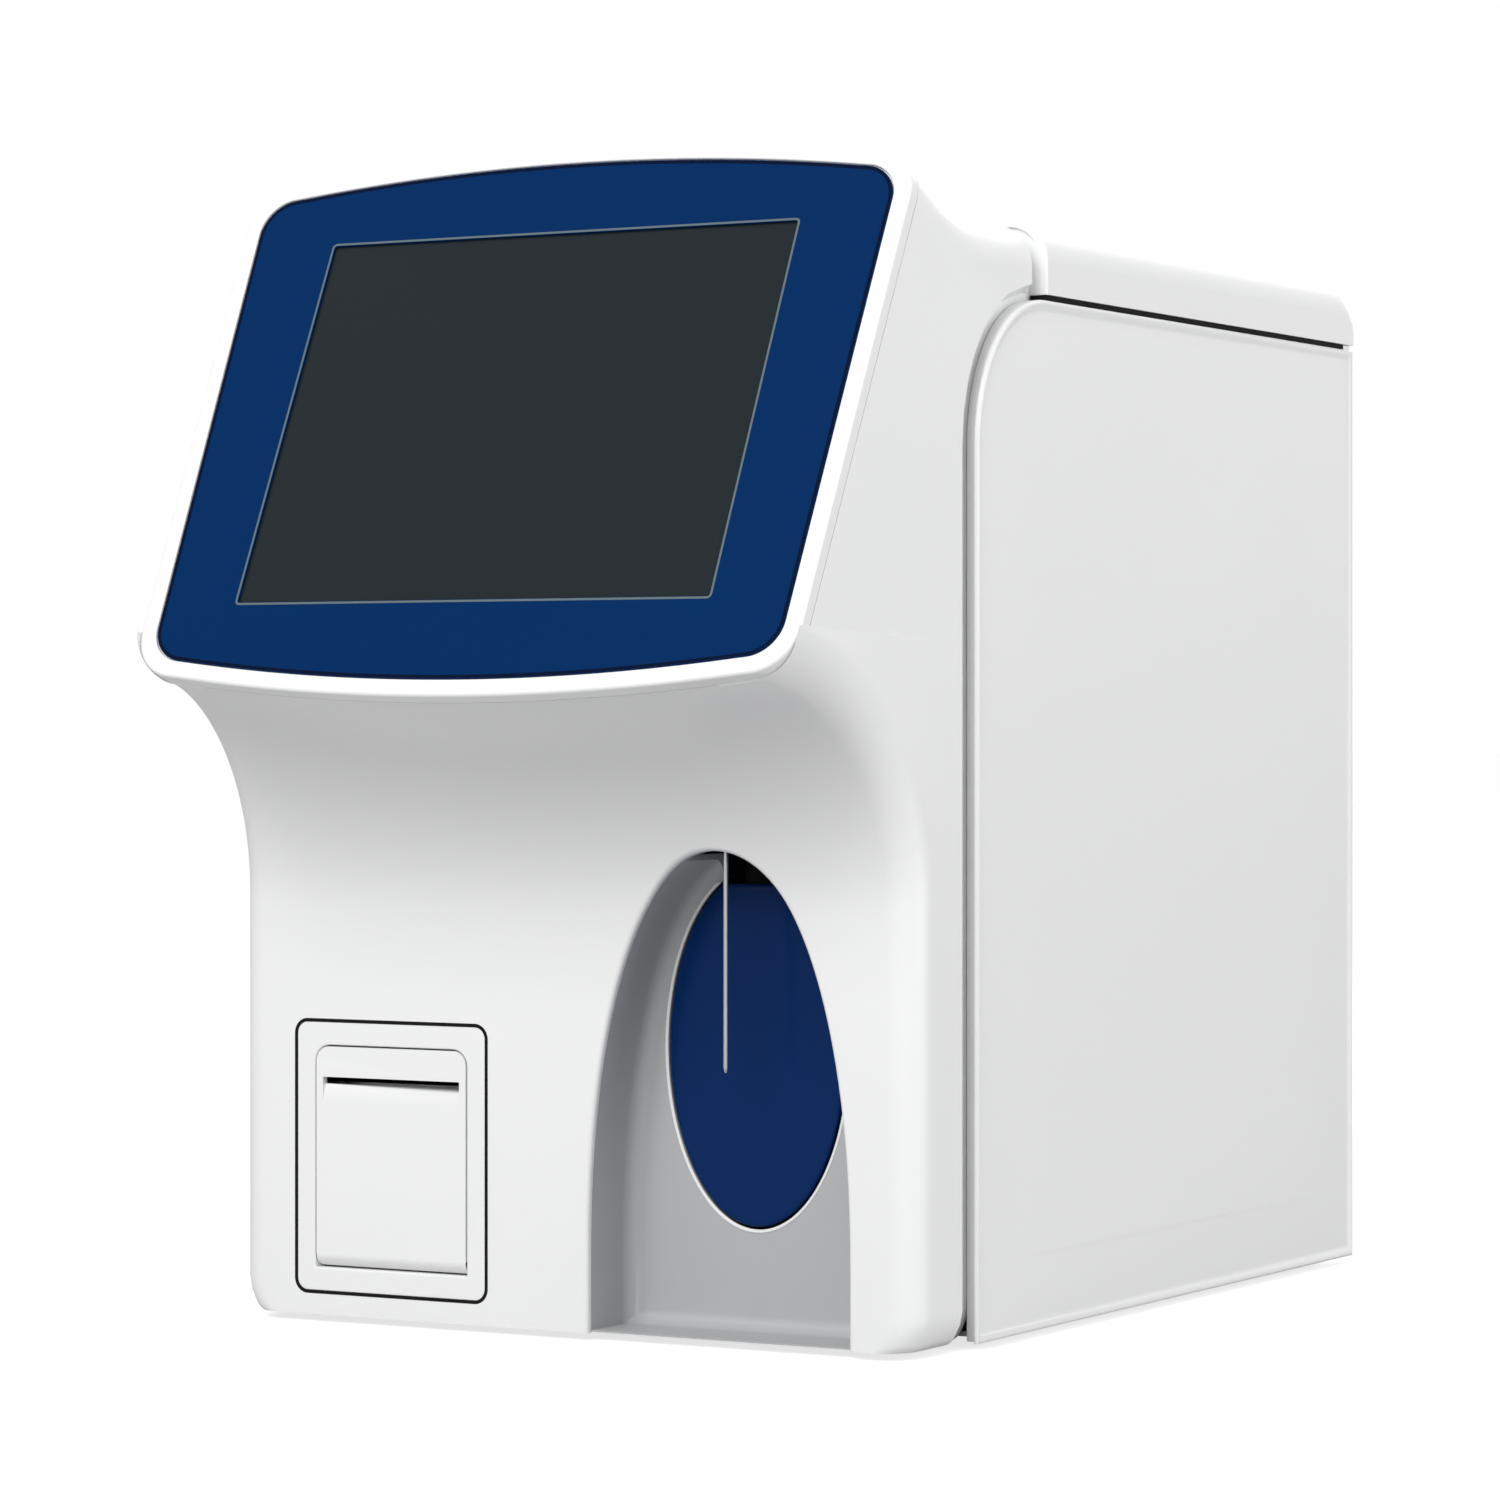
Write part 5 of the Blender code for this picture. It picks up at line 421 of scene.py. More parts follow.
class Piece:
    """One piece in the making: a bmesh in the body's own coordinates, finished as an object that rides."""

    def __init__(self, name: str) -> None:
        """Start an empty piece.

        Args:
            name: the piece's name.
        """
        self.name = name
        self.bm = bmesh.new()
        self.thing: bpy.types.Object | None = None

    def loft(
        self, rows: Sequence[Sequence[Vector]], closed: bool = True, caps: bool = False, ring: bool = False
    ) -> "Piece":
        """Draw a first row and extrude it through the others.

        Args:
            rows: rows of as many points each.
            closed: whether each row closes on itself.
            caps: whether the first and last row are filled.
            ring: whether the last row joins the first.

        Returns:
            The piece.
        """
        bm = self.bm
        first = [bmesh.ops.create_vert(bm, co=point)["vert"][0] for point in rows[0]]
        pairs = list(zip(first, first[1:])) + ([(first[-1], first[0])] if closed else [])
        edges = [bm.edges.new(pair) for pair in pairs]
        start_edges, row = edges, first
        for points in list(rows[1:]) + ([rows[0]] if ring else []):
            made = bmesh.ops.extrude_edge_only(bm, edges=edges)["geom"]
            fresh = {item for item in made if isinstance(item, bmesh.types.BMVert)}
            step = [next(e.other_vert(v) for e in v.link_edges if e.other_vert(v) in fresh) for v in row]
            for vert, point in zip(step, points):
                vert.co = point
            row = step
            edges = [bm.edges.get(pair) for pair in zip(row, row[1:])]
            if closed:
                edges.append(bm.edges.get((row[-1], row[0])))
        if ring:
            bmesh.ops.remove_doubles(bm, verts=first + row, dist=MERGE_DISTANCE / 10)
        if caps:
            for loop in (start_edges, edges):
                bmesh.ops.edgeloop_fill(bm, edges=loop)
        return self

    def slab(self, outline: Sequence[Point], y_front: float, y_back: float) -> "Piece":
        """An outline in X and Z pushed from one depth to another."""
        return self.loft([upright(outline, y_front), upright(outline, y_back)], caps=True)

    def block(self, low: Sequence[float], high: Sequence[float], soft: float = 0.0) -> "Piece":
        """A block with softened edges.

        Args:
            low: its lowest corner.
            high: its highest corner.
            soft: how far its edges are rounded.

        Returns:
            The piece.
        """
        size = [b - a for a, b in zip(low, high)]
        middle = [(a + b) / 2 for a, b in zip(low, high)]
        matrix = Matrix.Translation(middle) @ Matrix.Diagonal((*size, 1.0))
        made = bmesh.ops.create_cube(self.bm, size=1.0, matrix=matrix)
        if soft > 0.0:
            edges = list({edge for vert in made["verts"] for edge in vert.link_edges})
            bmesh.ops.bevel(
                self.bm, geom=edges, offset=soft, segments=EDGE_SEGMENTS, profile=0.5, affect="EDGES", material=-1
            )
        return self

    def turned(self, profile: Sequence[Point], base: Sequence[float], axis: str, steps: int = 64) -> "Piece":
        """A profile of radius and height spun about an axis.

        Args:
            profile: radius and height of each point, from the foot up.
            base: where the axis starts.
            axis: X, Y or Z.
            steps: how many steps the turn has.

        Returns:
            The piece.
        """
        bm = self.bm
        verts = [bmesh.ops.create_vert(bm, co=(radius, 0.0, height))["vert"][0] for radius, height in profile]
        edges = [bm.edges.new(pair) for pair in zip(verts, verts[1:])]
        made = bmesh.ops.spin(
            bm, geom=verts + edges, cent=(0, 0, 0), axis=(0, 0, 1), angle=math.tau, steps=steps, use_merge=True
        )
        ends = [item for item in made["geom_last"] if isinstance(item, bmesh.types.BMVert)]
        ends += [vert for vert in verts if vert.is_valid]
        whole = {vert for end in ends for vert in self._island(end)}
        bmesh.ops.remove_doubles(bm, verts=list(whole), dist=MERGE_DISTANCE)
        whole = {vert for vert in whole if vert.is_valid}
        right = math.pi / 2
        turns = {"X": Matrix.Rotation(right, 4, "Y"), "Y": Matrix.Rotation(-right, 4, "X"), "Z": Matrix()}
        bmesh.ops.transform(bm, matrix=Matrix.Translation(base) @ turns[axis], verts=list(whole))
        return self

    @staticmethod
    def _island(start: bmesh.types.BMVert) -> set[bmesh.types.BMVert]:
        """All vertices joined to one.

        Args:
            start: the vertex to start from.

        Returns:
            The vertices, with the first.
        """
        seen, todo = {start}, [start]
        while todo:
            for edge in todo.pop().link_edges:
                for vert in edge.verts:
                    if vert not in seen:
                        seen.add(vert)
                        todo.append(vert)
        return seen

    def rod(
        self, base: Sequence[float], axis: str, length: float, radius: float, soft: float = 0.0, steps: int = ROD_STEPS
    ) -> "Piece":
        """A rod with softened ends.

        Args:
            base: the middle of its first end.
            axis: X, Y or Z.
            length: its length.
            radius: its radius.
            soft: how far its ends are rounded, or nothing for a share of its size.
            steps: how many steps the turn has.

        Returns:
            The piece.
        """
        soft = soft or min(radius, length) * ROD_SOFT_SHARE
        rim = arc((radius - soft, soft), soft, -math.pi / 2, 0.0, 3)
        top = arc((radius - soft, length - soft), soft, 0.0, math.pi / 2, 3)
        return self.turned([(0.0, 0.0)] + rim + top + [(0.0, length)], base, axis, steps)

    def link(self) -> bpy.types.Object:
        """Turn the bmesh into an object at the origin, in the frame's coordinates.

        Returns:
            The object.
        """
        bmesh.ops.recalc_face_normals(self.bm, faces=self.bm.faces)
        bmesh.ops.translate(self.bm, verts=self.bm.verts, vec=SHIFT)
        mesh = bpy.data.meshes.new(self.name)
        self.bm.to_mesh(mesh)
        self.bm.free()
        self.thing = bpy.data.objects.new(self.name, mesh)
        bpy.context.scene.collection.objects.link(self.thing)
        return self.thing

    def cut(self, *cutters: "Piece", operation: str = "DIFFERENCE", crossing: bool = False) -> "Piece":
        """Cut other pieces out of this one, or join them to it, and drop them.

        Args:
            cutters: the pieces that cut.
            operation: DIFFERENCE, UNION or INTERSECT.
            crossing: whether this piece's own wall may cross itself in tight corners.

        Returns:
            The piece.
        """
        thing = self.thing or self.link()
        for cutter in cutters:
            tool = cutter.thing or cutter.link()
            modifier = thing.modifiers.new(cutter.name, "BOOLEAN")
            modifier.operation = operation
            modifier.solver = "EXACT"
            modifier.use_self = crossing
            modifier.object = tool
            bake(thing)
            bpy.data.objects.remove(tool, do_unlink=True)
        return self

    def finish(
        self, finish: Finish, body: str = "case", replaces: Sequence[str] = (), soft: float = 0.0,
        angle: float = 32.0, weighted: bool = True, material: str = "",
    ) -> bpy.types.Object:
        """Smooth, dress and mount the piece.

        Args:
            finish: the finish of its surface.
            body: the body that it rides on.
            replaces: CAD nodes that it stands for.
            soft: width of a bevel along its hard edges.
            angle: edges sharper than this stay hard, in degrees.
            weighted: whether large faces keep their own normals.
            material: a name for a material of its own.

        Returns:
            The finished object.
        """
        thing = self.thing or self.link()
        thing.data.materials.clear()
        thing.data.materials.append(finish.material(material))
        for face in thing.data.polygons:
            face.material_index = 0
        thing.data.shade_smooth()
        thing.data.set_sharp_from_angle(angle=math.radians(angle))
        if soft > 0.0:
            bevel = thing.modifiers.new("soft_edges", "BEVEL")
            bevel.width = soft
            bevel.segments = EDGE_SEGMENTS
            bevel.limit_method = "ANGLE"
            bevel.angle_limit = math.radians(angle)
            bevel.harden_normals = False
        if weighted:
            normals = thing.modifiers.new("even_normals", "WEIGHTED_NORMAL")
            normals.keep_sharp = True
        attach(thing, body)
        if replaces:
            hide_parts(*replaces)
        log.info("%s: %d faces, rides on %s", self.name, len(thing.data.polygons), body)
        return thing


@dataclass
class FrontShape:
    """The moulded front's shape: flat foot, neck that sweeps out, tilted screen frame and hood.

    foot_rounding gives the foot's rows as shares of the corner's radius: how high, and how far set in.
    """

    half_width: float = 0.155
    corner_radius: float = 0.013
    neck_base_z: float = 0.165
    shoulder_z: float = 0.432
    hood_run: float = 0.046
    reveal_width: float = 0.0065
    reveal_depth: float = 0.0048
    reveal_run: float = 0.0035
    flange_length: float = 0.014
    tilt: float = math.radians(25.04)
    centre_y: float = -0.03634
    centre_z: float = 0.35547
    overlay_half_width: float = 0.142
    overlay_lean: float = 0.024
    overlay_top: float = 0.1105
    overlay_bottom: float = -0.1123
    bow_radius: float = 0.94
    ring_width: float = 0.0075
    ring_radius: float = 0.020
    ring_thickness: float = 0.006
    panel_front_y: float = 0.044
    panel_radius: float = 0.060
    cover_front_y: float = 0.1035
    cover_radius: float = 0.017
    foot_rounding: tuple[Point, ...] = ((0.0, 0.5), (0.1, 0.36), (0.2, 0.28), (0.35, 0.2), (0.6, 0.08), (1.0, 0.0))
    bow_steps: int = 36
    corner_rounds: int = 4
    corner_steps: int = 16
    side_steps: int = 10
    neck_steps: int = 44
    plane_steps: int = 10
    hood_steps: int = 30

    def __post_init__(self) -> None:
        """Work out the places that the sections start from."""
        self.ring_back = -(self.ring_thickness + FIT_GAP)
        self.neck_end = self.on_screen(0.0, self.overlay_bottom - self.ring_width, self.ring_back)
        self.neck_rise = self.neck_end.z - self.neck_base_z
        self.shoulder_front_y = self.cover_front_y - self.reveal_width
        self.shoulder = (self.panel_front_y + self.panel_radius, PANEL_TOP_Z - self.panel_radius)
        self.reveal_radius = self.panel_radius + self.reveal_width
        self.shoulder_end = math.acos((self.shoulder_front_y - self.shoulder[0]) / self.reveal_radius)
        self.flange_half_width = self.half_width - self.reveal_depth

    def on_screen(self, s: float, t: float, n: float = 0.0) -> Vector:
        """A point given from the screen's middle.

        Args:
            s: how far across.
            t: how far up in the screen plane.
            n: how far out of the screen plane.

        Returns:
            The point.
        """
        up = Vector((0.0, math.sin(self.tilt), math.cos(self.tilt)))
        out = Vector((0.0, -math.cos(self.tilt), math.sin(self.tilt)))
        return Vector((s, self.centre_y, self.centre_z)) + up * t + out * n

    def bow_drop(self, s: float) -> float:
        """How far the bowed top or bottom edge falls away from its middle."""
        return self.bow_radius - math.sqrt(self.bow_radius**2 - s**2)

    def half_width_at(self, t: float, grow: float) -> float:
        """Half width of the blue panel at height t, grown by a margin."""
        return self.overlay_half_width + self.overlay_lean * t + grow

    def neck_front(self, z: float) -> float:
        """Depth of the outer face on its centre line."""
        share = max(0.0, (z - self.neck_base_z) / self.neck_rise)
        return self.neck_end.y * (1.0 - math.sqrt(max(0.0, 1.0 - share**2)))

    def screen_corner(self, side: int, grow: float, radius: float) -> list[Point]:
        """Round corner from the bowed edge to the leaning side.

        Args:
            side: 1 for the top, -1 for below.
            grow: margin round the blue panel.
            radius: the corner's radius.

        Returns:
            The corner's points, from the edge to the side.
        """
        edge = (self.overlay_top if side > 0 else self.overlay_bottom) + side * grow
        t = edge
        for _ in range(self.corner_rounds):
            s = self.half_width_at(t, grow)
            t = edge - side * self.bow_drop(s)
        along = Vector((-1.0, side * s / self.bow_radius)).normalized()
        down = Vector((-side * self.overlay_lean, -side)).normalized()
        opening = along.angle(down)
        reach = radius / math.tan(opening / 2)
        middle = Vector((s, t)) + (along + down).normalized() * radius / math.sin(opening / 2)
        first = Vector((s, t)) + along * reach - middle
        last = Vector((s, t)) + down * reach - middle
        start = math.atan2(first.y, first.x)
        sweep = (math.atan2(last.y, last.x) - start + math.pi) % math.tau - math.pi
        return arc(middle, radius, start, start + sweep, self.corner_steps)

    def screen_edge(self, side: int, grow: float, radius: float) -> list[Point]:
        """Half of a bowed edge, from its middle out, and the corner after it.

        Args:
            side: 1 for the top, -1 for below.
            grow: margin round the blue panel.
            radius: the corner's radius.

        Returns:
            The points.
        """
        corner = self.screen_corner(side, grow, radius)
        edge = (self.overlay_top if side > 0 else self.overlay_bottom) + side * grow
        across = [corner[0][0] * index / self.bow_steps for index in range(self.bow_steps)]
        return [(s, edge - side * self.bow_drop(s)) for s in across] + corner

    def outline(self, grow: float, radius: float) -> list[Point]:
        """Whole outline of the blue panel.

        Args:
            grow: margin round it.
            radius: the corners' radius.

        Returns:
            The points, once round.
        """
        right = self.screen_edge(-1, grow, radius) + list(reversed(self.screen_edge(1, grow, radius)))
        left = [(-s, t) for s, t in reversed(right)]
        return right + left[1:-1]

    def plate(self, piece: Piece, outline: Sequence[Point], n_front: float, n_back: float) -> Piece:
        """Add a slab parallel to the screen to a piece.

        Args:
            piece: the piece to add to.
            outline: the slab's outline in the screen plane.
            n_front: height of its front over the screen plane.
            n_back: height of its back.

        Returns:
            The piece.
        """
        rows = [[self.on_screen(s, t, n) for s, t in outline] for n in (n_front, n_back)]
        return piece.loft(rows, caps=True)

    def band(self, piece: Piece, plan: Sequence[tuple[Sequence[Point], float]]) -> Piece:
        """Add a closed band parallel to the screen to a piece.

        Args:
            piece: the piece to add to.
            plan: outlines of as many points, with their heights over the screen plane.

        Returns:
            The piece.
        """
        rows = [[self.on_screen(s, t, n) for s, t in outline] for outline, n in plan]
        return piece.loft(rows, ring=True)

    def reveal_edge(self, travel: float) -> tuple[Vector, Vector]:
        """A place on the side edge, straight up and then round the shoulder.

        Args:
            travel: length along the edge from the foot.

        Returns:
            The point, and the direction back from it.
        """
        straight = self.shoulder[1]
        if travel <= straight:
            return Vector((0.0, self.panel_front_y - self.reveal_width, travel)), Vector((0.0, 1.0, 0.0))
        angle = math.pi - (travel - straight) / self.reveal_radius
        out = Vector((0.0, math.cos(angle), math.sin(angle)))
        return Vector((0.0, *self.shoulder)) + out * self.reveal_radius, -out

    def front_arc(
        self, middle: Vector, inward: Vector, crown: float, half_width: float, radius: float
    ) -> list[Vector]:
        """Half of a section's front: bowed across, then round the corner to the side.

        Args:
            middle: the point on the centre line.
            inward: the direction into the body.
            crown: how much of the screen's bow it has.
            half_width: how far out it reaches.
            radius: the corner's radius.

        Returns:
            The points, from the middle to the side.
        """
        flat = half_width - radius
        points = []
        for index in range(self.bow_steps + 1):
            x = flat * index / self.bow_steps
            points.append(middle + inward * crown * self.bow_drop(x) + Vector((x, 0.0, 0.0)))
        for index in range(1, self.corner_steps + 1):
            angle = math.pi / 2 * index / self.corner_steps
            depth = crown * self.bow_drop(flat) + radius * (1.0 - math.cos(angle))
            points.append(middle + inward * depth + Vector((flat + radius * math.sin(angle), 0.0, 0.0)))
        return points

    def section(
        self, front: list[Vector], travel: float, side_x: float, flange_x: float, shift: float = 0.0
    ) -> list[Vector]:
        """Add side, reveal and flange to half a front, and mirror it to a full row.

        Args:
            front: the front's points, from the middle out.
            travel: where the row meets the side edge.
            side_x: half width at the side edge.
            flange_x: half width of the flange.
            shift: how far the edge is moved back.

        Returns:
            The row, from the left flange to the right.
        """
        edge, back = self.reveal_edge(travel)
        edge = edge + Vector((side_x, shift, 0.0))
        half = list(front)
        for index in range(1, self.side_steps + 1):
            half.append(front[-1].lerp(edge, index / self.side_steps))
        flange = Vector((flange_x, edge.y, edge.z))
        half += [flange + back * self.reveal_run, flange + back * self.flange_length]
        return [Vector((-point.x, point.y, point.z)) for point in reversed(half)][:-1] + half

    def frame_edge(self, side: int) -> list[Vector]:
        """Half of the screen frame's bowed edge at the ring's back, at the top for 1 and below for -1."""
        edge = self.screen_edge(side, self.ring_width, self.ring_radius)
        return [self.on_screen(s, t, self.ring_back) for s, t in edge]

    def rows(self) -> list[list[Vector]]:
        """Sections of the outer skin, from the foot over the screen to the cover.

        Returns:
            The rows, each from the left flange to the right.
        """
        low_edge, high_edge = self.frame_edge(-1), self.frame_edge(1)
        low, high, hood = low_edge[-1], high_edge[-1], high_edge[0]
        last = self.shoulder[1] + (math.pi - self.shoulder_end) * self.reveal_radius
        hood_travel = self.shoulder[1] + (last - self.shoulder[1]) / 2
        rows = self.foot_rows() + self.neck_rows(low_edge)
        rows.append(self.section(low_edge, low.z, self.half_width, self.flange_half_width))
        rows += self.head_rows(low, high, hood_travel, len(low_edge) - 1)
        rows.append(self.section(high_edge, hood_travel, self.half_width, self.flange_half_width))
        return rows + self.hood_rows(hood, high.x, hood_travel, last) + self.cover_rows(last)

    def foot_rows(self) -> list[list[Vector]]:
        """Rows that round the foot off.

        Returns:
            The rows, from below.
        """
        rows = []
        for rise_share, inset_share in self.foot_rounding:
            z = self.corner_radius * rise_share
            half_width = self.half_width - self.corner_radius * inset_share
            front = self.front_arc(UP * z, BACK, 0.0, half_width, self.corner_radius)
            rows.append(self.section(front, z, half_width, half_width - self.reveal_depth))
        return rows

    def neck_rows(self, low_edge: list[Vector]) -> list[list[Vector]]:
        """Rows of the quarter ellipse from the flat face to the screen frame.

        Args:
            low_edge: half of the frame's lower edge.

        Returns:
            The rows, from below.
        """
        rows = []
        width = self.half_width
        for index in range(self.neck_steps):
            share = index / self.neck_steps
            angle = math.pi / 2 * share
            height = self.neck_base_z + self.neck_rise * math.sin(angle)
            middle = Vector((0.0, self.neck_end.y * (1.0 - math.cos(angle)), height))
            inward = Vector((0.0, self.neck_rise * math.cos(angle), -self.neck_end.y * math.sin(angle)))
            inward.normalize()
            radius = self.corner_radius + (self.ring_radius - self.corner_radius) * share
            half_width = width + (low_edge[-1].x - width) * share**2
            front = self.front_arc(middle, inward, share**2, half_width, radius)
            travel = self.neck_base_z + (low_edge[-1].z - self.neck_base_z) * share
            rows.append(self.section(front, travel, width, self.flange_half_width))
        return rows

    def head_rows(self, low: Vector, high: Vector, hood_travel: float, across: int) -> list[list[Vector]]:
        """Rows behind the screen, between its lower and its upper edge.

        Args:
            low: the lower edge's end at the side.
            high: the upper edge's end at the side.
            hood_travel: where the upper edge's row meets the side edge.
            across: how many steps a half row has.

        Returns:
            The rows, from below.
        """
        rows = []
        for index in range(1, self.plane_steps):
            share = index / self.plane_steps
            side = low.lerp(high, share)
            front = [Vector((side.x * step / across, side.y, side.z)) for step in range(across + 1)]
            travel = low.z + (hood_travel - low.z) * share
            rows.append(self.section(front, travel, self.half_width, self.flange_half_width))
        return rows

    def hood_rows(self, hood: Vector, high_x: float, hood_travel: float, last: float) -> list[list[Vector]]:
        """Rows of the hood, from the screen's upper edge back to the cover.

        Args:
            hood: the upper edge's middle.
            high_x: half width of the upper edge.
            hood_travel: where the upper edge's row meets the side edge.
            last: where the last row meets it.

        Returns:
            The rows, from the front.
        """
        rows = []
        width = self.half_width
        for index in range(1, self.hood_steps + 1):
            share = index / self.hood_steps
            height = self.shoulder_z + (hood.z - self.shoulder_z) * (1.0 - share) ** 2
            middle = Vector((0.0, hood.y + self.hood_run * share, height))
            lean = self.tilt * (1.0 - share)
            inward = Vector((0.0, -math.sin(lean), -math.cos(lean)))
            radius = self.ring_radius + (self.cover_radius - self.ring_radius) * share
            half_width = high_x + (width - high_x) * share
            front = self.front_arc(middle, inward, (1.0 - share) ** 2, half_width, radius)
            reach = share * self.hood_run / (self.shoulder_front_y - hood.y)
            rows.append(self.section(front, hood_travel + (last - hood_travel) * reach, width, self.flange_half_width))
        return rows

    def cover_rows(self, last: float) -> list[list[Vector]]:
        """Rows of the shoulder's end, its reveal and the flange under the cover.

        Args:
            last: where they meet the side edge.

        Returns:
            The rows, from the front.
        """
        rows = []
        depth = self.reveal_depth
        for shift, inset in ((0.0, 0.0), (self.reveal_run, depth), (self.flange_length, depth)):
            middle = Vector((0.0, self.shoulder_front_y + shift, self.shoulder_z - inset))
            front = self.front_arc(middle, -UP, 0.0, self.half_width - inset, self.cover_radius - inset)
            rows.append(self.section(front, last, self.half_width - inset, self.flange_half_width, shift))
        return rows


FRONT = FrontShape()


@dataclass
class BayShape:
    """The arched sampling bay's shape, and that of the oval key in its back."""

    x: float = 0.0684
    half_width: float = 0.0576
    spring_z: float = 0.030
    rise: float = 0.158
    fullness: float = 2.15
    depth: float = 0.032
    wall: float = 0.002
    rim: float = 0.002
    key_half_width: float = 0.0388
    key_half_height: float = 0.069
    key_z: float = 0.1105
    key_gap: float = 0.0014
    sill_z: float = 0.1747
    steps: int = 72

    def outline(self, grow: float, bottom_z: float) -> list[Point]:
        """The arch, from its right foot over to its left foot.

        Args:
            grow: margin round it.
            bottom_z: height of its feet.

        Returns:
            The points.
        """
        power = 2.0 / self.fullness
        points = [(self.x + self.half_width + grow, bottom_z)]
        for index in range(self.steps + 1):
            angle = math.pi * index / self.steps
            across = abs(math.cos(angle)) ** power * (1 if angle < math.pi / 2 else -1)
            height = self.spring_z + (self.rise + grow) * math.sin(angle) ** power
            points.append((self.x + (self.half_width + grow) * across, height))
        return points + [(self.x - self.half_width - grow, bottom_z)]

    def key_outline(self, grow: float, top_z: float) -> list[Point]:
        """The oval of the key, cut level at its top.

        Args:
            grow: margin round it.
            top_z: height that it's cut at.

        Returns:
            The points, once round.
        """
        outline = []
        for index in range(2 * self.steps):
            angle = math.pi * index / self.steps
            x = self.x + (self.key_half_width + grow) * math.cos(angle)
            outline.append((x, min(self.key_z + (self.key_half_height + grow) * math.sin(angle), top_z)))
        return outline


BAY = BayShape()


@dataclass
class Housing:
    """The moulded front with its arch, its printer opening and its window."""

    printer_x: float = -0.08085
    printer_z: float = 0.0635
    opening_half_width: float = 0.04555
    opening_half_height: float = 0.0548
    opening_radius: float = 0.0058
    thin_share: float = 0.15
    thin_ramp: float = 0.07
    window_half_width: float = 0.2112 / 2 + 0.0154
    window_half_height: float = 0.1584 / 2 + 0.0118
    window_radius: float = 0.002
    rim_start: float = math.radians(14.0)
    rim_lead: float = 3.0
    rim_steps: int = 7

    def build(self) -> None:
        """Make the skin, give it its wall, soften its edges and cut it."""
        rows = FRONT.rows()
        skin = Piece("moulded_front").loft(rows, closed=False)
        thing = skin.link()
        share = thing.vertex_groups.new(name="wall_share")
        first = len(FRONT.foot_rounding) - 1 + FRONT.neck_steps
        last = first + FRONT.plane_steps + 1
        for vert in thing.data.vertices:
            row = vert.index // len(rows[0])
            away = max(0, first - row, row - last)
            share.add([vert.index], min(1.0, self.thin_share + self.thin_ramp * away), "REPLACE")
        wall = thing.modifiers.new("wall", "SOLIDIFY")
        wall.vertex_group = share.name
        wall.thickness = CASE_WALL
        wall.offset = -1.0
        wall.use_even_offset = False
        bake(thing)
        outline = rounded(self.window_half_width, self.window_half_height, self.window_radius)
        window = FRONT.plate(Piece("window"), outline, 0.0, -CUT_OVERRUN)
        arch = self.flared("arch", lambda grow: BAY.outline(grow, -CUT_OVERRUN), BAY.rim)
        outline = rounded(self.opening_half_width, self.opening_half_height, self.opening_radius)
        outline = moved(outline, self.printer_x, self.printer_z)
        hole = Piece("printer_hole").slab(outline, -CUT_OVERRUN, CUT_OVERRUN)
        skin.cut(window, arch, hole, crossing=True)
        skin.finish(Finishes.SHELL, replaces=("front_housing",))

    def flared(self, name: str, outline_at: Callable[[float], list[Point]], radius: float) -> Piece:
        """A cutter that leaves a rounded rim where it goes through the outer face.

        Args:
            name: the cutter's name.
            outline_at: gives the outline for a margin.
            radius: the rim's radius.

        Returns:
            The cutter.
        """
        rings = []
        for index in range(self.rim_steps + 1):
            angle = self.rim_start + (math.pi / 2 - self.rim_start) * index / self.rim_steps
            rings.append((radius * (1.0 - math.sin(angle)), radius * (1.0 - math.cos(angle))))
        (grow_a, depth_a), (grow_b, depth_b) = rings[0], rings[1]
        lead = self.rim_lead
        rings.insert(0, (grow_a + lead * (grow_a - grow_b), depth_a - lead * (depth_b - depth_a)))
        rings.append((0.0, CASE_WALL * 4))
        rows = [
            [Vector((x, FRONT.neck_front(z) + depth, z)) for x, z in outline_at(grow)] for grow, depth in rings
        ]
        return Piece(name).loft(rows, caps=True)


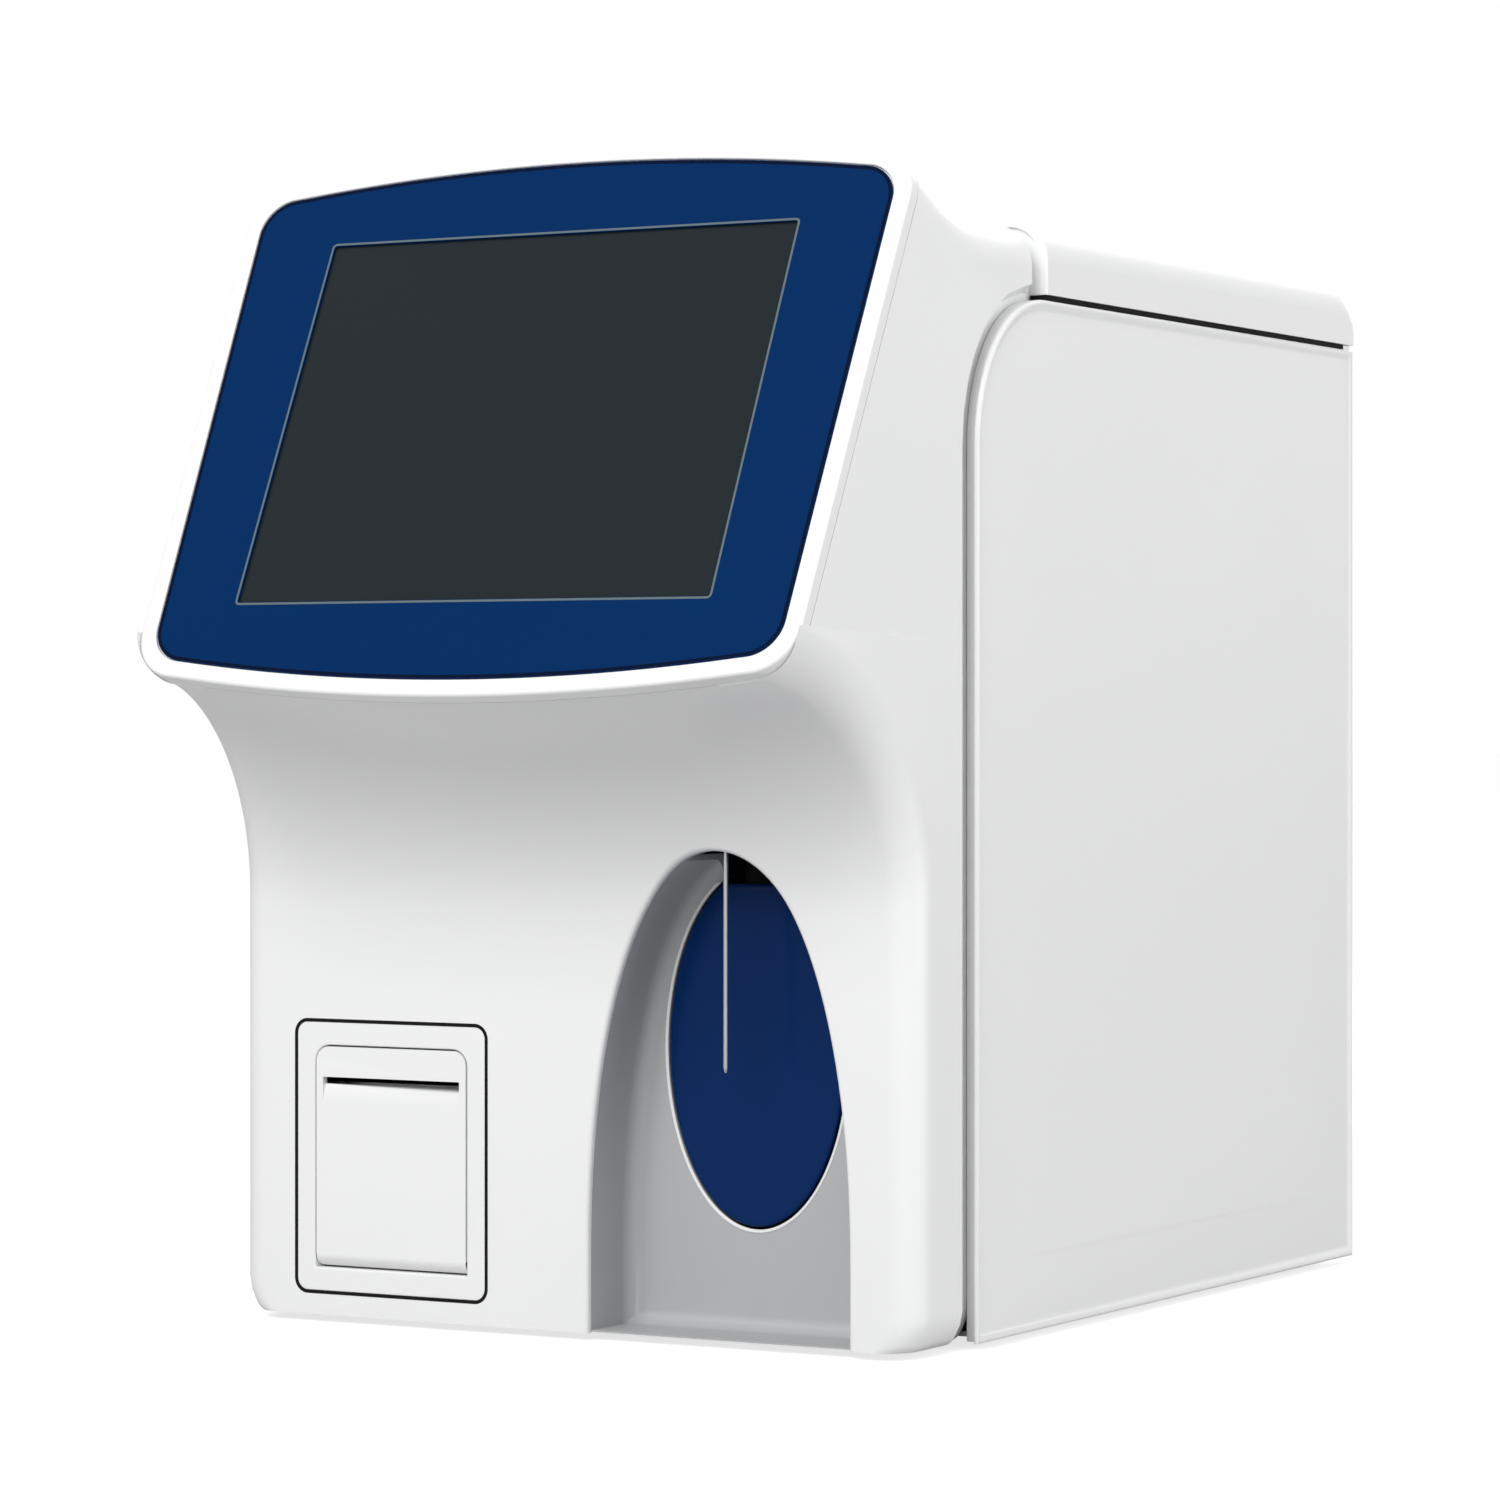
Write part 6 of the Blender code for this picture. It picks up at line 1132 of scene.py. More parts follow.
@dataclass
class ScreenUnit:
    """The white ring, the blue film with its window, and the touch glass under it."""

    lcd_half_width: float = 0.1056
    lcd_half_height: float = 0.0792
    overlay_radius: float = 0.015
    gap: float = 0.0005
    recess: float = 0.0005
    film: float = 0.001
    soft: float = 0.0015
    inner_soft: float = 0.0006
    ledge: float = 0.006
    outer_steps: int = 5
    inner_steps: int = 3
    window_radius: float = 0.0012
    line_radius: float = 0.0020
    # Height and sink of the thin bands that paint shade and a highlight onto the film.
    painted_band_height: float = 0.00006
    painted_band_sink: float = 0.00002
    border_width: float = 0.0013
    border_inset: float = 0.0002
    line_width: float = 0.0009
    line_inset: float = 0.0002
    corner_steps: int = 4

    def build(self) -> None:
        """Make the ring, the film, a dark band along the film's edge that paints the shade beside the ring, and a
        light line round the window that paints a highlight on its edge.
        """
        self.ring()
        self.panel()
        frame_node("touch_glass", Finishes.GLASS)

    def ring(self) -> None:
        """The ring with a rounded outer edge and a softened inner one."""
        back = -(self.recess + self.film + FIT_GAP)
        outer, radius = FRONT.ring_width, FRONT.ring_radius
        plan = []
        for angle in quarter(self.outer_steps):
            inset = self.soft * (1.0 - math.sin(angle))
            plan.append((FRONT.outline(outer - inset, radius - inset), -self.soft * (1.0 - math.cos(angle))))
        plan += [
            (FRONT.outline(outer, radius), -FRONT.ring_thickness),
            (FRONT.outline(-self.ledge, self.overlay_radius - self.ledge), -FRONT.ring_thickness),
            (FRONT.outline(-self.ledge, self.overlay_radius - self.ledge), back),
            (FRONT.outline(self.gap, self.overlay_radius), back),
        ]
        for angle in quarter(self.inner_steps):
            inset = self.inner_soft * (1.0 - math.cos(angle))
            outline = FRONT.outline(self.gap + inset, self.overlay_radius + inset)
            plan.append((outline, -self.inner_soft * (1.0 - math.sin(angle))))
        FRONT.band(Piece("screen_frame"), plan).finish(Finishes.SHELL, replaces=("screen_ring",), angle=50.0)

    def panel(self) -> None:
        """The film with its window, a dark band along its edge painted as the shade beside the ring, and a light line
        round the window painted as a highlight on its edge.
        """
        face, radius = -self.recess, self.overlay_radius
        film = FRONT.plate(Piece("screen_film"), FRONT.outline(0.0, radius), face, face - self.film)
        window = self.window(0.0, self.window_radius)
        film.cut(FRONT.plate(Piece("screen_window"), window, CUT_OVERRUN, -CUT_OVERRUN))
        film.finish(Finishes.OVERLAY, replaces=("screen_overlay",), weighted=False)
        # A dark band along the film's edge paints the shade in the gap between the film and the ring.
        edge = FRONT.outline(-self.border_inset, radius)
        inner = FRONT.outline(-self.border_inset - self.border_width, radius - self.border_width)
        self.painted_band("film_shade_border", edge, inner, Finishes.SHADE_BORDER)
        # A light line round the window paints the highlight on the window's edge.
        wide = self.window(self.line_inset + self.line_width, self.line_radius)
        self.painted_band("window_highlight_line", wide, self.window(self.line_inset, self.window_radius), Finishes.HIGHLIGHT_LINE)

    def window(self, grow: float, radius: float) -> list[Point]:
        """Outline of the display window, grown by a margin."""
        return rounded(self.lcd_half_width + grow, self.lcd_half_height + grow, radius, steps=self.corner_steps)

    def painted_band(self, name: str, outer: Sequence[Point], inner: Sequence[Point], finish: Finish) -> None:
        """A thin coloured band on the film, a few hundredths of a millimetre thick; it paints the shade along the ring
        and the highlight round the window.

        Args:
            name: the piece's name.
            outer: its outer outline.
            inner: its inner outline.
            finish: the finish of the band, whose colour is the painted shade or the painted highlight.
        """
        front, back = self.painted_band_height - self.recess, -self.recess - self.painted_band_sink
        plan = ((outer, front), (outer, back), (inner, back), (inner, front))
        FRONT.band(Piece(name), plan).finish(finish, weighted=False, material=f"{name}_print")


@dataclass
class SidePanels:
    """The two side panels: a rolled lip all round over a set-back wall, and a face that dips behind it."""

    rim_depth: float = 0.008
    wall: float = 0.0025
    bead: float = 0.0013
    lip: float = 0.0021
    setback: float = 0.006
    lip_edge: float = 0.0005
    corner: float = 0.0004
    dip: float = 0.0013
    dip_run: float = 0.0035
    fade: float = 0.055
    least_radius: float = 0.002
    foot_inset: float = 0.03
    steps: int = 40
    bead_steps: int = 6
    dip_steps: int = 6
    fade_steps: int = 10
    stop_inset: Point = (0.0077, 0.001)
    stop_run: Point = (0.009, 0.002)
    stop_rise: Point = (0.0012, 0.0019)

    def outline(self, inset: float, setback: float = 0.0) -> list[Point]:
        """The panel in Y and Z: straight front, round shoulder, level top, upright back.

        Args:
            inset: how far it's set in all round.
            setback: how much further its front and shoulder lie back.

        Returns:
            The points, from the front's foot over to the back's.
        """
        front, top, rear = FRONT.panel_front_y + inset, PANEL_TOP_Z - inset, BODY_DEPTH - inset
        radius = max(FRONT.panel_radius - inset, self.least_radius)
        centre = (max(FRONT.shoulder[0], front + radius), min(FRONT.shoulder[1], top - radius))
        foot = min(inset, self.foot_inset)
        shoulder = arc(centre, radius, math.pi, math.pi / 2, self.steps)
        squeezed = [(y + setback * (centre[0] - y) / radius, z) for y, z in shoulder]
        return [(front + setback, foot)] + squeezed + [(rear, top), (rear, foot)]

    def profile(self) -> list[Point]:
        """The face's course: over the bead, down behind it, and slowly up again.

        Returns:
            Inset and height of each row.
        """
        points = [(0.0, -self.bead)]
        points += [
            (self.bead * (1.0 - math.cos(turn)), -self.bead * (1.0 - math.sin(turn)))
            for turn in quarter(self.bead_steps)[1:]
        ]
        for index in range(1, self.dip_steps + 1):
            share = index / self.dip_steps
            points.append((self.bead + self.dip_run * share, -self.dip * (1.0 - math.cos(math.pi * share)) / 2))
        for index in range(1, self.fade_steps + 1):
            share = index / self.fade_steps
            inset = self.bead + self.dip_run + self.fade * share
            points.append((inset, -self.dip * (1.0 - share) ** 2))
        return points

    def build(self) -> None:
        """Make both panels, each with its stop at the seam's end."""
        for name, side in (("left", -1), ("right", 1)):
            lip, back, corner = self.lip, self.setback, self.corner
            sections = [(self.wall, back, HALF_BODY - depth) for depth in (self.wall + lip, self.rim_depth)]
            under = ((self.rim_depth, back), (lip + corner, back), (lip, back - corner), (lip, self.lip_edge))
            sections += [(0.0, setback, HALF_BODY - depth) for depth, setback in under]
            sections.append((0.0, 0.0, HALF_BODY - (lip - self.lip_edge)))
            sections += [(inset, 0.0, HALF_BODY + rise) for inset, rise in self.profile()]
            rows = [
                [Vector((side * x, y, z)) for y, z in self.outline(inset, setback)] for inset, setback, x in sections
            ]
            panel = Piece(f"{name}_panel").loft(rows, caps=True)
            panel.finish(Finishes.PANEL, replaces=(f"side_panel_{name}",), angle=40.0)
            ends = sorted(side * (HALF_BODY - inset) for inset in self.stop_inset)
            low = (ends[0], BODY_DEPTH - self.stop_run[0], PANEL_TOP_Z - self.stop_rise[0])
            high = (ends[1], BODY_DEPTH - self.stop_run[1], PANEL_TOP_Z + self.stop_rise[1])
            stop = Piece(f"seam_stop_{name}").block(low, high, self.corner)
            stop.finish(Finishes.PANEL, weighted=False)


@dataclass
class TopCover:
    """The lid over the body, with a bead along its open front edge."""

    rear_radius: float = 0.018
    bead: float = 0.0009
    bead_steps: int = 5
    bead_lead: float = 1.2
    lip_inset: Point = (0.0028, 0.0093)
    lip_run: Point = (0.0012, 0.004)
    steps: int = 14

    def section(self, y: float, share: float, inset: float, foot_z: float) -> list[Vector]:
        """The cover across, from its right edge to its left.

        Args:
            y: the section's depth.
            share: how much of its height it has.
            inset: how far it's set in.
            foot_z: height of its foot.

        Returns:
            The points.
        """
        seam = PANEL_TOP_Z + SEAM_HEIGHT
        radius = FRONT.cover_radius
        centre = (HALF_BODY - radius, BODY_HEIGHT - radius)
        half = [Vector((HALF_BODY - inset, y, foot_z))]
        crown = arc(centre, radius - inset, 0.0, math.pi / 2, self.steps)
        half += [Vector((x, y, seam + (z - seam) * share)) for x, z in crown]
        return half + [Vector((-point.x, point.y, point.z)) for point in reversed(half)]

    def loft(
        self, name: str, front_y: float, inset: float, foot_z: float, rows_first: Sequence[Point] = ()
    ) -> Piece:
        """A closed loft of the cover that rounds down over its back edge.

        Args:
            name: the piece's name.
            front_y: depth of its front.
            inset: how far it's set in.
            foot_z: height of its foot.
            rows_first: depth and inset of the rows of a softened front edge.

        Returns:
            The piece.
        """
        height = BODY_HEIGHT - PANEL_TOP_Z - SEAM_HEIGHT - inset
        radius = self.rear_radius - inset
        rear = BODY_DEPTH - inset
        rows = [self.section(front_y + y, 1.0, inset + extra, foot_z) for y, extra in rows_first]
        run = rows_first[-1][0] if rows_first else 0.0
        rows.append(self.section(front_y + run * self.bead_lead, 1.0, inset, foot_z))
        for angle in quarter(self.steps):
            drop = radius * (1.0 - math.cos(angle))
            depth = rear - radius * (1.0 - math.sin(angle))
            rows.append(self.section(depth, 1.0 - drop / height, inset, foot_z))
        return Piece(name).loft(rows, caps=True)

    def build(self) -> None:
        """Make the cover and dress the seal node under it in near-black, a painted shade that keeps the seam dark."""
        seam = PANEL_TOP_Z + SEAM_HEIGHT
        turns = [math.pi / 2 * (1.0 - index / self.bead_steps) for index in range(self.bead_steps + 1)]
        edge = [(self.bead * (1.0 - math.sin(turn)), self.bead * (1.0 - math.cos(turn))) for turn in turns]
        cover = self.loft("lid", FRONT.cover_front_y, 0.0, seam, sorted(edge))
        cover.cut(self.loft("lid_hollow", FRONT.cover_front_y - CUT_OVERRUN, CASE_WALL, seam - CUT_OVERRUN))
        cover.finish(Finishes.SHELL, replaces=("top_cover",), angle=40.0)
        self.lip()
        # The seal node is dressed near-black so the seam under the cover reads as shade: painted shade.
        frame_node("cover_seal", Finishes.GAP_SHADE, "gap_shade_finish")

    def lip(self) -> None:
        """The lip inside the cover's front edge, down to the moulded front's flange."""
        seam, front = PANEL_TOP_Z + SEAM_HEIGHT, FRONT.cover_front_y
        (outer, inner), (near, far) = self.lip_inset, self.lip_run
        plan = ((outer, near), (inner, near), (inner, far), (outer, far))
        rows = [self.section(front + y, 1.0, inset, seam) for inset, y in plan]
        lip = Piece("lid_lip").loft(rows, closed=False, ring=True)
        bmesh.ops.holes_fill(lip.bm, edges=[edge for edge in lip.bm.edges if edge.is_boundary])
        lip.finish(Finishes.SHELL, angle=40.0)


def frame_node(node: str, finish: Finish, material: str = "") -> None:
    """Dress a CAD node that stays as it is.

    Args:
        node: the node's name.
        finish: the finish of its surface.
        material: a name for a material of its own.
    """
    for slot in frame["nodes"][node].material_slots:
        slot.material = finish.material(material)


@dataclass
class SamplingBay:
    """The grey tub behind the arch, with a thin raised rim round the key's hole, white over the grey as a painted
    highlight on the hole's edge.
    """

    corner: float = 0.006
    floor_gap: float = 0.0003
    floor: float = 0.0007
    steps: int = 8
    slot_half_width: float = 0.015
    slot_front_y: float = 0.003
    hole_lead: float = 0.003
    rim_width: float = 0.0011
    rim_soft: float = 0.0002
    rim_proud: float = 0.0003
    rim_depth: float = 0.0012
    rim_foot: float = 0.0001
    rim_reach: float = 0.03

    def build(self) -> None:
        """Make the tub and the rim."""
        back = BAY.depth + BAY.wall
        outer = BAY.outline(BAY.wall, self.floor_gap)
        inner = BAY.outline(0.0, self.floor_gap + self.floor)
        rows = [upright(outer, back)]
        rows += [[Vector((x, self.behind_face(z), z)) for x, z in outline] for outline in (outer, inner)]
        for turn in quarter(self.steps):
            inset = self.corner * (1.0 - math.cos(turn))
            foot = self.floor_gap + self.floor + inset
            rows.append(upright(BAY.outline(-inset, foot), BAY.depth - self.corner * (1.0 - math.sin(turn))))
        tub = Piece("bay_tub").loft(rows, caps=True)
        half, top, back = self.slot_half_width, BAY.sill_z + CUT_OVERRUN, BAY.depth + CUT_OVERRUN
        slot = Piece("bay_slot").block((BAY.x - half, self.slot_front_y, BAY.sill_z), (BAY.x + half, back, top))
        outline = BAY.key_outline(BAY.key_gap, top)
        hole = Piece("bay_hole").slab(outline, BAY.depth - self.hole_lead, back)
        tub.cut(slot, hole)
        tub.finish(Finishes.BAY, replaces=("sample_bay",), angle=35.0)
        self.key_highlight_rim()

    @staticmethod
    def behind_face(z: float) -> float:
        """Depth just behind the front's wall.

        Args:
            z: height of the place.

        Returns:
            The depth.
        """
        share = max(0.0, (z - FRONT.neck_base_z) / FRONT.neck_rise)
        slope = FRONT.neck_end.y * share / math.sqrt(1.0 - share**2) / FRONT.neck_rise
        return FRONT.neck_front(z) + CASE_WALL * math.sqrt(1.0 + slope**2) + FIT_GAP

    def key_highlight_rim(self) -> None:
        """The thin raised rim round the key's hole, open above the sill; its white paints the highlight on the hole's
        rounded edge.
        """
        width, soft, reach = self.rim_width, self.rim_soft, self.rim_reach
        plan = ((width, self.rim_foot), (width - soft, -self.rim_proud), (soft, -self.rim_proud))
        plan += ((-soft, 0.0), (-soft, self.rim_depth), (width, self.rim_depth))
        top = BAY.sill_z + CUT_OVERRUN
        rows = [upright(BAY.key_outline(BAY.key_gap + grow, top), BAY.depth + y) for grow, y in plan]
        rim = Piece("key_highlight_rim").loft(rows, ring=True)
        high = (BAY.x + reach, 2 * BAY.depth, BAY.sill_z + reach)
        rim.cut(Piece("rim_cut").block((BAY.x - reach, 0.0, BAY.sill_z), high))
        # White on the grey tub: a painted highlight on the edge of the key's hole.
        rim.finish(Finishes.SHELL)


@dataclass
class AspirateKey:
    """The oval key: a glossy plate with a rounded edge and a shallow dish."""

    proud: float = 0.001
    thickness: float = 0.0032
    soft: float = 0.0016
    crown: float = 0.0008
    dish: float = 0.0007
    stem_rise: float = 0.036
    stem_radius: float = 0.0025
    stem_length: float = 0.0165
    stem_sink: float = 0.0002
    dish_run: float = 0.034
    edge_steps: int = 7
    dish_steps: int = 14

    def build(self) -> None:
        """Make the key with its two stems."""
        front = BAY.depth - self.proud
        top = BAY.sill_z - FIT_GAP
        rows = [upright(BAY.key_outline(0.0, top), front + self.thickness)]
        for index in range(self.edge_steps + 1):
            turn = math.pi / 2 * (1.0 - index / self.edge_steps)
            inset = self.soft * (1.0 - math.sin(turn))
            depth = self.crown * (1.0 - math.cos(turn))
            rows.append(upright(BAY.key_outline(-inset, top - inset), front + depth))
        for index in range(1, self.dish_steps + 1):
            share = index / self.dish_steps
            inset = self.soft + self.dish_run * share
            depth = self.dish * math.sin(math.pi / 2 * share) ** 2
            rows.append(upright(BAY.key_outline(-inset, top - inset), front + depth))
        Piece("key_plate").loft(rows, caps=True).finish(
            Finishes.KEY, "key", replaces=("aspirate_key",), angle=50.0, weighted=False
        )
        stems = Piece("key_stems")
        for side in (-1, 1):
            base = (BAY.x, front + self.thickness - self.stem_sink, BAY.key_z + side * self.stem_rise)
            stems.rod(base, "Y", self.stem_length, self.stem_radius, steps=32)
        stems.finish(Finishes.KEY, "key")


@dataclass
class Probe:
    """The thin steel probe in its hub."""

    radius: float = 0.00095
    point: float = 0.00225
    hub_radius: float = 0.003
    hub_height: float = 0.012
    tip_shares: tuple[Point, ...] = ((0.35, 0.0001), (0.55, 0.0004))
    shank: float = 0.01
    sink: float = 0.001
    groove_share: float = 0.8
    groove: tuple[float, ...] = (0.004, 0.0045, 0.0058, 0.0063)
    hub_soft: Point = (0.0006, 0.0005)

    def build(self) -> None:
        """Spin the needle and its hub."""
        low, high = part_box("sample_probe")
        middle = (low + high) / 2 - SHIFT
        base = (middle.x, middle.y, low.z - SHIFT.z)
        length = high.z - low.z
        foot = length - self.hub_height
        radius, hub, neck = self.radius, self.hub_radius, self.hub_radius * self.groove_share
        needle = [(0.0, 0.0)] + [(radius * share, height) for share, height in self.tip_shares]
        needle += [(radius, self.point), (radius, self.point + self.shank), (radius, foot), (0.0, foot + self.sink)]
        probe = Piece("probe_needle").turned(needle, base, "Z")
        probe.finish(Finishes.STEEL, "lift", replaces=("sample_probe",))
        low_soft, high_soft = self.hub_soft
        rim = [(0.0, foot), (hub - low_soft, foot), (hub, foot + low_soft)]
        rim += [(size, foot + height) for size, height in zip((hub, neck, neck, hub), self.groove)]
        rim += [(hub, length - high_soft), (hub - high_soft, length), (0.0, length)]
        Piece("probe_hub").turned(rim, base, "Z").finish(Finishes.STEEL, "lift")


@dataclass
class PanelPrinter:
    """The panel printer: frame, door with slot and ramp, hinge pin, platen and paper roll."""

    x: float = -0.08085
    z: float = 0.0635
    frame_half_width: float = 0.04475
    frame_half_height: float = 0.054
    frame_radius: float = 0.005
    frame_depth: float = 0.006
    lip: float = 0.003
    door_half_width: float = 0.03545
    door_half_height: float = 0.044
    door_radius: float = 0.006
    door_low_radius: float = 0.0025
    door_gap: float = 0.0005
    door_thickness: float = 0.003
    barrel: float = 0.005
    slot_half_width: float = 0.0324
    slot_height: float = 0.0028
    slot_z: float = 0.0939
    pin_radius: float = 0.0015
    pin_seat: float = 0.004
    platen_y: float = 0.0105
    platen_drop: float = 0.0095
    platen_radius: float = 0.005
    cheek: float = 0.0022
    roll_y: float = 0.0425
    roll_z: float = 0.0437
    roll_radius: float = 0.025
    roll_half_width: float = 0.0285
    core_radius: float = 0.0065
    ramp: float = 0.008
    ramp_depth: float = 0.0023
    soft: float = 0.0007
    soft_steps: int = 4
    corner_steps: int = 12
    # Size of the near-black band that paints the shade in the joint round the frame.
    joint_shade_cover: float = 0.0003
    joint_shade_radii: Point = (0.0061, 0.0047)
    joint_shade_proud: float = 0.0001
    barrel_soft: float = 0.0002
    cheek_soft: float = 0.0008
    cheek_half_height: float = 0.008
    cheek_reach: float = 0.0125
    bore_overrun: float = 0.005
    bore_gap: float = 0.0004
    shaft_radius: float = 0.0018
    shaft_bore_radius: float = 0.0022
    shaft_soft: float = 0.0003
    rubber_soft: float = 0.0004
    roll_soft: float = 0.0003
    core_wall: float = 0.001
    core_proud: float = 0.0002
    edge_soft: float = 0.00035

    def build(self) -> None:
        """Make every part of the printer that shows, shut or open."""
        self.hinge_z = self.z - self.door_half_height + self.barrel
        self.platen_z = self.slot_z - self.platen_drop
        self.surround()
        self.joint_shade()
        self.door()
        self.pin_and_platen()
        self.roll()

    def placed(self, half_width: float, half_height: float, radius: float, low_radius: float = -1.0) -> list[Point]:
        """A rounded rectangle round the printer's middle.

        Args:
            half_width: half its width.
            half_height: half its height.
            radius: the corners' radius.
            low_radius: the lower corners' radius, or less than nothing for the same.

        Returns:
            The outline's points.
        """
        return moved(rounded(half_width, half_height, radius, low_radius, self.corner_steps), self.x, self.z)

    def frame_outline(self, grow: float) -> list[Point]:
        """Outline of the frame, grown by a margin."""
        return self.placed(self.frame_half_width + grow, self.frame_half_height + grow, self.frame_radius + grow)

    def opening_outline(self, grow: float) -> list[Point]:
        """Outline of the door's opening.

        Args:
            grow: margin round it.

        Returns:
            The outline's points.
        """
        gap = self.door_gap
        width, height = self.door_half_width + gap + grow, self.door_half_height + gap + grow
        return self.placed(width, height, self.door_radius + gap + grow, gap / 2 + grow)

    def crossways(self, name: str, y: float, z: float, half: float, radius: float, soft: float, steps: int) -> Piece:
        """A rod across the printer.

        Args:
            name: the piece's name.
            y: depth of its axis.
            z: height of its axis.
            half: half its length.
            radius: its radius.
            soft: how far its ends are rounded, or nothing for a share of its size.
            steps: how many steps the turn has.

        Returns:
            The rod.
        """
        return Piece(name).rod((self.x - half, y, z), "X", 2 * half, radius, soft, steps)

    def surround(self) -> None:
        """The frame round the door, with softened edges and seats for the pin."""
        outer, inner, soft = self.frame_outline, self.opening_outline, self.soft
        turns = quarter(self.soft_steps)
        lip_y, depth = CASE_WALL + FIT_GAP, self.frame_depth
        plan = [(inner(soft * (1 - math.cos(turn))), soft * (1 - math.sin(turn))) for turn in turns]
        plan += [(outer(-soft * (1 - math.sin(turn))), soft * (1 - math.cos(turn))) for turn in turns]
        plan += [(outer(0.0), lip_y), (outer(self.lip), lip_y), (outer(self.lip), depth), (inner(0.0), depth)]
        surround = Piece("printer_surround").loft([upright(outline, y) for outline, y in plan], ring=True)
        reach, radius = self.door_half_width + self.pin_seat + FIT_GAP, self.pin_radius + FIT_GAP
        surround.cut(self.crossways("pin_seats", self.barrel, self.hinge_z, reach, radius, 0.0, ROD_STEPS))
        surround.finish(Finishes.SHELL, replaces=("printer_frame",))

    def joint_shade(self) -> None:
        """A near-black band over the joint between the frame and the moulded front: painted shade that makes the joint
        read as a dark gap.
        """
        cover, proud = self.joint_shade_cover, self.joint_shade_proud
        wide_radius, tight_radius = self.joint_shade_radii
        wide = rounded(Housing.opening_half_width + cover, Housing.opening_half_height + cover, wide_radius)
        tight = rounded(self.frame_half_width - cover, self.frame_half_height - cover, tight_radius)
        plan = ((wide, -proud), (wide, CASE_WALL), (tight, CASE_WALL), (tight, -proud))
        rows = [upright(moved(outline, self.x, self.z), y) for outline, y in plan]
        Piece("printer_joint_shade").loft(rows, ring=True).finish(Finishes.GAP_SHADE, material="gap_shade_finish")

    def door(self) -> None:
        """The door: a plate with a hinge barrel, two cheeks, a slot and a ramp down to it."""
        half, top, thickness = self.door_half_width, self.z + self.door_half_height, self.door_thickness
        door = Piece("paper_door").block((self.x - half, 0.0, self.hinge_z), (self.x + half, thickness, top))
        barrel = self.crossways("door_barrel", self.barrel, self.hinge_z, half, self.barrel, self.barrel_soft, 96)
        door.cut(barrel, operation="UNION")
        outline = self.placed(half, self.door_half_height, self.door_radius, self.door_low_radius)
        door.cut(Piece("door_corners").slab(outline, -CUT_OVERRUN, CUT_OVERRUN), operation="INTERSECT")
        for side in (-1, 1):
            end = self.x + side * self.slot_half_width
            near, far = sorted((end, end - side * self.cheek))
            low = (near, thickness / 2, self.platen_z - self.cheek_half_height)
            high = (far, self.cheek_reach + thickness / 2, self.platen_z + self.cheek_half_height)
            door.cut(Piece(f"cheek_{side}").block(low, high, self.cheek_soft), operation="UNION")
        slot = self.slot_half_width
        mouth = Piece("paper_slot").block(
            (self.x - slot, -CUT_OVERRUN, self.slot_z - self.slot_height / 2),
            (self.x + slot, CUT_OVERRUN, self.slot_z + self.slot_height / 2),
        )
        depth = self.ramp_depth
        profile = ((-depth, self.slot_z - 2 * self.ramp), (depth, self.slot_z), (-depth, self.slot_z))
        rows = [[Vector((x, y, z)) for y, z in profile] for x in (self.x - slot, self.x + slot)]
        ramp = Piece("slot_ramp").loft(rows, caps=True)
        start, length = self.x - half - self.bore_overrun, 2 * half + 2 * self.bore_overrun
        radius = self.pin_radius + self.bore_gap
        bore = Piece("pin_bore").rod((start, self.barrel, self.hinge_z), "X", length, radius)
        shaft = Piece("shaft_bore").rod((start, self.platen_y, self.platen_z), "X", length, self.shaft_bore_radius)
        door.cut(mouth, ramp, bore, shaft)
        door.finish(Finishes.SHELL, "door", replaces=("printer_door",), soft=self.edge_soft, angle=38.0)

    def pin_and_platen(self) -> None:
        """The hinge pin and the platen roller on its shaft."""
        reach, soft = self.door_half_width + self.pin_seat, self.shaft_soft
        pin = self.crossways("hinge_pin", self.barrel, self.hinge_z, reach, self.pin_radius, soft, 32)
        pin.finish(Finishes.STEEL, replaces=("door_hinge_pin",))
        half, y, z = self.slot_half_width - self.cheek - FIT_GAP, self.platen_y, self.platen_z
        rubber = self.crossways("platen_rubber", y, z, half, self.platen_radius, self.rubber_soft, 64)
        rubber.finish(Finishes.RUBBER, "platen", replaces=("platen_roller",))
        shaft = self.crossways("platen_shaft", y, z, half + self.cheek, self.shaft_radius, soft, 32)
        shaft.finish(Finishes.STEEL, "platen")

    def roll(self) -> None:
        """The paper roll, wound on a card core."""
        end, radius, core, soft = self.roll_half_width, self.roll_radius, self.core_radius, self.roll_soft
        profile = [(core, -end), (radius - soft, -end), (radius, soft - end)]
        profile += [(radius, end - soft), (radius - soft, end), (core, end), (core, -end)]
        base = (self.x, self.roll_y, self.roll_z)
        paper = replace(Finishes.WINDING, centre=tuple(Vector(base) + SHIFT))
        winding = Piece("paper_winding").turned(profile, base, "X", 96)
        winding.finish(paper, "roll", replaces=("paper_roll",), material="paper_winding_finish")
        edge, wall = end + self.core_proud, core + self.core_wall
        tube = [(core, -edge), (wall, -edge), (wall, edge), (core, edge), (core, -edge)]
        Piece("card_core").turned(tube, base, "X", 64).finish(Finishes.CARD, "roll", material="card_finish")


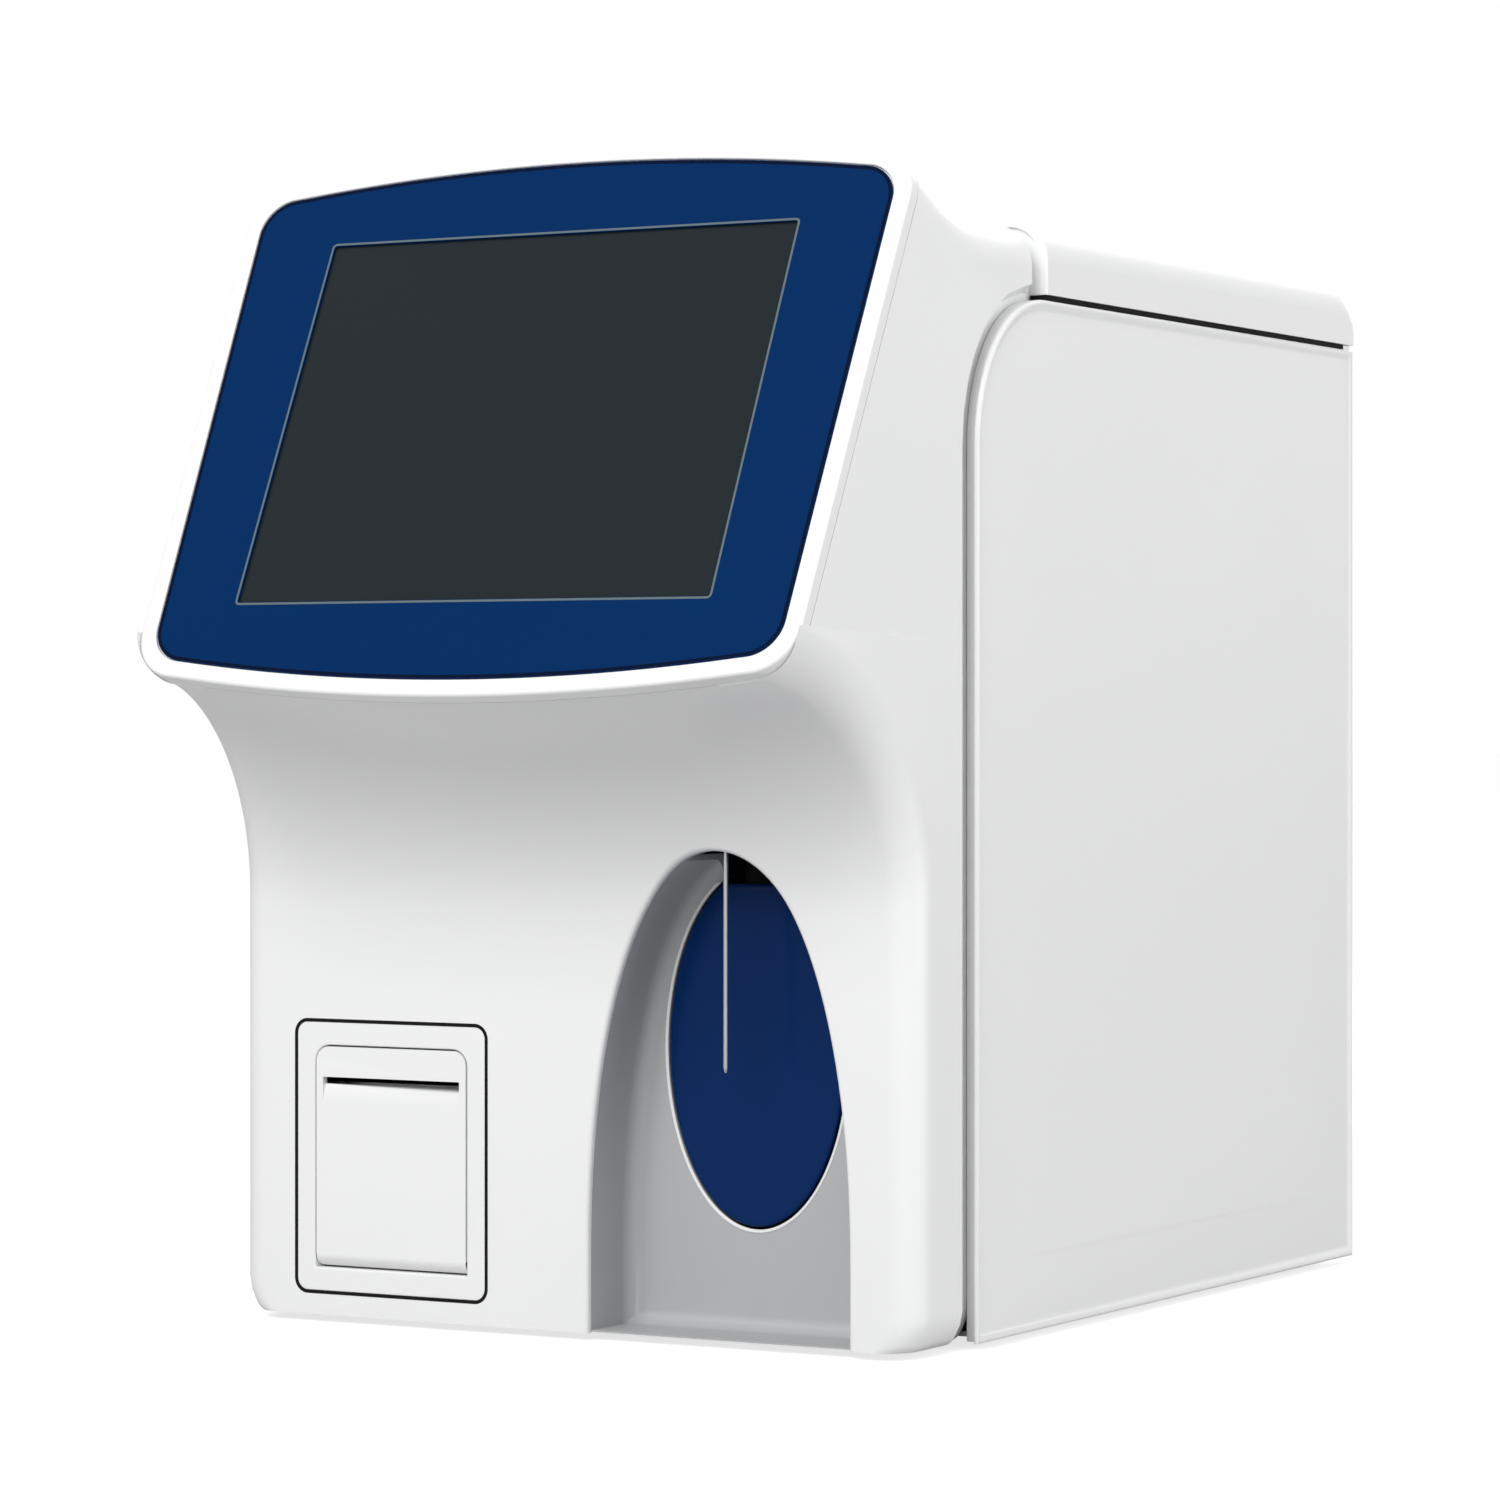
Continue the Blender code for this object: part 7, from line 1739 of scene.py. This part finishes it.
@dataclass
class BackFittings:
    """Screws, hose ports and feet.

    head_profile is a screw head's foot, and head_crown the centre and radius of the arc over it.
    """

    port_steps: int = 48
    screw_inset: float = 0.007
    screw_end: float = 0.03
    screw_x: float = 0.06
    screw_steps: int = 24
    head_profile: tuple[Point, ...] = ((0.0, 0.0), (0.0031, 0.0), (0.0031, 0.0005))
    head_crown: Triple = (0.0011, 0.0003, 0.002)
    head_start: float = 0.25
    head_sink: float = 0.0002
    recess_foot: float = 0.0010
    recess_top: float = 0.01
    recess_half: Point = (0.0016, 0.0003)
    foot_hollow: Triple = (0.5, 0.55, 0.0004)
    foot_soft: float = 0.0008
    foot_inset: float = 0.0018

    def build(self) -> None:
        """Make the small fittings at the back and below."""
        self.ports()
        self.screws()
        self.feet()

    def ports(self) -> None:
        """Four hose ports: a flange, a stem and a barbed tip with its bore."""
        for index in range(1, 5):
            low, high = (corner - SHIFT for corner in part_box(f"fluid_port_{index}"))
            middle = (low + high) / 2
            profile = fitted_port(high.y - low.y, (high.x - low.x) / 2)
            base = (middle.x, low.y, middle.z)
            port = Piece(f"hose_port_{index}").turned(profile, base, "Y", self.port_steps)
            port.finish(Finishes.BLACK, replaces=(f"fluid_port_{index}",))

    def screws(self) -> None:
        """Pan-head screws along the edge of the rear panel."""
        low, high = (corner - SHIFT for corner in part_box("rear_panel"))
        inset, end = self.screw_inset, self.screw_end
        heights = (low.z + end, (low.z + high.z) / 2, high.z - end)
        places = [(x, z) for x in (low.x + inset, high.x - inset) for z in heights]
        places += [(x, z) for x in (-self.screw_x, self.screw_x) for z in (low.z + inset, high.z - inset)]
        heads = Piece("rear_screws")
        side, foot, radius = self.head_crown
        crown = arc((side, foot), radius, self.head_start, math.pi / 2, 5)
        profile = [*self.head_profile, *crown, (0.0, foot + radius)]
        for x, z in places:
            heads.turned(profile, (x, high.y - self.head_sink, z), "Y", self.screw_steps)
        long, short = self.recess_half
        for name, wide, tall in (("level", long, short), ("upright", short, long)):
            recess = Piece(f"{name}_recess")
            for x, z in places:
                corner = (x - wide, high.y + self.recess_foot, z - tall)
                recess.block(corner, (x + wide, high.y + self.recess_top, z + tall))
            heads.cut(recess)
        heads.finish(Finishes.STEEL, angle=30.0)

    def feet(self) -> None:
        """Rubber feet with a rounded rim."""
        inner, outer, hollow = self.foot_hollow
        for node in ("foot_front_left", "foot_front_right", "foot_back_left", "foot_back_right"):
            low, high = (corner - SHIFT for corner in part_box(node))
            middle, radius, height = (low + high) / 2, (high.x - low.x) / 2, high.z - low.z
            profile = [(0.0, hollow), (radius * inner, hollow), (radius * outer, 0.0)]
            profile += arc((radius - self.foot_inset, self.foot_soft), self.foot_soft, -math.pi / 2, 0.0, 4)
            profile += [(radius, height), (0.0, height)]
            foot = Piece(f"rubber_{node}").turned(profile, (middle.x, middle.y, low.z), "Z")
            foot.finish(Finishes.RUBBER, replaces=(node,))


def fitted_port(length: float, flange: float) -> list[Point]:
    """Profile of a hose port, from its inner end to its tip and back down the bore.

    Args:
        length: the port's length.
        flange: its flange's radius.

    Returns:
        Radius and height of each point.
    """
    bore, stem, barb, barbs, pitch = 0.0015, 0.0055, 0.0030, 3, 0.0026
    face = length - 0.0125
    points = [(bore, 0.0), (stem, 0.0), (stem, face - 0.0004), (flange, face - 0.0002), (flange, face + 0.0012)]
    points += [(flange - 0.0006, face + 0.0018), (stem * 0.75, face + 0.0018), (stem * 0.7, face + 0.0035)]
    for index in range(barbs):
        foot = face + 0.0040 + index * pitch
        points += [(barb * 0.72, foot), (barb, foot + 0.0001), (barb * 0.78, foot + 0.0025)]
    tip = [(barb * 0.7, length - 0.0002), (bore + 0.0003, length), (bore, length - 0.0003), (bore, 0.0)]
    return points + tip


class InnerWorks:
    """The CAD nodes that keep their own shape, each dressed in its slot's finish."""

    @staticmethod
    def dress() -> None:
        """Dress every node of the record in the finish of its slot."""
        for part in frame["record"]["subparts"]:
            frame_node(part["node"], Finishes.by_slot(part["material_slot"]))


@dataclass(frozen=True)
class Lamp:
    """A square soft lamp aimed at the analyzer."""

    name: str
    place: Triple
    size: float
    watts: float

    def hang(self, aim: Vector) -> None:
        """Put the lamp in the scene.

        Args:
            aim: the point that it's turned to.
        """
        light = bpy.data.lights.new(self.name, "AREA")
        light.shape = "SQUARE"
        light.size = self.size
        light.energy = self.watts
        thing = bpy.data.objects.new(self.name, light)
        thing.location = self.place
        thing.rotation_euler = (aim - Vector(self.place)).to_track_quat("-Z", "Y").to_euler()
        bpy.context.scene.collection.objects.link(thing)


@dataclass
class Studio:
    """A pale floor, soft light and the camera."""

    lamps: tuple[Lamp, ...] = (
        Lamp("key_light", (0.1, -2.7, 2.2), 2.0, 81.0),
        Lamp("side_light", (2.8, 0.2, 0.8), 1.6, 28.0),
        Lamp("back_light", (-0.3, 2.5, 2.0), 1.6, 20.0),
    )
    aim_z: float = 0.22

    camera_place: Triple = (1.02499, -1.81904, 0.24026)
    camera_turn: float = 29.61
    lens: float = 120.09
    shift_y: float = -0.0187
    sky: float = 0.46
    floor_size: float = 40.0
    floor_glow: float = 0.75
    floor_grey: float = 0.52
    floor_roughness: float = 0.9

    def build(self) -> None:
        """Set up floor, world, lamps and camera."""
        self.floor()
        self.world()
        for lamp in self.lamps:
            lamp.hang(Vector((0.0, 0.0, self.aim_z)))
        self.camera()
        bpy.context.scene.view_settings.view_transform = "Standard"

    def floor(self) -> None:
        """A round floor that keeps the analyzer's soft shadow."""
        bm = bmesh.new()
        bmesh.ops.create_circle(bm, cap_ends=True, segments=64, radius=self.floor_size)
        mesh = bpy.data.meshes.new("floor")
        bm.to_mesh(mesh)
        bm.free()
        thing = bpy.data.objects.new("floor", mesh)
        bpy.context.scene.collection.objects.link(thing)
        material = bpy.data.materials.new("floor_paper")
        material.use_nodes = True
        shader = material.node_tree.nodes["Principled BSDF"]
        shader.inputs["Base Color"].default_value = (*[self.floor_grey] * 3, 1.0)
        shader.inputs["Roughness"].default_value = self.floor_roughness
        shader.inputs["Specular IOR Level"].default_value = 0.0
        shader.inputs["Emission Color"].default_value = (1.0, 1.0, 1.0, 1.0)
        path = material.node_tree.nodes.new("ShaderNodeLightPath")
        glow = material.node_tree.nodes.new("ShaderNodeMath")
        glow.operation = "MULTIPLY"
        glow.inputs[1].default_value = self.floor_glow
        material.node_tree.links.new(path.outputs["Is Camera Ray"], glow.inputs[0])
        material.node_tree.links.new(glow.outputs["Value"], shader.inputs["Emission Strength"])
        mesh.materials.append(material)

    def world(self) -> None:
        """Plain light all round, and white wherever the background itself is seen."""
        world = bpy.data.worlds.new("studio")
        world.use_nodes = True
        bpy.context.scene.world = world
        nodes, links = world.node_tree.nodes, world.node_tree.links
        background = nodes["Background"]
        background.inputs["Color"].default_value = (1.0, 1.0, 1.0, 1.0)
        path = nodes.new("ShaderNodeLightPath")
        seen = path.outputs["Is Camera Ray"]
        for other in ("Is Glossy Ray", "Is Transmission Ray"):
            either = nodes.new("ShaderNodeMath")
            either.operation = "MAXIMUM"
            links.new(seen, either.inputs[0])
            links.new(path.outputs[other], either.inputs[1])
            seen = either.outputs["Value"]
        strength = nodes.new("ShaderNodeMapRange")
        strength.inputs["To Min"].default_value = self.sky
        strength.inputs["To Max"].default_value = 1.0
        links.new(seen, strength.inputs["Value"])
        links.new(strength.outputs["Result"], background.inputs["Strength"])

    def camera(self) -> None:
        """The camera, where the photograph was taken from."""
        lens = bpy.data.cameras.new("camera")
        lens.lens = self.lens
        lens.sensor_width = 36.0
        lens.shift_y = self.shift_y
        lens.clip_end = 100.0
        thing = bpy.data.objects.new("camera", lens)
        thing.location = self.camera_place
        thing.rotation_euler = (math.pi / 2, 0.0, math.radians(self.camera_turn))
        bpy.context.scene.collection.objects.link(thing)
        bpy.context.scene.camera = thing


def main() -> None:
    """Build the analyzer's pieces in order, then the studio."""
    logging.basicConfig(level=logging.INFO, format="%(name)s: %(message)s")
    InnerWorks.dress()
    for maker in (
        Housing, ScreenUnit, SidePanels, TopCover, SamplingBay, AspirateKey, Probe, PanelPrinter, BackFittings, Studio,
    ):
        maker().build()


if __name__ == "__main__":
    main()
